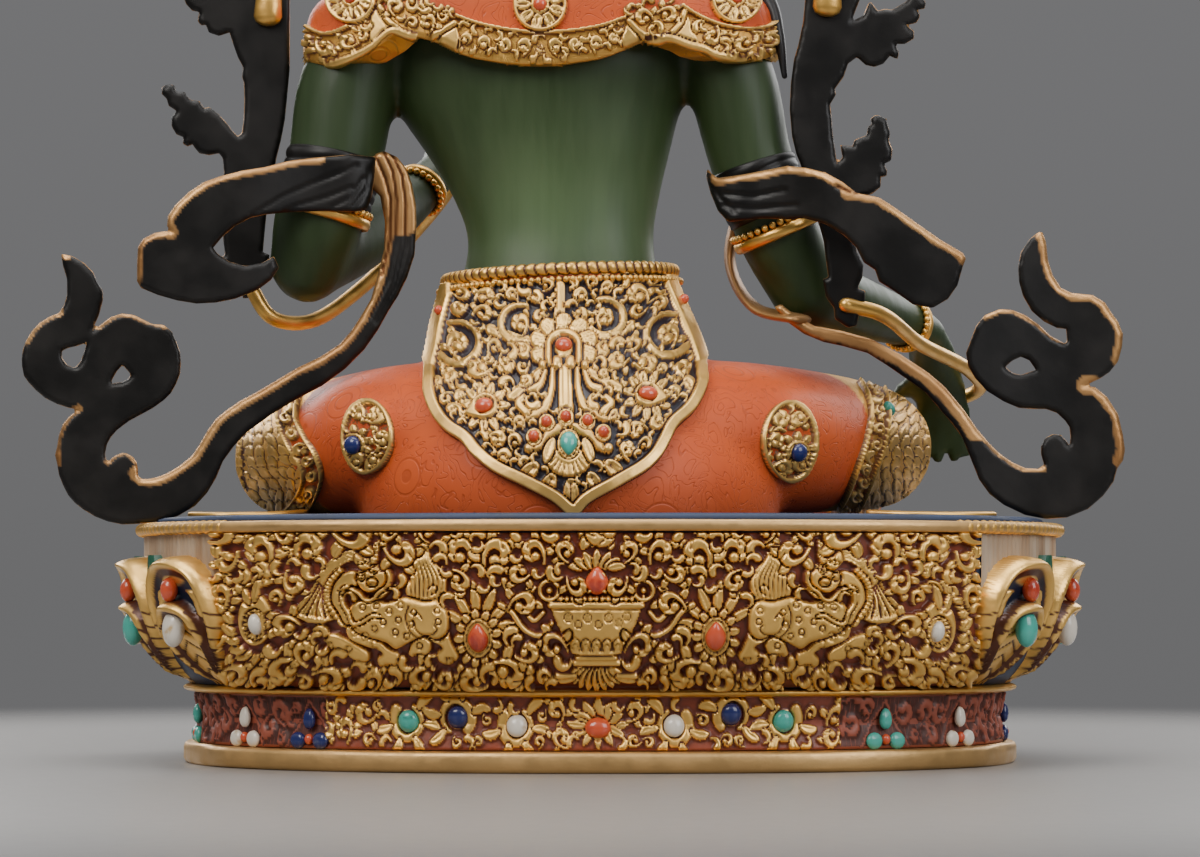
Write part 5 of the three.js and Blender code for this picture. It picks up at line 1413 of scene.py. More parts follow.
def face_masks(x, y, z):
    """Painted eyes, brows and lips"""
    face = y < -15
    a = np.abs(x - HEAD_X)
    u = np.clip((a - EYE_X) / 5.0, -1, 1)
    upper, lower = EYE_Z + 1.15 * (1 - u * u), EYE_Z - 0.6 - 0.55 * (1 - u * u)
    inside = face & (np.abs(a - EYE_X) < 5.0)
    white = smooth((np.minimum(upper - z, z - lower)) / 0.35) * inside
    iris = smooth((1.75 - np.hypot(a - EYE_X, z - EYE_Z - 0.15)) / 0.35) * white
    lash = np.exp(-(((z - upper - 0.2) / 0.40) ** 2)) * inside
    brow_line = 303.8 + 1.5 * (1 - ((a - 9) / 7) ** 2) - 0.10 * a
    brow = np.exp(-(((z - brow_line - 0.6) / 0.55) ** 2)) * face * (a > 2.8) * (a < 15.5)
    lips = face * smooth((5.8 - a) / 0.8) * smooth((1.9 - 0.16 * a - np.abs(z - 281.0)) / 0.5)
    seam = np.exp(-(((z - 281.1 - 0.03 * a * a) / 0.25) ** 2)) * face * (a < 5.6)
    return {"white": white, "dark": np.clip(iris + lash + brow + 0.75 * seam, 0, 1),
            "lips": np.clip(lips - seam, 0, 1)}


NOSE = [
    [0, -25.5, 305, 1.9, 2.2], [0, -27.6, 299, 2.2, 2.4], [0, -29.4, 293.5, 2.5, 2.6],
    [0, -30.8, 289.6, 3.0, 2.6],
]
UPPER_LIP = [
    [-5.6, -25.4, 281.9, 0.8], [-2, -27.0, 282.5, 1.25], [0, -27.3, 282.0, 1.2], [2, -27.0, 282.5, 1.25],
    [5.6, -25.4, 281.9, 0.8],
]
LOWER_LIP = [[-4.8, -25.4, 280.6, 0.8], [0, -27.2, 279.5, 1.7, 1.5], [4.8, -25.4, 280.6, 0.8]]
EAR = [
    [24, 0, 303, 1.8, 4.2], [25.3, -1, 292, 1.7, 3.9], [24.8, -2, 281, 2.2, 2.8], [24.6, -2, 274, 1.9, 2.2],
]
BROW = [[3.6, -26.2, 303.0, 0.9], [9, -25.8, 305.0, 1.0, 0.9], [15, -21.8, 302.4, 0.8]]


def on_head(knots, side=1):
    """Knots whose x is counted from the head's middle, mirrored for side -1"""
    return [[HEAD_X + side * k[0], *k[1:]] for k in knots]


def build_head():
    parts = [trunk(SKULL, levels=44), sweep(on_head(NOSE))]
    parts += [ball(HEAD_X + s * 3, -28.4, 288.8, 1.9, 2.2, 1.7) for s in (-1, 1)]
    parts += [sweep(on_head(lip), side=LEVEL) for lip in (UPPER_LIP, LOWER_LIP)]
    parts.append(ball(HEAD_X, -23.0, 271.5, 5.5, 4.0, 4.2))
    for s in (-1, 1):
        parts.append(ball(HEAD_X + s * EYE_X, -24.6, EYE_Z + 0.3, 5.0, 2.9, 3.2))
        parts.append(sweep(on_head(EAR, s)))
        parts.append(sweep(on_head(BROW, s), side=LEVEL))
    head = remeshed(parts, 0.85, 4)
    head.masks = face_masks(*head.points.T)
    make("head", tilted(head), SKIN, "green_paint")


def build_hair():
    z = np.linspace(HAIR_CAP[0][0], HAIR_CAP[-1][0], 50)
    cx, cy, rx, ry = eased(HAIR_CAP, z).T
    angle = around(176)
    strands = 1 + 0.016 * np.abs(
        np.sin(22 * angle[None, :] + 0.04 * (z[:, None] - 300))) + 0.008 * np.sin(9 * angle)
    shape = loft(np.stack([cx[:, None] + rx[:, None] * np.cos(angle) * strands,
                           cy[:, None] + ry[:, None] * np.sin(angle) * strands, z[:, None] + 0 * angle], -1))
    make("hair", tilted(shape), HAIR, "black_lacquer")
    ties = []
    for z, r, cy in ((338, 13.6, 1.6), (343, 14.6, 2.3), (371, 10.6, 3), (374.5, 9, 3)):
        angle = around(72)
        knots = np.stack([HEAD_X + r * np.cos(angle), cy + r * np.sin(angle), z + 0 * angle], -1)
        rings = [p + 1.3 * (unit(p - [HEAD_X, cy, z]) * np.cos(
            b)[:, None] + np.array([0, 0, 1]) * np.sin(b)[:, None]) for p in knots for b in [around(10)]]
        ties.append(Shape(np.array(rings).reshape(-1, 3), closed_quads(len(knots), 10)))
    make("hair_ties", tilted(merged(ties)), GOLD, "gilt_gold")
    locks = [[[-4, 14, 292, 6], [-22, 10, 266, 5], [-42, 8, 247, 3.6], [-52.5, 12, 236, 2.4],
              [-55.5, 15, 225, 1.8], [-57.3, 16, 212, 0.9]], [[32, 14, 292, 6], [48, 6, 264, 5],
                                                              [66, -8, 249, 4.5], [73, -20, 232, 3.5],
                                                              [72, -25, 220, 2]]]
    make("hair_locks", merged([sweep(k, per=10, sides=28) for k in locks]), HAIR, "black_lacquer")


# Crown, with the finial of the topknot: sections in millimetres
CROWN_HALF = (26.5, 30.5)
CROWN_Y = 2
CROWN_TURNS = (-78, -39, 0, 39, 78)
CROWN_STONES = ("turquoise", "coral", "turquoise", "coral", "lapis")
CROWN_SECTION = [
    (0.3, 309.2), (1.6, 309.4), (2.1, 310.2), (1.5, 310.8), (1.5, 316.6), (2.1, 317.2), (1.6, 318.2),
    (0.3, 318.6),
]
LEAF_HALF, LEAF_HIGH, LEAF_FOOT = 10.5, 33, 312
FINIAL = [
    [379.3, HEAD_X, 3, 5.4, 5.4], [381, HEAD_X, 3, 6.3, 6.3], [383, HEAD_X, 3, 4.6, 4.6],
    [385.5, HEAD_X, 3, 6.2, 6.2], [389, HEAD_X, 3, 5.9, 5.9], [394, HEAD_X, 3, 3.2, 3.2],
    [398, HEAD_X, 3, 1.4, 1.4], [400, HEAD_X, 3, 0.6, 0.6],
]


def crown_point(turn, z, more=0.0):
    """On the crown's oval, turned from the face"""
    rx, ry = CROWN_HALF[0] + more, CROWN_HALF[1] + more
    r = 1 / np.hypot(np.sin(turn) / rx, np.cos(turn) / ry)
    return np.stack([HEAD_X + r * np.sin(turn), CROWN_Y - r * np.cos(turn), z + 0 * turn], -1)


def crown_size(degrees):
    """The leaf over the brow is larger than the others"""
    return 1.15 if degrees == 0 else 0.92


def crown_leaf(degrees):
    """One leaf: a board with a rim, hooks and a rosette"""
    half, high = LEAF_HALF * crown_size(degrees), LEAF_HIGH * crown_size(degrees)
    leaf = Relief((-half, 0, half, high), 0.72, gap=0.5)
    X, Y = np.meshgrid(leaf.x, leaf.y)
    share = Y / high
    upper = np.clip((share - 0.4) / 0.6, 0, 1)
    wide = half * np.where(share < 0.4, mix(0.72, 1.0, smooth(share / 0.4)), 1 - upper**1.7)
    inside = np.abs(X) <= wide + 0.2
    border = wide - np.abs(X)
    leaf.h = 0.15 + 0.7 * np.exp(-(((border - 0.9) / 0.7) ** 2)) * inside
    for s in (-1, 1):
        leaf.spiral(s * half * 0.45, high * 0.20, half * 0.36, -0.5 * np.pi, s, 0.9)
        leaf.spiral(s * half * 0.42, high * 0.46, half * 0.34, 0.5 * np.pi, -s, 0.9)
        leaf.leaf(s * half * 0.15, high * 0.55, high * 0.28, 1.0, np.pi / 2 - s * 0.35, 0.3 * s)
    leaf.flutes(0, high * 0.34, 2.6, 3.2, 10, 2.4, 0.8)
    bend = math.radians(degrees) + X / 29.0
    base = crown_point(bend, LEAF_FOOT + Y, 1.5 + 0.8 + 3.4 * share**2)
    out = unit(np.stack([np.sin(bend), -np.cos(bend), 0 * bend], -1))
    front = base + out * (0.4 + leaf.h * 1.3)[..., None]
    back = base - out * 0.9
    quads = grid_quads(*X.shape)
    kept = quads[inside.ravel()[quads].all(1)]
    points, quads, used = two_sided(kept, front.reshape(-1, 3), back.reshape(-1, 3))
    # The relief's painted shade and painted ground on the front; the back gets none
    masks = {name: np.append(values, np.zeros(X.size))[used] for name, values in leaf.masks(1.6).items()}
    return Shape(points, quads, **masks)


def build_crown():
    turn = around(240)
    band = [
        crown_point(turn, z, more + 0.25 * abs(i - 3.5 < 1) * np.sin(turn * 30))
        for i, (more, z) in enumerate(CROWN_SECTION)
    ]
    leaves = [crown_leaf(degrees) for degrees in CROWN_TURNS]
    make("crown_leaves", tilted(merged([loft(band)] + leaves)), GOLD, "gilt_gold", "crown")
    stones = {"coral": [], "turquoise": [], "lapis": []}
    for degrees, kind in zip(CROWN_TURNS, CROWN_STONES):
        level = LEAF_FOOT + LEAF_HIGH * crown_size(degrees) * 0.34
        spot = crown_point(np.array(math.radians(degrees)), level, 2.6)
        stones[kind].append(tilted(ball(*spot, 2.3, 2.3, 3.0)))
    for kind, balls in stones.items():
        make("crown_" + kind, merged(balls), STONES[kind], kind)
    make("topknot_finial", tilted(trunk(FINIAL, levels=40, sides=40)), GOLD, "gilt_gold", "topknot_jewel")


DISC_HALF, DISC_RADIUS = 8.2, 8.0
EARRING = (31, -6, 271)


def build_earrings():
    """Discs with a fluted flower on both faces"""
    disc = Relief((-DISC_HALF, -DISC_HALF, DISC_HALF, DISC_HALF), 0.55, gap=0.5)
    far = np.hypot(*np.meshgrid(disc.x, disc.y))
    disc.h = 0.25 + 0.5 * np.exp(-(((far - 7.0) / 0.7) ** 2))
    disc.flutes(0, 0, 2.8, 2.8, 10, 3.4, 1.0)
    disc.dome(0, 0, 2.6, 2.6, 1.0, gap=0.6)
    r = np.append(np.linspace(0.2, 7.9, 20), DISC_RADIUS)[:, None]
    across, up = r * np.cos(around(64)), r * np.sin(around(64))
    i, j = [
        np.clip(((place + DISC_HALF) / disc.cell).round().astype(int), 0, count - 1)
        for place, count in zip((up, across), disc.h.shape)
    ]
    # Painted shade in the crevices of the disc's relief
    cavity = disc.masks(1.4)["cavity"][i, j]
    for side, s in (("left", 1), ("right", -1)):
        x, y, z = HEAD_X + s * EARRING[0], EARRING[1], EARRING[2]
        front, back = [
            np.stack([x + across, y + face * (1.1 + 0.9 * disc.h[i, j]), z + up], -1) for face in (-1, 1)
        ]
        shape = loft(
            np.concatenate([front, back[::-1]]), cavity=np.concatenate([cavity, cavity[::-1]]).ravel())
        make("ear_disc_" + side, tilted(shape), GOLD, "gilt_gold", "earring_" + side)


# Cape: its lower edge hangs in lobes, given in pixels of the back
CAPE_EDGE = [
    (285, 52), (303, 57), (308, 64), (322, 67), (345, 62), (370, 50), (393, 33), (410, 37), (427, 41),
    (440, 46), (456, 54), (471, 59), (500, 64), (532, 66.5), (560, 66), (600, 60), (613, 56), (632, 48.5),
    (643, 43), (655, 42.7), (668, 40), (689, 46.5), (705, 51), (715, 56), (734, 60), (759, 62.5),
    (772, 58.7), (778, 52), (800, 46),
]


CAPE_POWER = 2.6


def cape_grid(turn, up):
    """Points at turns round the cape and heights above its lower edge, in millimetres"""
    low = eased(CAPE, np.array([217.0]))[0]
    x = low[0] + low[2] * signed_power(np.cos(turn), 2 / CAPE_POWER)
    y = low[1] + low[3] * signed_power(np.sin(turn), 2 / CAPE_POWER)
    px = CENTRE[0] - x * FOCAL / (EYE[1] - np.abs(y - low[1]) - low[1])
    edge = np.array(CAPE_EDGE)
    py = np.interp(px, edge[:, 0], edge[:, 1])
    z_low = at_depth(px, py, np.abs(y - low[1]) + low[1])[..., 2]
    # Up the cape's slope by length
    z = np.linspace(205, 257, 200)
    rows = eased([[200, *CAPE[0][1:]], *CAPE], z)
    slope = np.append(0, np.cumsum(np.hypot(np.diff(z), np.hypot(np.diff(rows[:, 2]) * 0.75,
                                                                 np.diff(rows[:, 3]) * 0.75))))
    start = np.interp(z_low, z, slope)
    level = np.interp(np.minimum(start + up, slope[-1]), slope, z)
    cx, cy, rx, ry = [np.interp(level, z, rows[:, k]) for k in range(4)]
    return np.stack([cx + rx * signed_power(np.cos(turn), 2 / CAPE_POWER),
                     cy + ry * signed_power(np.sin(turn), 2 / CAPE_POWER), level], -1)


def build_cape():
    turn = around(240)
    ups = np.linspace(0.6, 70, 34)
    rows = [cape_grid(turn, np.full(len(turn), up)) for up in ups]
    inner = np.stack([mix(18.3, rows[0][:, 0], 0.975), mix(5.0, rows[0][:, 1], 0.94), rows[0][:, 2] - 0.3],
                     -1)
    under = mix(rows[0].mean(0) * [1, 1, 0] + rows[0] * [0, 0, 1], rows[0], 0.80)
    sheet = np.array([under, inner] + rows)
    shape = loft(sheet, caps=False)
    border = np.concatenate([[1, 1], (ups < 10.5) * 1.0])[:, None] * np.ones(len(turn))
    zero = np.zeros(len(shape.points))
    shape.masks = {"gold": border.ravel(), "low": zero, "cavity": zero}
    make("cape", shape, CLOTH, "red_paint")
    return shape


# Small lotus under the right foot
def build_foot_lotus():
    """Two rings of petals round a seat, on a stem from the throne"""
    x, y = FOOT_LOTUS
    shapes = []
    for ring, (count, low, high, reach) in enumerate([(10, 18.5, 27.5, 20.5), (10, 19.5, 29.5, 19.0)]):
        for k in range(count):
            a = 2 * np.pi * (k + 0.5 * ring) / count
            v = np.linspace(0, 1, 12)[:, None]
            u = np.linspace(-1, 1, 11)[None, :]
            wide = 6.6 * np.sin(np.pi * (0.16 + 0.80 * v)) * u
            out = mix(6.5, reach, smooth(v) ** 0.8) + 0.6 * np.cos(u * np.pi) - 0.03 * wide**2
            up = low + (high - low) * v**1.5 + 0 * u
            outer = np.stack([x + out * np.cos(a) - wide * np.sin(a),
                              y + out * np.sin(a) + wide * np.cos(a), up], -1)
            inner = outer + np.array([-math.cos(a), -math.sin(a), 0.4]) * 1.4
            # Painted shade towards the petals' feet and in lines near their edges
            cavity = np.clip(1 - v * 1.6, 0,
                             1) * 0.8 + 0.7 * np.exp(-(((np.abs(u) - 0.72) / 0.12) ** 2)) + 0 * v
            shapes.append(cupped(outer, inner, cavity))
    rows = [[18, x, y, 7, 7], [21, x, y, 13, 13], [26, x, y, 16.5, 16.5], [30, x, y, 17.2, 17.2],
            [31.5, x, y, 17, 17], [33, x, y, 15.5, 15.5]]
    shapes.append(trunk(rows, levels=40, sides=60))
    # The stem that carries it from the throne
    stem = [[x, y, 16, 7.3, 5.0], [x, y + 10, 13.8, 6.6, 5.4], [x, y + 26, 13.2, 6.2, 5.6],
            [x, y + 48, 13.4, 6.8, 6.0]]
    shapes.append(sweep(stem, power=2.4, per=8, sides=32))
    make("foot_lotus", merged(shapes), GOLD, "gilt_gold")


# Petals of the throne
PANEL_EDGE = float(np.interp(PANEL_HALF / THRONE_HALF[0], OVAL_DIRECTIONS[:1000, 0], OVAL_LENGTHS[:1000]))


def petal_outline(u, v):
    """0 in the middle and 1 on the outline of a petal, u across and v up in millimetres"""
    wide = mix(7.0, 16.0, smooth(v / 20))
    low = np.abs(u) / wide
    high = (np.abs(u) / 16.0) ** 2.3 + (np.clip(v - 20, 0, None) / 18.0) ** 2.3
    return np.where(v < 20, low, high ** (1 / 2.3))


def petal_height(u, v):
    """How far the two nested petals stand out, painted shade for their grooves and cuts, and their painted
    ground
    """
    lean = 7.0 * smooth(v / 36)
    q = petal_outline(u, v)
    rim = np.exp(-(((q - 0.88) / 0.085) ** 2))
    bulb = np.exp(-((u / 7.0) ** 2 + ((v - 34.5) / 4.0) ** 2))
    h = lean * 0.75 - 0.5 + 3.3 * rim + 2.4 * bulb
    small = petal_outline(u * 1.55, (v + 0.5) * 1.48)
    inner = smooth((1.03 - small) / 0.06)
    small_rim = np.exp(-(((small - 0.84) / 0.12) ** 2))
    small_bulb = np.exp(-((u / 4.6) ** 2 + ((v - 22.4) / 2.8) ** 2))
    h_small = 5.0 * smooth(v / 26) + 0.8 + 2.4 * small_rim + 2.2 * small_bulb
    h = np.where(inner > 0, mix(h, np.maximum(h, h_small), inner), h)
    # Strips that run down beside the inner petal, and leaf cuts
    strip = np.exp(-(((q - 0.62) / 0.07) ** 2)) * (v < 28)
    h += 1.5 * strip * (1 - inner)
    cut = np.maximum(np.sin(v * 1.5 + np.abs(u) * 0.9), 0) ** 6
    h -= 0.7 * cut * (np.abs(small) < 0.66) * (v < 20)
    h -= 0.5 * cut * strip
    ground = smooth((0.30 - np.maximum.reduce([rim, strip, inner, bulb])) / 0.15) * (v > 9)
    # Painted shade in the grooves and the leaf cuts
    groove = np.maximum(np.exp(-(((q - 0.74) / 0.05) ** 2)), np.exp(-(((small - 0.66) / 0.07) ** 2)) * inner)
    groove = np.maximum(groove, np.exp(-(((small - 1.03) / 0.07) ** 2)))
    fade = smooth((1.02 - q) / 0.04)
    return mix(-1.6, h * smooth(v / 5), fade), np.clip(groove + 0.7 * cut * (v < 22), 0,
                                                       1), ground * (q < 0.8)


PETAL_HALF, PETAL_HIGH = 17, 39.5
LOW_STONE, HIGH_STONE = 17.0, 28.3


def build_petals():
    pitch = (OVAL_LENGTH - 2 * PANEL_EDGE) / PETALS
    shapes, kinds = [], {"coral": [], "turquoise": [], "shell": []}
    greens = []
    for k in range(PETALS):
        cell = 0.62 if k in (0, 1, PETALS - 2, PETALS - 1) else 1.3
        middle = PANEL_EDGE + (k + 0.5) * pitch
        u, v = np.meshgrid(np.arange(-PETAL_HALF, PETAL_HALF + 0.01, cell), np.arange(0, PETAL_HIGH, cell))
        z = BOWL_BASE + 0.2 + v
        base = wall_grid(middle + u * 1.06, z)
        normal = normals(base, base.mean((0, 1)) * [1, 1, 0])
        mid = unit(normal.mean((0, 1)) * [1, 1, 0])
        high, cavity, ground = petal_height(u, v)
        push = unit(mix(normal, mid, 0.6))
        points = base + push * high[..., None]
        shapes.append(sheet_of(points, cavity=cavity.ravel(), ground=ground.ravel()))
        place = wall_grid(np.array([middle]), np.array([BOWL_BASE + LOW_STONE]))[0]
        side = np.cross(mid, [0, 0, 1.0])
        big = "turquoise" if k % 2 else "shell"
        kinds[big].append(turned_ball(place + mid * 6.6, side, mid, 3.9, 3.2, 5.6))
        place = wall_grid(np.array([middle]), np.array([BOWL_BASE + HIGH_STONE]))[0]
        kinds["coral"].append(turned_ball(place + mid * 6.4, side, mid, 2.7, 2.6, 3.7))
        if k < PETALS - 1:
            greens.append(green_leaf(middle + pitch / 2))
    make("petals", merged(shapes), BLUE_GROUND, "gilt_gold")
    for kind, balls in kinds.items():
        make("petal_" + kind, merged(balls), STONES[kind], kind)
    make("petal_leaves", merged(greens), GREEN, "green_paint")


def green_leaf(s):
    """A painted leaf between two petals"""
    u, v = np.meshgrid(np.linspace(-1, 1, 19), np.linspace(0, 1, 15))
    wide = 5.2 * np.sin(np.pi * (0.30 + 0.55 * v)) * u
    base = wall_grid(s + wide, 46 + 17 * v)
    normal = normals(base, base * [1, 1, 0])
    high = 3.4 * smooth(v * 1.6) + 0.5 * np.abs(np.sin(u * 9)) - 1.2 * np.abs(u) ** 3
    high = np.where((np.abs(u) > 0.98) | (v < 0.02), -1.0, high)
    return sheet_of(base + normal * high[..., None])


# Carved panel of the back, painted in pixels of the back view
PANEL_MIDDLE = 597.0


# Levels of the lion's tail: its first and last column, and its row
PLUME = [(414, 440, 597), (412, 444, 580), (412, 434, 562), (420, 427, 549)]


class Lion:
    """A snow lion that strides towards the middle; drawn for the left one, side -1 mirrors it"""

    def __init__(self, r, side):
        self.r = r
        self.side = side

    def at(self, points):
        p = np.array(points, float).reshape(-1, 2)
        return np.stack([p[:, 0] if self.side > 0 else 2 * PANEL_MIDDLE + 3 - p[:, 0], p[:, 1]], 1)

    def patch(self, points, high, soft=4.0):
        self.r.area(self.at(points), high, soft, gap=2.0)

    def line(self, points, wide=0.75, deep=0.3):
        self.r.etch(self.at(curve(*points)), wide, deep)

    def tail(self):
        """A combed plume with a curled tip"""
        self.patch([(424, 605), (413, 601), (407, 590), (411, 578), (408, 567), (413, 557), (417, 546),
                    (424, 542), (433, 544), (430, 550), (434, 560), (443, 570), (448, 582), (446, 595),
                    (438, 604)], 1.15, 5)
        for k in range(8):
            share = k / 7
            rib = [(mix(first, last, share), y) for first, last, y in PLUME]
            self.line(rib, 0.9, 0.42)
        self.line([(434, 594), (439, 588), (435, 584), (430, 588)], 0.9, 0.4)

    def body(self):
        """Body and legs"""
        self.patch([(416, 633), (427, 633), (433, 641), (431, 650), (421, 655), (410, 652), (411, 645)], 0.9)
        self.patch([(346, 620), (360, 622), (378, 634), (391, 646), (402, 652), (402, 660), (392, 665),
                    (381, 662), (379, 655), (384, 650), (366, 643), (352, 637)], 1.0)
        self.patch([(422, 612), (433, 607), (446, 612), (449, 630), (456, 645), (460, 654), (452, 661),
                    (440, 658), (438, 650), (443, 645), (432, 638), (421, 628)], 1.05, 5)
        self.patch([(348, 614), (356, 602), (372, 599), (390, 601), (407, 596), (425, 600), (441, 600),
                    (449, 612), (449, 630), (440, 637), (426, 634), (415, 638), (398, 646), (388, 640),
                    (374, 636), (356, 628)], 1.2, 9)
        self.patch([(326, 637), (331, 631), (341, 632), (356, 640), (371, 650), (371, 657), (361, 658),
                    (344, 649), (332, 645)], 1.1)
        self.line([(411, 605), (408, 615), (411, 627), (418, 635)], 0.9, 0.45)
        self.line([(424, 617), (420, 612), (415, 617), (418, 627), (425, 633), (434, 632), (439, 627),
                   (436, 623)], 0.8, 0.4)
        for x, y in ((358, 630), (368, 634), (378, 641)):
            self.r.etch(self.at(arc(x, y, 4.0, 60, 330, 14)), 0.8, 0.35)
        for x, y in ((452, 653), (392, 659), (420, 650), (333, 638)):
            for k in (-1, 0, 1):
                self.r.etch(self.at([(x + 3 * k - 1, y + 1), (x + 3.4 * k, y + 6)]), 0.8, 0.45)
        for x, y in [(366, 606), (379, 605), (392, 609.5), (403, 604), (386, 620), (401, 618), (377.5, 626),
                     (398, 629.5), (409, 633), (352, 645), (421, 643), (439, 609.5), (440, 620), (416, 611),
                     (414, 622)]:
            self.r.etch(self.at(arc(x, y, 2.9, 0, 360, 14)), 0.75, 0.4)

    def mane(self):
        """Combed from the crest down to its hem"""
        crest = curve((366, 550), (350, 551), (337, 557), (325, 569), (315, 586), (305, 600), (293, 611),
                      count=24)
        throat = curve((362, 560), (350, 562), (341, 568), (331, 581), (327, 596), (330, 608), (338, 618),
                       count=24)
        self.r.area(self.at(np.vstack([crest, [(300, 616), (312, 622), (326, 623)], throat[::-1]])), 1.15,
                    4, gap=2.0, round_off=False)
        self.r.combed(self.at(crest), self.at(throat), 4, deep=0.6, wide=1.1)
        self.r.combed(self.at(crest[14:]), self.at(throat[14:]), 9, deep=0.5, wide=1.0)

    def collar(self):
        """A ribbed band"""
        collar = curve((343, 571), (333, 582), (330, 594), (334, 606), (346, 621), count=30)
        self.r.tapered(self.at(collar), 3.2, 5.0, 1.2, gap=1.4)
        side = unit(np.gradient(collar, axis=0)[:, ::-1] * [1, -1])
        for k in range(1, 29, 2):
            self.r.etch(self.at([collar[k] - side[k] * 5, collar[k] + side[k] * 5]), 0.7, 0.45)

    def neck(self):
        """Neck with its streamer"""
        self.patch([(346, 573), (356, 570), (364, 576), (360, 586), (350, 592), (348, 600), (353, 612),
                    (357, 621), (349, 623), (342, 612), (335, 600), (337, 585)], 1.15, 3.5)
        self.r.stroke(self.at(curve((344, 590), (350, 586), (358, 588), (366, 596), (376, 598), (386, 594),
                                    (391, 586), (393, 576), (388, 569))), 1.9, 1.35, gap=1.1)
        self.r.tapered(self.at(curve((346, 592), (346, 602), (352, 612), (356, 622), (366, 620), (376, 614),
                                     (382, 615))), 2.4, 2.0, 1.3, gap=1.1)

    def head(self):
        """Muzzle, brow and curled hair"""
        self.patch([(359, 578), (361, 571), (368, 566), (378, 564), (387, 568), (390, 577), (387, 585),
                    (380, 590), (371, 592), (363, 587)], 1.35, 5)
        self.r.stroke(self.at(curve((384, 566), (391, 571), (393, 579), (389, 587), (382, 591), (377, 598),
                                    (369, 599), (363, 592), (355, 588))), 2.0, 1.55, gap=1.5)
        for x, y, size in ((364.5, 576.5, 3.9), (377, 569, 4.2)):
            eye = self.at([(x, y)])[0]
            self.r.dome(*eye, size, size, 1.7, gap=1.4)
            self.r.dome(*eye, 0.45 * size, 0.45 * size, 1.9, gap=1.0)
        nose = self.at([(375.5, 581.5)])[0]
        self.r.dome(*nose, 5.4, 4.4, 1.85, gap=1.4)
        self.r.etch(self.at([(374, 583), (377.5, 582.5)]), 1.3, 0.8)
        self.patch([(357, 562), (358, 554), (366, 549), (374, 552), (378, 560), (374, 568), (365, 570)],
                   1.4, 4)
        for k in range(7):
            a = 2.2 * k
            curl = self.at([(368 + 1.25 * k**0.5 * 2.2 * math.cos(a), 560 + 2.6 * k**0.5 * math.sin(a))])[0]
            self.r.dome(*curl, 2.1, 1.9, 1.55, gap=0.7)
        flame = [2.5, 3.0, 3.4, 3.8, 4.0, 4.0, 3.9, 3.8, 3.6, 3.4, 3.1, 2.8, 2.4, 2, 1.5, 1]
        self.r.stroke(self.at(curve((376, 562), (377, 552), (380, 540))), flame, 1.25, vein=0.4, gap=1.4)
        for k in range(5):
            y = 558 - 4 * k
            for d in (-1, 1):
                self.r.etch(self.at([(378.5, y), (378.5 + 3.4 * d, y - 3)]), 0.6, 0.35)


def paint_lion(r, side):
    lion = Lion(r, side)
    lion.tail()
    lion.body()
    lion.mane()
    lion.collar()
    lion.neck()
    lion.head()


def paint_vase(r):
    """The offering vase in the middle of the panel, with its streamers"""
    m = PANEL_MIDDLE - 0.5
    # Lotus foot, stem, body, lip
    for k in range(-4, 5):
        r.leaf(m + k * 3, 665, 20 - abs(k), 4.6, math.pi / 2 - k * 0.27, 0, 0.9, vein=0.35)
    for k in (-1, 1):
        r.leaf(m + k * 18, 672, 24, 5.0, math.pi / 2 - k * 1.25, -0.5 * k, 0.9, vein=0.3)
    for y, w in ((650, 15), (654.5, 19), (659.5, 23)):
        r.stroke([(m - w, y), (m + w, y)], 2.6, 1.05, gap=0.8)
    for y in np.arange(609, 648, 1.6):
        share = (y - 609) / 38
        half = mix(43, 24, share**1.15)
        rows, columns, X, _ = r.window(np.array([m - half, y - 1]), np.array([m + half, y + 1]))
        bulge = np.sqrt(np.clip(1 - ((X - m) / (half + 1.5)) ** 2, 0, 1))
        r.h[rows, columns] = 0.80 + 0.65 * bulge * (0.75 + 0.25 * math.sin(math.pi * share))
        r.used[rows, columns] = True
    for x, y, w in [(-28, 616, 4.2), (-18, 622, 3.6), (-9, 616, 4.2), (2, 622, 3.6), (12, 616, 4.2),
                    (22, 621, 3.6), (30, 615, 4)]:
        r.etch(arc(m + x, y, w, 0, 360, 16), 0.75, 0.35)
        r.etch(arc(m + x, y, w * 0.45, 0, 360, 10), 0.6, 0.25)
    for k in range(-2, 3):
        r.etch(arc(m + k * 10.5, 647, 6.2, 180, 360, 12, 12), 0.8, 0.4)
        r.etch(arc(m + k * 10.5, 647, 3.2, 180, 360, 12, 7), 0.6, 0.3)
    r.stroke([(m - 45, 604.5), (m + 45, 604.5)], 3.8, 1.35, gap=0.9)
    r.beads([(m - 47, 598.2), (m + 47, 598.2)], 5.6, 2.9, 1.45)
    for s in (-1, 1):
        r.stroke(arc(m + s * 47, 590, 9.5, 0, 360, 30), 2.2, 0.95, gap=0.9)
        r.dome(m + s * 47, 590, 3.2, 3.2, 1.0)
        r.tapered(curve((m + s * 53, 612), (m + s * 62, 620), (m + s * 74, 606), (m + s * 88, 590),
                        (m + s * 92, 580)), 2.4, 3.4, 0.9)
        r.tapered(curve((m + s * 44, 622), (m + s * 56, 634), (m + s * 72, 628), (m + s * 84, 612),
                        (m + s * 96, 604)), 2.2, 3.2, 0.9)
        r.spiral(m + s * 43, 644, 17, -1.57 - s * 1.3, s, 1.05, wide=0.23)


def paint_wreath(r, line, count, length, width, side):
    """Overlapping comb-cut leaves along a line"""
    tangent = unit(np.gradient(line, axis=0))
    for k in range(count):
        i = int((k + 0.5) / count * (len(line) - 1))
        a = math.atan2(tangent[i, 1], tangent[i, 0])
        r.leaf(line[i, 0], line[i, 1], length, width, a + side * 0.75, -side * 0.5, 0.98, vein=0.35, comb=4)


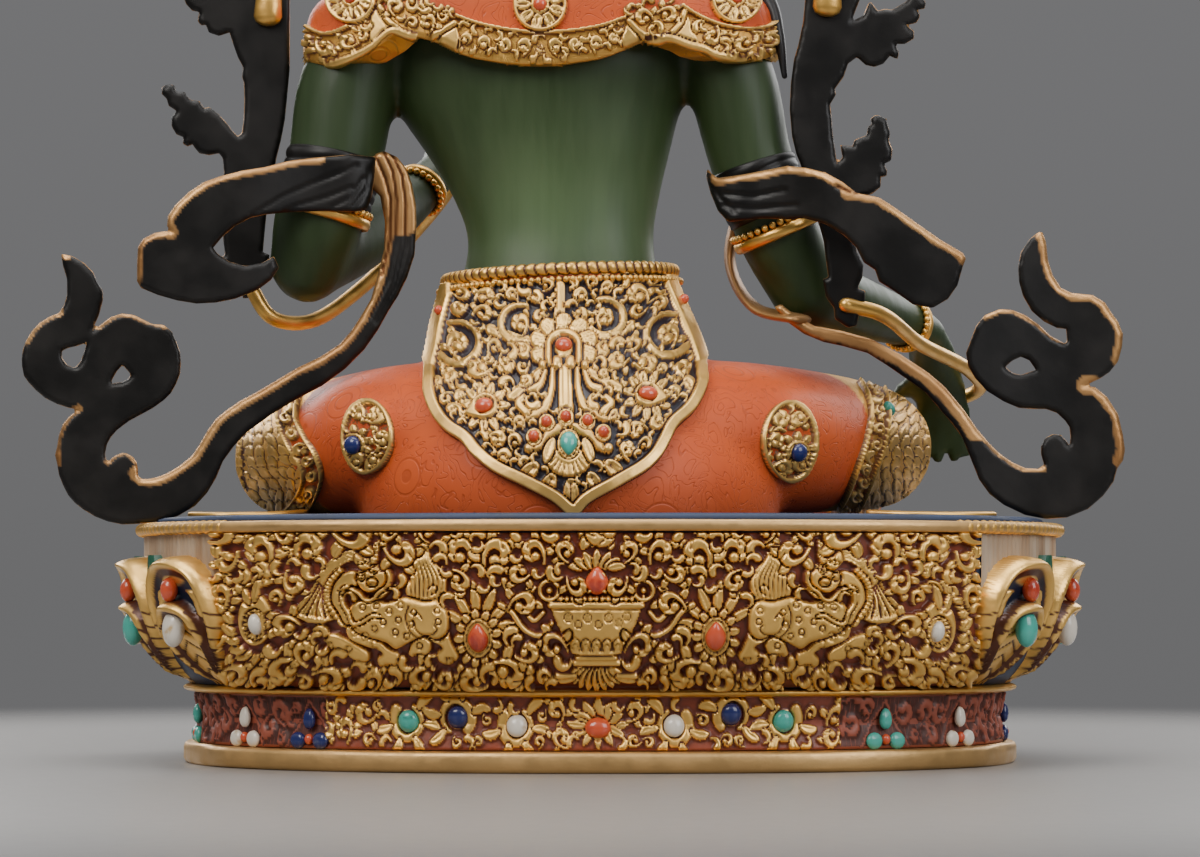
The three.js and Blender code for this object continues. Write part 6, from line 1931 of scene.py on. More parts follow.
def paint_drop(r, x, y, s):
    """Fluted petals round a drop of coral, and a spray of comb-cut flame leaves"""
    for k in range(6):
        a = -math.pi / 2 + (k - 2.2) * 0.42 * s
        r.leaf(x + 15 * math.cos(a), y + 20 * math.sin(a), 30 - 3.0 * abs(k - 2), 5.4, a,
               0.30 * (k - 2) / 3 * s, 0.9, comb=4)
    paint_wreath(r, arc(x, y, 19, -60 if s < 0 else 240, 200 if s < 0 else -20, 60, 23), 11, 11, 4.4,
                 1 if s < 0 else -1)
    r.flutes(x, y, 13.5, 17.5, 13, 8.5, 4.2, 1.0)
    r.setting(x, y, (14.5, 19.0), (12.0, 16.0), 1.1, 0.72)


def paint_shell(r, x, y, s):
    """A beaded oval in a wreath of flame leaves"""
    paint_wreath(r, arc(x, y - 5, 23, 120 if s < 0 else 60, -110 if s < 0 else 290, 60, 34), 13, 13, 5.0,
                 1 if s < 0 else -1)
    r.area(arc(x, y - 5, 16.5, 0, 354, 22, 25), 1.0, 3.0)
    r.leaf(x, y - 20, 22, 4.2, -math.pi / 2, 0.35 * s, 1.1, vein=0.3)
    r.leaf(x - 5 * s, y - 18, 16, 3.4, -math.pi / 2 - 0.5 * s, 0.4 * s, 1.05, vein=0.3)
    r.dome(x, y, 11.5, 15.0, 0.7)
    for k in range(20):
        a = 2 * math.pi * k / 20
        r.dome(x + 10.0 * math.cos(a), y + 13.4 * math.sin(a), 1.5, 1.5, 1.0, gap=0.7)


PANEL_STONES = [
    ("coral", 478.7, 636.7, 10.5, 14.5), ("coral", 715.0, 635.0, 10.5, 14.5),
    ("coral", 597.0, 581.0, 11.5, 13.5), ("shell", 259.0, 623.0, 8.0, 11.0),
    ("shell", 934.0, 630.0, 8.0, 11.0),
]
PANEL_NODES = (
    "panel_coral_left", "panel_coral_right", "offering_coral", "panel_shell_left", "panel_shell_right",
)


PANEL_SCROLLS = [
    (311, 549, 18, 2.6, 1), (263, 552, 19, 0.4, -1), (402, 552, 17, 2.8, -1), (231, 560, 14, 0.0, 1),
    (460, 553, 17, 0.5, -1), (497, 556, 19, 2.8, 1), (534, 553, 15, 0.2, -1), (566, 551, 12, 2.0, 1),
    (238, 672, 14, 4.0, 1), (288, 668, 18, 5.2, -1), (330, 676, 16, 4.2, 1), (424, 674, 15, 5.0, -1),
    (508, 670, 18, 4.4, 1), (374, 676, 12, 1.0, -1), (224, 596, 14, 0.6, -1), (523, 604, 15, 3.5, 1),
    (308, 650, 13, 2.0, 1), (474, 676, 15, 1.0, 1), (297, 582, 13, 3.6, -1),
]


def build_panel(fine):
    r = Relief((212, 532, 978, 693), 1.35 if fine else 2.0, gap=2.0)
    m = PANEL_MIDDLE
    for x, y, s in ((259, 623, -1), (935, 630, 1)):
        paint_shell(r, x, y, -s)
    paint_drop(r, 478.7, 636.7, 1)
    paint_drop(r, 715.0, 635.0, -1)
    for k in range(-3, 4):
        r.leaf(m + k * 3.5, 572 - abs(k), 19 - 1.2 * abs(k), 4.8, -math.pi / 2 + k * 0.40, 0.15 * k, 0.9,
               vein=0.25)
    paint_vase(r)
    for s in (1, -1):
        paint_lion(r, s)
    for s in (1, -1):
        for x, y, size, turn, hand in PANEL_SCROLLS:
            r.spiral(m + s * (x - m), y, 1.15 * size, turn if s > 0 else math.pi - turn, hand * s, 1.0,
                     lobes=3)
    r.fill([24, 20, 17, 14.5, 12.5, 10.5, 9.0, 7.6, 6.4, 5.4], lambda X,
           Y: (Y < 687) & (X > 213) & (X < 977), 5, mirror=m, tight=0.78)
    r.stroke([(212, 689.5), (978, 689.5)], 2.2, 0.8, gap=1.0)
    z = np.linspace(BOWL_BASE - 0.5, BOWL_TOP + 0.5, 50)
    s = np.linspace(-PANEL_EDGE - 16, PANEL_EDGE + 16, 480)
    wall = swept([[i, h] for i, h in zip(bowl_inset(np.clip(z, BOWL_BASE, BOWL_TOP)), z)], s=s)
    tree = sheet_of(wall).tree()
    lay("panel_relief", r, tree, RED_GROUND, 2.7, 0.6, soften=1.5, lift=0.25)
    for (kind, x, y, rx, ry), node in zip(PANEL_STONES, PANEL_NODES):
        stone_piece(node, kind, tree, x, y, rx, ry, 1.4, tip=kind == "coral")


def spot_on(tree, x, y):
    """Where a pixel's ray meets the surface: place, side, outward and up directions, millimetres a pixel"""
    d = rays(np.array(float(x)), np.array(float(y)))
    place, normal, _, far = tree.ray_cast(EYE.tolist(), d.tolist())
    normal = np.array(normal)
    normal = unit(normal * np.sign(normal @ -d))
    side = unit(np.cross(normal, [0, 0, 1.0]))
    return np.array(place), side, normal, unit(np.cross(side, normal)), far / FOCAL


def stone_piece(node, kind, tree, x, y, rx, ry, proud, tip=False, lean=0.0, thick=2.4):
    """A cabochon seen at a pixel, set on what carries it; with a tip it is a drop"""
    place, side, normal, up, scale = spot_on(tree, x, y)
    turn = np.radians(np.linspace(-86, 86, 17))[:, None]
    angle = around(40)
    a = np.cos(turn) * np.cos(angle)
    b = np.cos(turn) * np.sin(angle)
    if tip:
        a = a * (1 - 0.38 * np.clip(b, 0, 1) ** 1.5)
        b = b * (1 + 0.10 * np.clip(b, 0, 1) ** 3)
    c, s = math.cos(lean), math.sin(lean)
    across, high = (a * rx * c - b * ry * s) * scale, (a * rx * s + b * ry * c) * scale
    out = np.sin(turn) * thick + proud + 0 * angle
    points = place + side * across[..., None] + up * high[..., None] + normal * out[..., None]
    make(node + "_stone", loft(points), STONES[kind], kind, node)


def stone_bead(name, kind, tree, x, y, rx, ry, proud):
    """A small bead of stone seen at a pixel"""
    place, side, normal, up, scale = spot_on(tree, x, y)
    bead = ball(0, 0, 0, rx * scale, 1.8, ry * scale)
    make(name, placed(bead, place + normal * proud, side, normal, up), STONES[kind], kind)


# Foot drum: its scrolls are painted by length along the plan and height, in millimetres
DRUM_STONES = [
    ("turquoise", 409, 721), ("lapis", 458, 717), ("shell", 517, 726), ("coral", 598, 728),
    ("shell", 674, 726), ("lapis", 731, 714), ("turquoise", 783, 721),
]
DRUM_NODES = (
    "band_turquoise_left", "band_lapis_left", "band_shell_left", "band_coral", "band_shell_right",
    "band_lapis_right", "band_turquoise_right",
)
TRIPLETS = [
    ("turquoise", 208), ("shell", 250), ("lapis", 313), ("turquoise", 882), ("shell", 955), ("lapis", 1001),
]


DRUM_MIDDLE = 14.0


def drum_place(px, py):
    """Length along the plan and height of a pixel on the back of the drum"""
    s = np.linspace(-230, 230, 2001)
    x, _ = seen(drum_wall(s, np.full(len(s), DRUM_MIDDLE)))
    order = np.argsort(x)
    at = float(np.interp(px, x[order], s[order]))
    point = drum_wall(np.array([at]), np.array([DRUM_MIDDLE]))[0]
    return at, float(at_depth(np.array(px), np.array(py), np.array(point[1]))[2])


GOLD_ENDS = (835, 330)
FRONT_TRIPLETS = 15
TRIPLET_LEVEL = 10.6


def gold_ends():
    """Lengths along the plan where the gilded scroll of the back begins and ends"""
    return [drum_place(px, 720)[0] for px in GOLD_ENDS]


def on_band(X, Y):
    """Which points lie inside the borders of the foot drum"""
    return (Y > DRUM_BASE + 0.3) & (Y < DRUM_TOP - 0.3)


def paint_hook(r, s, z, up, hand):
    """A thick stem that hooks round a stone, with fingers of leaf on its back"""
    r.tapered(arc(s, z, 4.9, 90 * up - 150 * hand, 90 * up + 130 * hand, 20), 0.8, 2.0, 1.0)
    for i in range(5):
        a = math.radians(90 * up - 130 * hand + 52 * i * hand)
        x, y = s + 5.4 * math.cos(a), z + 5.4 * math.sin(a)
        r.leaf(x, y, 5.6, 1.7, a - 0.5 * hand, 1.0 * hand, 0.9, vein=0.3)


def paint_fan(r, s, z):
    """Leaves above and below the middle stone"""
    for i in range(-3, 4):
        length, a = 7.4 - 0.5 * abs(i), math.pi / 2 - i * 0.42
        r.leaf(s + i * 0.8, z + 0.5, length, 1.9, a, -0.2 * i, 0.9, vein=0.3)
        r.leaf(s + i * 1.2, z + 1.0, 6.0, 1.4, -math.pi / 2 + i * 0.45, 0.2 * i, 0.85, vein=0.3)


def build_drum(fine):
    """The gilded scroll of the back with its seven inlaid stones"""
    first, last = gold_ends()
    r = Relief((first - 1, DRUM_BASE, last + 1, DRUM_TOP), 0.44 if fine else 0.6, gap=0.55)
    spots = [drum_place(px, py) for _, px, py in DRUM_STONES]
    for k, (s, z) in enumerate(spots):
        if k == 3:
            paint_fan(r, s, z)
        else:
            paint_hook(r, s, z, 1 if k % 2 else -1, 1 if k < 3 else -1)
    for s, z in spots:
        r.dome(s, z, 3.0, 3.6, 0.5, gap=0.4)
    r.fill([5.0, 4.2, 3.6, 3.0, 2.5, 2.1, 1.75], on_band, 9)
    sheet = raised(drum_wall(*np.meshgrid(r.x, r.y)), r, 1.5, 2.2, sink=0.2)
    make("drum_scroll", sheet, RED_GROUND, "gilt_gold")
    tree = sheet.tree()
    for (kind, px, py), node in zip(DRUM_STONES, DRUM_NODES):
        wide = (13.0, 10.5) if kind == "coral" else (10.5, 11.5)
        stone_piece(node, kind, tree, px, py, *wide, 0.3, thick=2.2)


def triplet_places():
    """Lengths along the plan and kinds of the triplets of stones on the sides and the front"""
    kinds = [kind for kind, _ in TRIPLETS]
    places = [drum_place(px, 721)[0] % OVAL_LENGTH for _, px in TRIPLETS]
    half = OVAL_LENGTH / 2
    first, last = max(p for p in places if p < half), min(p for p in places if p > half)
    for k in range(1, FRONT_TRIPLETS):
        places.append(mix(first, last, k / FRONT_TRIPLETS))
        kinds.append(("shell", "lapis", "turquoise")[k % 3])
    return places, kinds


def build_red_scroll(places, fine):
    """Red scrolls on the sides and the front of the foot drum"""
    first, last = gold_ends()
    r = Relief((last, DRUM_BASE, OVAL_LENGTH + first, DRUM_TOP), 0.74 if fine else 0.9, gap=0.6)
    low, top = DRUM_BASE + 0.4, DRUM_TOP - 1.2
    for s in places:
        r.stroke([(s - 9.5, low), (s, top), (s + 9.5, low)], 0.55, 0.5, gap=0.3)

    def keep(X, Y):
        clear = np.min([np.hypot((X - s) / 1.25, Y - 10.4) for s in places], axis=0) > 3.9
        return on_band(X, Y) & clear

    r.fill([5.2, 4.4, 3.7, 3.1, 2.6, 2.1], keep, 21)
    wall = drum_wall(*np.meshgrid(r.x, r.y))
    sheet = raised(wall, r, 1.1, 2.0, sink=0.2, outward=unit(wall * [1, 1, 0]))
    make("drum_red_scroll", sheet, BRICK, "red_paint")


def drop_of(spot, side, out, upright):
    """An upright or lying stone of a triplet, with a cut down its middle"""
    drop = ball(0, 0, 0, 2.0 if upright else 2.7, 1.5, 3.1 if upright else 2.5, 16, 9)
    p = drop.points
    p[:, 2] *= 1 + 0.18 * np.sign(p[:, 2]) * upright
    p[:, 1] -= 0.35 * np.exp(-((p[:, 0] / 0.35) ** 2))
    return placed(drop, spot + out, side, out)


def build_triplets(places, kinds):
    stones = {kind: [] for kind in STONES}
    for s, kind in zip(places, kinds):
        place = drum_wall(np.array([s, s + 0.5]), np.full(2, TRIPLET_LEVEL))
        side = unit(place[1] - place[0])
        out = np.array([side[1], -side[0], 0])
        out = out * np.sign(out[:2] @ place[0, :2])
        for across, up in ((0, 3.9), (-3.9, -1.9), (3.9, -1.9)):
            spot = place[0] + side * across + np.array([0, 0, up])
            stones[kind].append(drop_of(spot, side, out, across == 0))
        middle = place[0] + out * 1.1 + np.array([0, 0, -1.5])
        stones["coral"].append(turned_ball(middle, side, out, 1.35, 1.4, 1.6))
    for kind, balls in stones.items():
        make("foot_" + kind, merged(balls), STONES[kind], kind)


def sorted_rim():
    """Pixels across the rim and the lengths along the plan behind them"""
    s = np.linspace(-235, 235, 2001)
    x, _ = seen(np.concatenate([oval(s, np.zeros(len(s))), np.full((len(s), 1), 71.0)], -1))
    order = np.argsort(x)
    return x[order], s[order]


ROPE_INSET, ROPE_LEVEL = 1.75, 70.85


def build_rim(fine):
    # A rope round the sides and the front, beyond the plain band of the back
    edge = [abs(float(np.interp(px, *sorted_rim()))) for px in (215, 970)]
    s = np.arange(edge[0] - 2, OVAL_LENGTH - edge[1] + 2, 0.6 if fine else 0.9)
    turn = around(12)
    twist = np.abs(np.sin(np.pi * s[None, :] / 3.3 + turn[:, None] * 0.55))
    r = 1.50 + 0.65 * twist**0.7
    centre = oval(s, np.full(len(s), ROPE_INSET))
    out = unit(centre)
    p = centre[None] + out[None] * (r * np.cos(turn)[:, None])[..., None]
    z = ROPE_LEVEL + r * np.sin(turn)[:, None] * 0.95
    rings = np.concatenate([p, z[..., None]], -1).transpose(1, 0, 2)
    shape = loft(rings)
    # Painted shade between the twists of the rope
    shape.masks = {"cavity": np.append(np.clip(0.75 - twist.T.ravel() * 1.4, 0, 1), [0, 0])}
    make("rim_rope", shape, GOLD, "gilt_gold")
    # Ribbed wall of stamens above the petals
    s = np.arange(PANEL_EDGE + 1, OVAL_LENGTH - PANEL_EDGE - 1, 0.5 if fine else 0.8)
    z = np.linspace(46, BOWL_TOP, 8)
    S, Z = np.meshgrid(s, z)
    wobble = 0.35 * np.sin(S / 3.1) + 0.25 * np.sin(S / 1.7 + 1)
    rib = np.abs(np.sin(np.pi * (S + wobble) / 2.3))
    base = wall_grid(S, Z)
    out = unit(base * [1, 1, 0])
    points = base + out * (0.15 + 0.55 * rib**0.6)[..., None]
    # A mask of painted shade between the ribs and at the foot, which the ivory paint does not read
    streak = np.clip(0.9 - rib * 1.7, 0, 1) * (0.6 + 0.4 * np.sin(S * 0.9) * np.sin(S * 0.23))
    foot = smooth((56 - Z) / 8) * 0.6
    shape = sheet_of(points, cavity=np.clip(streak + foot, 0, 1).ravel())
    make("stamens", shape, IVORY, "ivory_paint")


# Apron of the back, painted in pixels of the back view
APRON_EDGE = [
    (442, 295), (434, 325), (430, 347), (424, 375), (425, 398), (436, 421), (447, 433), (462, 443),
    (473, 456), (493, 472), (524, 487), (551, 501), (574.5, 517), (590, 503), (619, 487), (648, 470),
    (660, 458), (668, 445), (676, 429), (695, 410), (707, 386), (707, 371), (699, 343), (687, 314),
    (674, 284), (674, 262), (560, 268), (442, 276),
]
ROSETTE_X, CANOPY_X, BARS_X = 563.8, 568.7, 565
ARCH_STONES = [(534.6, 438.7), (547, 425), (566, 420), (587, 423.7), (602.7, 434.8)]
SIDE_STONES = [(446, 314), (677, 303.5)]
APRON_NODES = [
    ("apron_coral_centre", "coral", 563.8, 350, 8.5, 9, 0, False),
    ("apron_coral_left", "coral", 486, 409.5, 9.5, 8.5, 0, False),
    ("apron_coral_right", "coral", 646.5, 398, 10.0, 8.0, 0, False),
    ("apron_turquoise", "turquoise", 568.7, 445.5, 9, 12, math.pi, True),
]


APRON_SCROLLS = [
    (487, 299, 13, 3.4, 1), (513, 297, 10, 0.2, -1), (536, 300, 11, 3.4, 1), (580, 298, 11, 0.2, -1),
    (606, 290, 10, 3.0, 1), (636, 297, 15, 0.0, -1), (462, 310, 11, 0.3, 1), (541, 318, 10, 0.6, 1),
    (580, 316, 10, 2.6, -1), (481, 371, 15, 0.8, 1), (508, 366, 12, 3.4, -1), (644, 366, 15, 2.4, -1),
    (617, 363, 13, 0.6, 1), (450, 378, 12, 1.6, -1), (682, 372, 13, 1.8, 1), (438, 385, 8, 4.0, 1),
    (524, 354, 11, 4.6, 1), (603, 352, 11, 4.8, -1), (526, 384, 10, 1.8, -1), (604, 377, 8, 1.4, 1),
    (498, 441, 12, 3.6, 1), (520, 425, 9, 0.4, -1), (636, 432, 12, 5.6, -1), (614, 419, 9, 2.8, 1),
    (505, 458, 11, 1.0, -1), (627, 452, 12, 2.2, 1), (656, 424, 11, 0.3, 1), (526, 464, 10, 1.8, 1),
    (607, 466, 9, 1.4, -1), (462, 400, 9, 2, 1), (672, 396, 10, 1.0, -1), (660, 372, 8, 3.0, 1),
]


APRON_RINGS = [(459.7, 345, 21, 1), (666, 337, 21, -1), (521, 326, 19, -1), (603.5, 320, 19, 1)]


APRON_BARS = [
    (((560, 288), (559.5, 325)), (5.2, 6.0)), (((565, 370), (566, 411)), (6.0, 7.8)),
    (((541, 374), (512, 399)), (4.6, 5.0)), (((587, 373), (620, 391)), (4.6, 5.0)),
    (((532, 348), (492, 332)), (5.0, 5.6)), (((596, 346), (630, 328)), (5.0, 5.6)),
]


def paint_bars(r):
    """Bars that leave the middle rosette, and sickle leaves beside the lower one"""
    for line, w in APRON_BARS:
        r.stroke(line, w, 1.0, power=5)
        a, b = np.array(line, float)
        side = unit((b - a)[::-1] * [1, -1]) * w[0] * 0.62
        r.etch([a + side, b + side], 0.7, 0.3)
        r.etch([a - side, b - side], 0.7, 0.3)
    for s in (-1, 1):
        r.tapered(curve((BARS_X + s * 12, 372), (BARS_X + s * 14, 396), (BARS_X + s * 22, 412),
                        (BARS_X + s * 40, 418)), 2.4, 6.5, 1.0, power=4)
        r.tapered(curve((BARS_X + s * 19, 374), (BARS_X + s * 25, 388), (BARS_X + s * 34, 392)), 2.4, 4.5,
                  0.95)
        r.tapered(curve((BARS_X + s * 38, 414), (BARS_X + s * 46, 406), (BARS_X + s * 40, 400)), 5.0, 3.0,
                  1.0)


def paint_rings(r):
    """Great rings with comb lines, which hold bulbed scrolls, and the scrolls between them"""
    for x, y, size, hand in APRON_RINGS:
        band = arc(x, y, size, 90 - 200 * hand, 90 + 70 * hand, 40)
        r.tapered(band, 3.0, 4.6, 1.0, power=4)
        for d in (-1.5, 1.5):
            r.etch(arc(x, y, size + d, 90 - 190 * hand, 90 + 60 * hand, 30), 0.65, 0.28)
        r.spiral(x, y + 1, size * 0.72, math.radians(90 + 60 * hand), hand, 1.05, turns=0.85, lobes=2,
                 wide=0.36)
    for x, y, size, turn, hand in APRON_SCROLLS:
        r.spiral(x, y, size, turn, hand, 1.0, wide=0.36)


def paint_drop_rosettes(r):
    """Combed petals round the two drops"""
    for x, y, lean in ((486, 409.5, 2.75), (646.5, 398, 0.20)):
        r.flutes(x, y, 10, 10, 11, 12.5, 4.4, 1.0, start=0.2)
        for k in range(11):
            a = 0.2 + 2 * np.pi * (k + 0.5) / 11
            for i in (-0.11, 0.0, 0.11):
                r.spoke(x, y, 15, 22, (a + i, a + i), 0.55, 0.3)
        c, s = math.cos(lean), math.sin(lean)
        drop = [(x + c * a - s * b, y + s * a + c * b) for a, b in [(21, 0), (12, 7), (3, 11.5), (-6, 11.5),
                                                                    (-12, 6), (-13.5, 0), (-12, -6),
                                                                    (-6, -11.5), (3, -11.5), (12, -7)]]
        r.area(drop, 1.2, 2.4)
        r.dome(x - c, y - s, 9.8, 8.6, 0.75, turn=lean, gap=0.1)


def paint_middle_rosette(r):
    """Seven combed petals and an arch"""
    for k in range(-3, 4):
        a = math.radians(-90 + 37 * k)
        c, s = math.cos(a), math.sin(a)
        x, y = ROSETTE_X + 23 * c, 349 + 22 * s
        r.stroke([(x - 3 * c, y - 3 * s), (x + 3 * c, y + 3 * s)], [8.4, 8.8], 1.08, power=4)
        for i in (-0.2, -0.07, 0.07, 0.2):
            r.spoke(ROSETTE_X, 349, 20, 30, (a + i, a + i * 0.9), 0.6, 0.3)
    for s in (-1, 1):
        r.dome(ROSETTE_X + 7 * s, 365, 6.2, 6.8, 1.1)
    r.stroke(np.vstack([[(543, 369), (548.5, 366)], arc(ROSETTE_X, 350, 15, 170, 370, 24, 14),
                        [(579, 366), (584.5, 369)]]), 3.6, 1.2, gap=1.2)
    r.dome(543, 368, 4.4, 4.4, 1.2)
    r.dome(584.5, 368, 4.4, 4.4, 1.2)
    r.dome(ROSETTE_X, 350, 9.5, 9.5, 0.8, gap=0.1)


def paint_tip(r):
    """Feathered leaves down to the tip"""
    for x, y, a, length in [(571, 478, 1.571, 24), (554, 474, 2.0, 20), (589, 473, 1.15, 20),
                            (538, 464, 2.35, 20), (606, 462, 0.80, 18)]:
        r.leaf(x, y, length, 8.0, a, 0.0, 0.98)
        for i in (-0.5, -0.25, 0.0, 0.25, 0.5):
            r.spoke(x, y, 5, length * 0.95, (a + i, a + i * 0.55), 0.7, 0.4)


def paint_canopy(r):
    """The fan, the arch of stones and the setting of the turquoise"""
    fan = arc(CANOPY_X, 452, 26, 0, 180, 24, 26)
    r.area(np.vstack([fan, [(548, 450), (568, 446), (590, 450)]]), 1.1, 3.0, round_off=False)
    for k in range(13):
        a = math.radians(8 + 164 * k / 12)
        c, s = math.cos(a), math.sin(a)
        r.etch([(CANOPY_X + 15 * c, 452 + 13 * s), (CANOPY_X + 25 * c, 452 + 25 * s)], 0.65, 0.4)
    for s in (-1, 1):
        r.tapered(curve((CANOPY_X, 430), (CANOPY_X + s * 17, 434), (CANOPY_X + s * 26, 446),
                        (CANOPY_X + s * 39, 452)), 6, 4, 1.2)
        r.stroke([(CANOPY_X + s * 39, 450)], 5.0, 1.25)
        r.leaf(CANOPY_X + s * 14, 440, 22, 6.0, math.pi / 2 - s * 0.5, 0.3 * s, 1.15, comb=3)
    for x, y in ARCH_STONES:
        r.setting(x, y, (8.4, 9.0), (6.0, 6.6), 1.15, 0.8)
    r.setting(CANOPY_X, 445.5, (11.5, 15), (9.0, 12.5), 1.25, 0.85)


def build_apron(cloth, fine):
    r = Relief((420, 256, 712, 522), 1.3 if fine else 2.0, gap=1.8)
    X, Y = np.meshgrid(r.x, r.y)
    smooth_edge = curve(*APRON_EDGE[:25], count=160)
    outline = np.vstack([smooth_edge, [(676, 260), (560, 266), (442, 274)]])
    far = inside_polygon(X, Y, outline)[1]
    r.used |= far < 12.5
    for paint in (paint_bars, paint_rings, paint_drop_rosettes, paint_middle_rosette, paint_tip,
                  paint_canopy):
        paint(r)
    r.fill([12, 10.5, 9.2, 8.0, 7.0, 6.0, 5.2, 4.4], lambda X, Y: inside_polygon(X, Y, outline)[1] > 13, 3,
           tight=0.78)
    # Flat border
    border = smooth((far + 0.5) / 1.5) * smooth((13.2 - far) / 2.6)
    r.h = np.where(far < 12.4, border * 1.1, np.maximum(border * 1.1, r.h * smooth((far - 12.4) / 1.4)))
    carrier = merged(
        [Shape(cloth.points, cloth.quads, cloth.tris), trunk(APRON_HIPS, levels=60, sides=160)]).tree()
    shown = (far > -0.6) & (Y > mix(285, 271, (X - 444) / 230))
    lay("apron_relief", r, carrier, BLUE_GROUND, 2.2, 1.6, soften=2.5, lift=0.5, keep=shown, wanted=far > -5)
    for node, kind, x, y, rx, ry, lean, tip in APRON_NODES:
        stone_piece(node, kind, carrier, x, y, rx, ry, 2.1, tip=tip, lean=lean, thick=2.0)
    for k, (x, y) in enumerate(ARCH_STONES):
        stone_bead("apron_arch_%d" % k, "coral", carrier, x, y, 5.6, 6.2, 2.1)
    for k, (x, y) in enumerate(SIDE_STONES):
        stone_bead("apron_side_%d" % k, "coral", carrier, x, y, 4.2, 5.0, 2.6)


# Bangles, collar, string of beads and belt
def limb_at(knots, t):
    """Middle, direction and radii of a limb at a share of its length"""
    rows = limb_rows(knots)
    a, b, c = centripetal(rows, [t - 0.01, t, t + 0.01])
    return b[:3], unit(c[:3] - a[:3]), b[3:]


def bangle(knots, t, thick=1.5, proud=0.5, beads=0, wide=1.0):
    """A ring worn on a limb, with a row of beads beside it"""
    centre, along, radii = limb_at(knots, t)
    u = unit(np.array([1.0, 0, 0]) - along * along[0])
    v = np.cross(along, u)
    angle = around(64)
    turn = around(8)

    def at(a, out, up):
        c = u * np.cos(a)[..., None] * (
            radii[0] + out)[..., None] + v * np.sin(a)[..., None] * (radii[1] + out)[..., None]
        return centre + c + along * np.asarray(up)[..., None]

    A, T = np.meshgrid(angle, turn, indexing="ij")
    ring = at(A, proud + thick * np.cos(T), thick * wide * np.sin(T))
    shapes = [Shape(ring.reshape(-1, 3), closed_quads(64, 8))]
    if beads:
        for a in around(beads):
            spot = at(np.array(a), np.array(proud + 0.4), np.array(-thick * wide - 0.9))
            shapes.append(ball(*spot, 1.15, 1.15, 1.15, 8, 6))
    return shapes


RINGS = [
    (RIGHT_ARM, 0.735, 1.3, 0.6, 34, 1.5), (LEFT_ARM, 0.70, 1.3, 0.6, 36, 1.5),
    (RIGHT_FOREARM, 0.80, 1.2, 0.5, 26, 1.2), (LEFT_FOREARM, 0.82, 1.2, 0.5, 24, 1.2),
    (RIGHT_SHIN, 0.90, 1.3, 0.6, 24, 1.2), (LEFT_FOOT, 0.10, 1.2, 0.6, 24, 1.2),
]
COLLAR = [[15.8, 8.3, z, 17.2, 15.0] for z in (252, 257, 262)]
CHAIN = [
    (-12, -17, 246), (-8, -27, 226), (6, -28, 206), (18, -30, 196), (31, -29, 206), (46, -27, 226),
    (48, -16, 246),
]
BELT_X = 12.5


def belt_rope():
    """A feather rope round the waist"""
    A, T = np.meshgrid(around(576), around(12), indexing="ij")
    pleat = np.abs(np.sin(A * 36 + 0.9 * np.cos(T) + 0.5 * np.sin(T)))
    r = 2.05 * (0.72 + 0.30 * pleat**0.6)
    out = r * np.cos(T) * 0.85
    x, y = BELT_X + (35.6 + out) * np.cos(A), 8.6 + (25.6 + out) * np.sin(A)
    z = 150.2 - 0.045 * 36 * np.cos(A) + r * 1.02 * np.sin(T)
    rope = np.stack([x, y, z], -1).reshape(-1, 3)
    # Painted shade in the troughs between the feathers
    return Shape(rope, closed_quads(576, 12), cavity=np.clip(1.1 - pleat * 2.2, 0, 1).ravel())


def belt_bead(a):
    """A bead of the row under the rope, at angle a"""
    spot = BELT_X + 37.6 * math.cos(a), 8.7 + 27.0 * math.sin(a), 146.9 - 0.045 * 37 * math.cos(a)
    return ball(*spot, 1.0, 1.0, 1.05, 8, 6)


def buckle():
    """A flower on the front of the belt"""
    r = Relief((-9, -8, 9, 8), 0.4, gap=0.6)
    r.flutes(0, 0, 4, 4, 10, 5.5, 1.7)
    r.dome(0, 0, 4.2, 4.2, 1.2, gap=0.6)
    X, Y = np.meshgrid(r.x, r.y)
    face = np.stack([BELT_X + X, -19.0 + 0.012 * X**2 + 0 * Y, 146 + Y], -1)
    return raised(face, r, 1.6, 1.2, sink=2.5, keep=np.hypot(X, Y) < 8.2, outward=(0, -1, 0))


def build_jewels():
    """Rings of the limbs, collar, string of beads between the breasts, belt and buckle"""
    shapes = [part for ring in RINGS for part in bangle(*ring)]
    shapes += bangle(COLLAR, 0.42, 2.7, 0.0, 44, 0.9)
    shapes += [ball(*p, 1.3, 1.3, 1.3, 8, 6) for p in curve(*CHAIN, count=64)]
    shapes += [belt_bead(a) for a in around(112)] + [buckle()]
    make("jewels", merged([belt_rope()] + shapes), GOLD, "gilt_gold")
    corals = [ball(BELT_X, -20.6, 146, 2.8, 1.8, 2.8), ball(18, -31, 191, 2.6, 2.0, 3.4)]
    make("front_coral", merged(corals), CORAL, "coral")


# Skirt: medallions and hems, in pixels of the back view
MEDALLIONS = [
    (369, 437, 26, 37, 355, 445, "medallion_lapis_left"),
    (788, 441.5, 28, 40, 796, 452, "medallion_lapis_right"),
]
HEMS = [
    [(294, 388), (290, 402), (289, 420), (297, 440), (309, 458), (314, 474), (309, 492), (298, 508),
      (284, 520)],
    [(846, 358), (862, 372), (873, 390), (878, 410), (874, 440), (864, 470), (853, 498), (842, 518)],
]


MEDALLION_SCROLLS = [
    (8, -20, 13, 2.0), (-9, -22, 11, 0.5), (6, 25, 12, 4.0), (-10, 22, 10, 1.0), (14, 0, 11, 3.0),
]
LEG_BOXES = [(216, 384, 306, 522), (862, 352, 958, 522)]
SASH_ENDS = [
    [[93, 6, 76.6, 4.2, 1.1], [104, 12, 75.9, 4.4, 1.0], [116, 15, 75.7, 4.0, 1.0],
      [126, 10, 75.9, 3.0, 1.0]],
    [[-84, 12, 76.4, 4.0, 1.1], [-96, 17, 75.9, 4.6, 1.0], [-110, 15, 75.8, 4.4, 1.0],
      [-121, 8, 76.0, 3.4, 1.0]],
]


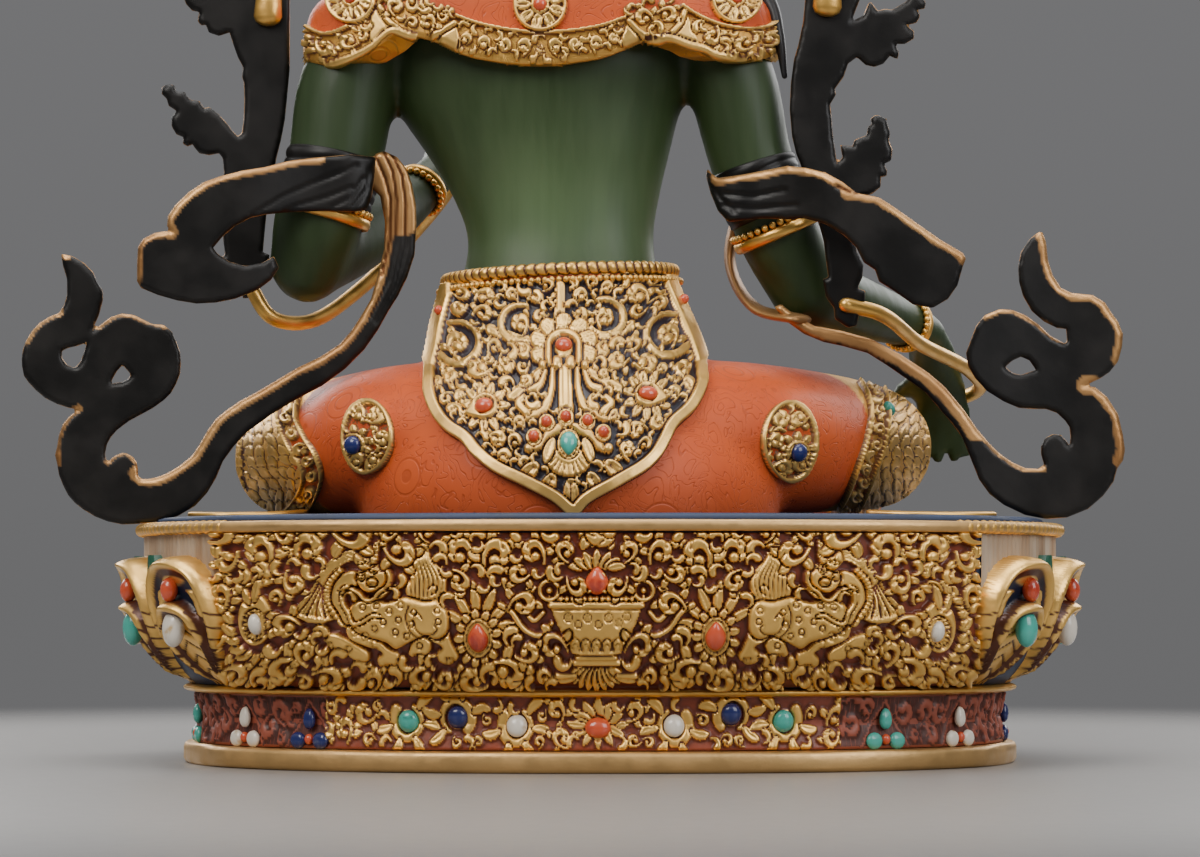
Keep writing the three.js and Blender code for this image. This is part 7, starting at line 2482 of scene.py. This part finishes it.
def build_medallion(tree, cell, k):
    x, y, rx, ry, sx, sy, node = MEDALLIONS[k]
    r = Relief((x - rx - 3, y - ry - 3, x + rx + 3, y + ry + 3), cell, gap=1.7)

    def border(X, Y):
        return (1 - np.hypot((X - x) / rx, (Y - y) / ry)) * rx

    far = border(*np.meshgrid(r.x, r.y))
    r.used |= far < 4
    r.flutes(sx, sy, 9, 9, 10, 9, 3.6, 1.0)
    r.setting(sx, sy, (12, 12), (9, 9), 1.2, 0.8)
    s = 1 if k else -1
    for dx, dy, size, turn in MEDALLION_SCROLLS:
        r.spiral(x - s * dx, y + dy, size, turn, s, 1.0, wide=0.36)
    r.fill([9, 7.5, 6.2, 5.0, 4.0], lambda X, Y: border(X, Y) > 4.2, 31 + k)
    r.h = np.where(far < 4.2, 1.1 * smooth((far + 0.3) / 1.2) * smooth((4.4 - far) / 1.0), r.h)
    lay("medallion_%d" % k, r, tree, AMBER_GROUND, 1.7, 1.0, keep=far > 0)
    stone_piece(node, "lapis", tree, sx, sy, 9.5, 9.5, 1.3, thick=2.2)


def build_hem(tree, cell, k, line):
    low, high = line.min(0) - 12, line.max(0) + 12
    r = Relief((*low, *high), cell, gap=1.6)
    far = line_distance(*np.meshgrid(r.x, r.y), line)
    r.used |= far > 7
    r.fill([8, 6.5, 5.4, 4.4, 3.5], lambda X, Y: line_distance(X, Y, line) < 7.0, 41 + k)
    r.h = np.where(far > 7.4, 1.15 * smooth((10.4 - far) / 0.8) * smooth((far - 7.2) / 0.8), r.h)
    lay("hem_%d" % k, r, tree, AMBER_GROUND, 1.6, 0.9, keep=far < 10.6)


def build_leg_relief(tree, cell, k, line):
    """Carved leaves on the gilded leg beyond the hem"""
    box = LEG_BOXES[k]
    r = Relief(box, cell, gap=1.5)
    random = np.random.default_rng(51 + k)
    for y in np.arange(box[1] + 6, box[3], 11):
        for x in np.arange(box[0] + 4, box[2], 10):
            wave = 0.5 * math.sin(x * 0.07 + y * 0.05)
            lean = (1.9 if k else 1.3) + wave + random.uniform(-0.25, 0.25)
            r.leaf(x, y, 14, 4.6, lean, random.uniform(-0.6, 0.6), 0.9, comb=3)
    r.fill([4.5, 3.6], lambda X, Y: X > 0, 61 + k)
    X, Y = np.meshgrid(r.x, r.y)
    beyond = (np.interp(Y, line[:, 1], line[:, 0]) - X) * (-1 if k else 1)
    sheet = raised(carried(r, tree, 2.5), r, 0.75, 1.8, sink=0.9, keep=beyond > 8)
    # Painted shade: the crevices darken less here, and the painted ground is left out
    sheet.masks["ground"] = sheet.masks["ground"] * 0.0
    sheet.masks["cavity"] = sheet.masks["cavity"] * 0.7
    make("leg_relief_%d" % k, sheet, GOLD, "gilt_gold")


def build_skirt_ornaments(cloth, fine):
    tree = cloth.tree()
    cell = 1.2 if fine else 1.8
    for k in range(len(MEDALLIONS)):
        build_medallion(tree, cell, k)
    for k, hem in enumerate(HEMS):
        line = curve(*hem, count=60)
        build_hem(tree, cell, k, line)
        build_leg_relief(tree, cell, k, line)
    stone_bead("knee_turquoise", "turquoise", tree, 887, 410, 5.5, 8.0, 0.9)
    ends = [sweep(knots, side=(0, 1, 0), power=3.0, per=10) for knots in SASH_ENDS]
    make("sash_ends", merged(ends), GOLD, "gilt_gold")


# Border of the cape, in pixels of the back view
CAPE_ROSETTES = [(540, 5, 27), (352, -1, 25), (735, -1, 25)]
# Lines that close the carved band above, rolls in the notches between the lobes, plain patches beside them
CAPE_LINES = [
    [(303, 23), (309, 27), (326, 34), (349, 27), (368, 14), (386, -4)],
    [(457, 16), (480, 24), (510, 30), (538, 32.6), (570, 31), (600, 26), (624, 18)],
    [(682, 6), (700, 17), (720, 25), (745, 29), (765, 27), (779, 19)],
]
CAPE_ROLLS = [
    [(381, 8), (388, 20), (397, 28), (409, 34), (421, 37.5), (437, 34), (455, 24)],
    [(629, 22), (640, 33), (655, 38), (668, 35), (679, 25), (684, 12)],
]
CAPE_PLAIN = [
    [(372, 18), (372, 45), (384, 38), (394, 29), (386, 18), (379, 9)],
    [(428, 40), (438, 37), (456, 27), (461, 42), (467, 54), (450, 49)],
    [(627, 24), (640, 35), (648, 40), (636, 43), (622, 48), (622, 34)],
    [(672, 36), (681, 26), (686, 16), (692, 28), (698, 45), (686, 42)],
]


def above_edge(X, Y, edge):
    """Height in pixels above the cape's edge"""
    return np.interp(X, edge[:, 0], edge[:, 1]) - Y


LOBE_X = 540
LOBE_SCROLLS = [
    (16, 47, 11.5, 2.2, 1), (36, 46, 10.5, -0.4, -1), (56, 44, 10.5, 2.4, 1), (74, 40, 9, 0.0, -1),
]


def paint_lobe(r):
    """The middle lobe's pairs of thick scrolls round a punched field"""
    for s in (-1, 1):
        for dx, y, size, turn, hand in LOBE_SCROLLS:
            way = turn if s > 0 else math.pi - turn
            r.spiral(LOBE_X + s * dx, y, size, way, hand * s, 1.0, lobes=1, wide=0.38)
    for k in range(12):
        far = (k / 12) ** 0.5
        r.dome(LOBE_X + 5 * math.cos(2.4 * k) * far, 50 + 5 * math.sin(2.4 * k) * far, 1.2, 1.2, 0.55,
               gap=0.5)


def paint_cape_rosette(r, x, y, size):
    """A flower in a ring, and how far each point lies outside it"""
    X, Y = np.meshgrid(r.x, r.y)
    q = np.hypot(X - x, Y - y)
    r.h = np.where(q < size + 2, 0.35, r.h)
    r.flutes(x, y, size * 0.36, size * 0.36, 9, size * 0.48, size * 0.22, 0.95)
    for k in range(9):
        a = 2 * np.pi * (k + 0.5) / 9
        for i in (-0.12, 0, 0.12):
            r.spoke(x, y, size * 0.48, size * 0.80, (a + i, a + i), 0.6, 0.35)
    r.setting(x, y, (size * 0.36, size * 0.36), (size * 0.24, size * 0.24), 1.15, 0.8)
    off = (q - size + 2) / 2.2
    r.h = np.where(np.abs(off) < 1, 1.1 * np.sqrt(np.clip(1 - off**2, 0, 1)), r.h)
    return q - size


def build_cape_border(tree, fine):
    r = Relief((290, -34, 781, 72), 1.3 if fine else 2.0, gap=1.7)
    X, Y = np.meshgrid(r.x, r.y)
    edge = centripetal(np.array(CAPE_EDGE, float), np.linspace(0, 1, 200))
    up = above_edge(X, Y, edge)
    line_up = np.full(X.shape, 34.0)
    for line in CAPE_LINES:
        p = curve(*line, count=40)
        inside = (X >= p[0, 0]) & (X <= p[-1, 0])
        high = above_edge(X, np.interp(X, p[:, 0], p[:, 1]), edge)
        line_up = np.where(inside, high + 1.5, line_up)
    line_up = np.where((X > 384) & (X < 457) | (X > 624) & (X < 684), 46.0, line_up)
    band = (up > 0) & (up < line_up)
    r.used |= (up < 6.5) | (up > line_up - 3)
    for plain in CAPE_PLAIN:
        r.area(plain, 1.0, 2.0)
    for line in CAPE_ROLLS:
        r.stroke(curve(*line, count=30), 3.2, 1.25, gap=1.4)
    paint_lobe(r)
    r.fill([12, 10, 8.5, 7, 5.8, 4.8, 3.9], lambda X, Y: above_edge(X, Y, edge) > 7, 71)
    for line in CAPE_LINES:
        r.stroke(curve(*line, count=40), 2.0, 1.15, gap=1.3)
    r.h = np.where(up < 6.6, 1.25 * np.sqrt(np.clip(1 - ((up - 3.0) / 3.6) ** 2, 0, 1)), r.h)
    near = np.min([paint_cape_rosette(r, *place) for place in CAPE_ROSETTES], axis=0)
    lay("cape_border", r, tree, AMBER_GROUND, 1.8, 0.8, keep=band | (near < 0.5))
    for k, (x, y, size) in enumerate(CAPE_ROSETTES):
        stone_bead("cape_coral_%d" % k, "coral", tree, x, y, size * 0.26, size * 0.27, 1.0)


# Floor, light and camera
def build_stage():
    n, rings = 96, np.array([0, 60, 120, 180, 240, 300, 360, 430, 500, 560, 620.0])
    angle = around(n)
    r = np.maximum(rings, 0.01)[:, None]
    grid = np.stack([r * np.cos(angle), r * np.sin(angle), np.zeros((len(rings), n))], -1)
    shape = Shape(grid.reshape(-1, 3), grid_quads(len(rings), n, wrap=True))
    mesh = mesh_of("floor", shape)
    floor = bpy.data.objects.new("floor", mesh)
    scene.collection.objects.link(floor)
    look = Look("floor", 0.38)
    grain = look.noise(160, detail=4)
    color = look.blend(look.ramp(grain, 0.3, 0.7), (0.204, 0.196, 0.189), (0.220, 0.212, 0.204))
    away = look.node("ShaderNodeVectorMath", operation="LENGTH")
    look.feed(away.inputs[0], look.place)
    fade = look.ramp(away.outputs["Value"], 0.30, 0.60, 1.0, 0.0)
    mesh.materials.append(look.wear(Base_Color=color, Alpha=fade))


def build_world():
    world = bpy.data.worlds.new("studio")
    scene.world = world
    world.use_nodes = True
    tree = world.node_tree
    back = tree.nodes["Background"]
    place = tree.nodes.new("ShaderNodeTexCoord")
    split = tree.nodes.new("ShaderNodeSeparateXYZ")
    tree.links.new(place.outputs["Generated"], split.inputs[0])
    ramp = tree.nodes.new("ShaderNodeValToRGB")
    tree.links.new(split.outputs["Z"], ramp.inputs[0])
    stops = [(0.0, (0.150, 0.150, 0.153)), (0.08, (0.162, 0.162, 0.166)), (0.30, (0.185, 0.185, 0.19)),
             (1.0, (0.30, 0.30, 0.30))]
    ramp.color_ramp.elements[0].position = 0
    ramp.color_ramp.elements[0].color = (*stops[0][1], 1)
    for position, color in stops[1:]:
        element = ramp.color_ramp.elements.new(position)
        element.color = (*color, 1)
    tree.links.new(ramp.outputs[0], back.inputs[0])
    back.inputs[1].default_value = 1.0


# Lamps: name, place, aim, size in metres, watts and colour
LAMPS = [
    ("key", (0.75, 1.05, 1.15), (0, 0, 0.12), (0.8, 0.8), 17.0, (1.0, 0.965, 0.92)),
    ("fill", (-0.95, 0.95, 0.75), (0, 0, 0.12), (0.8, 0.9), 11.0, (0.98, 0.985, 1.0)),
    ("top", (0.0, 0.0, 1.3), (0, 0.0, 0.1), (1.0, 1.0), 13.0, (1, 1, 1)),
    ("front_left", (0.8, -1.0, 0.8), (0, 0, 0.15), (0.8, 0.8), 12.0, (1, 1, 1)),
    ("front_right", (-0.8, -1.0, 0.8), (0, 0, 0.15), (0.8, 0.8), 9.0, (1, 1, 1)),
]


def build_lamps():
    for name, place, aim, size, power, color in LAMPS:
        data = bpy.data.lights.new(name, "AREA")
        data.shape = "RECTANGLE"
        data.size, data.size_y = size
        data.energy = power
        data.color = color
        lamp = bpy.data.objects.new(name, data)
        scene.collection.objects.link(lamp)
        lamp.location = place
        way = Vector(np.array(aim) - np.array(place))
        lamp.rotation_euler = way.to_track_quat("-Z", "Y").to_euler()


def build_camera():
    data = bpy.data.cameras.new("view")
    data.sensor_width = 36.0
    data.lens = FOCAL * data.sensor_width / (2 * CENTRE[0])
    data.clip_start = 0.05
    data.clip_end = 20.0
    camera = bpy.data.objects.new("view", data)
    scene.collection.objects.link(camera)
    camera.location = tuple(EYE * MM)
    camera.rotation_euler = (math.pi / 2 + LOOK_UP, 0, math.pi)
    scene.camera = camera


build_camera()
build_stage()
build_world()
build_lamps()
build_throne()
cloth = build_body()
for left in (True, False):
    build_scarf(left)
    build_lotus(left)
build_head()
build_hair()
build_crown()
build_earrings()
cape = build_cape()
build_foot_lotus()
build_petals()
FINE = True
build_panel(FINE)
build_drum(FINE)
triplets = triplet_places()
build_red_scroll(triplets[0], FINE)
build_triplets(*triplets)
build_rim(FINE)
build_apron(cloth, FINE)
build_skirt_ornaments(cloth, FINE)
build_cape_border(cape.tree(), FINE)
build_jewels()

# Every CAD node still showing gets its material
for name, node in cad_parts.items():
    if node.hide_render:
        continue
    look = next((STONES[stone] for stone in STONES if stone in name), None)
    look = look or (LACQUER if name.startswith(("scarf", "lotus_l", "lotus_r")) else GOLD)
    node.data.materials.clear()
    node.data.materials.append(look)
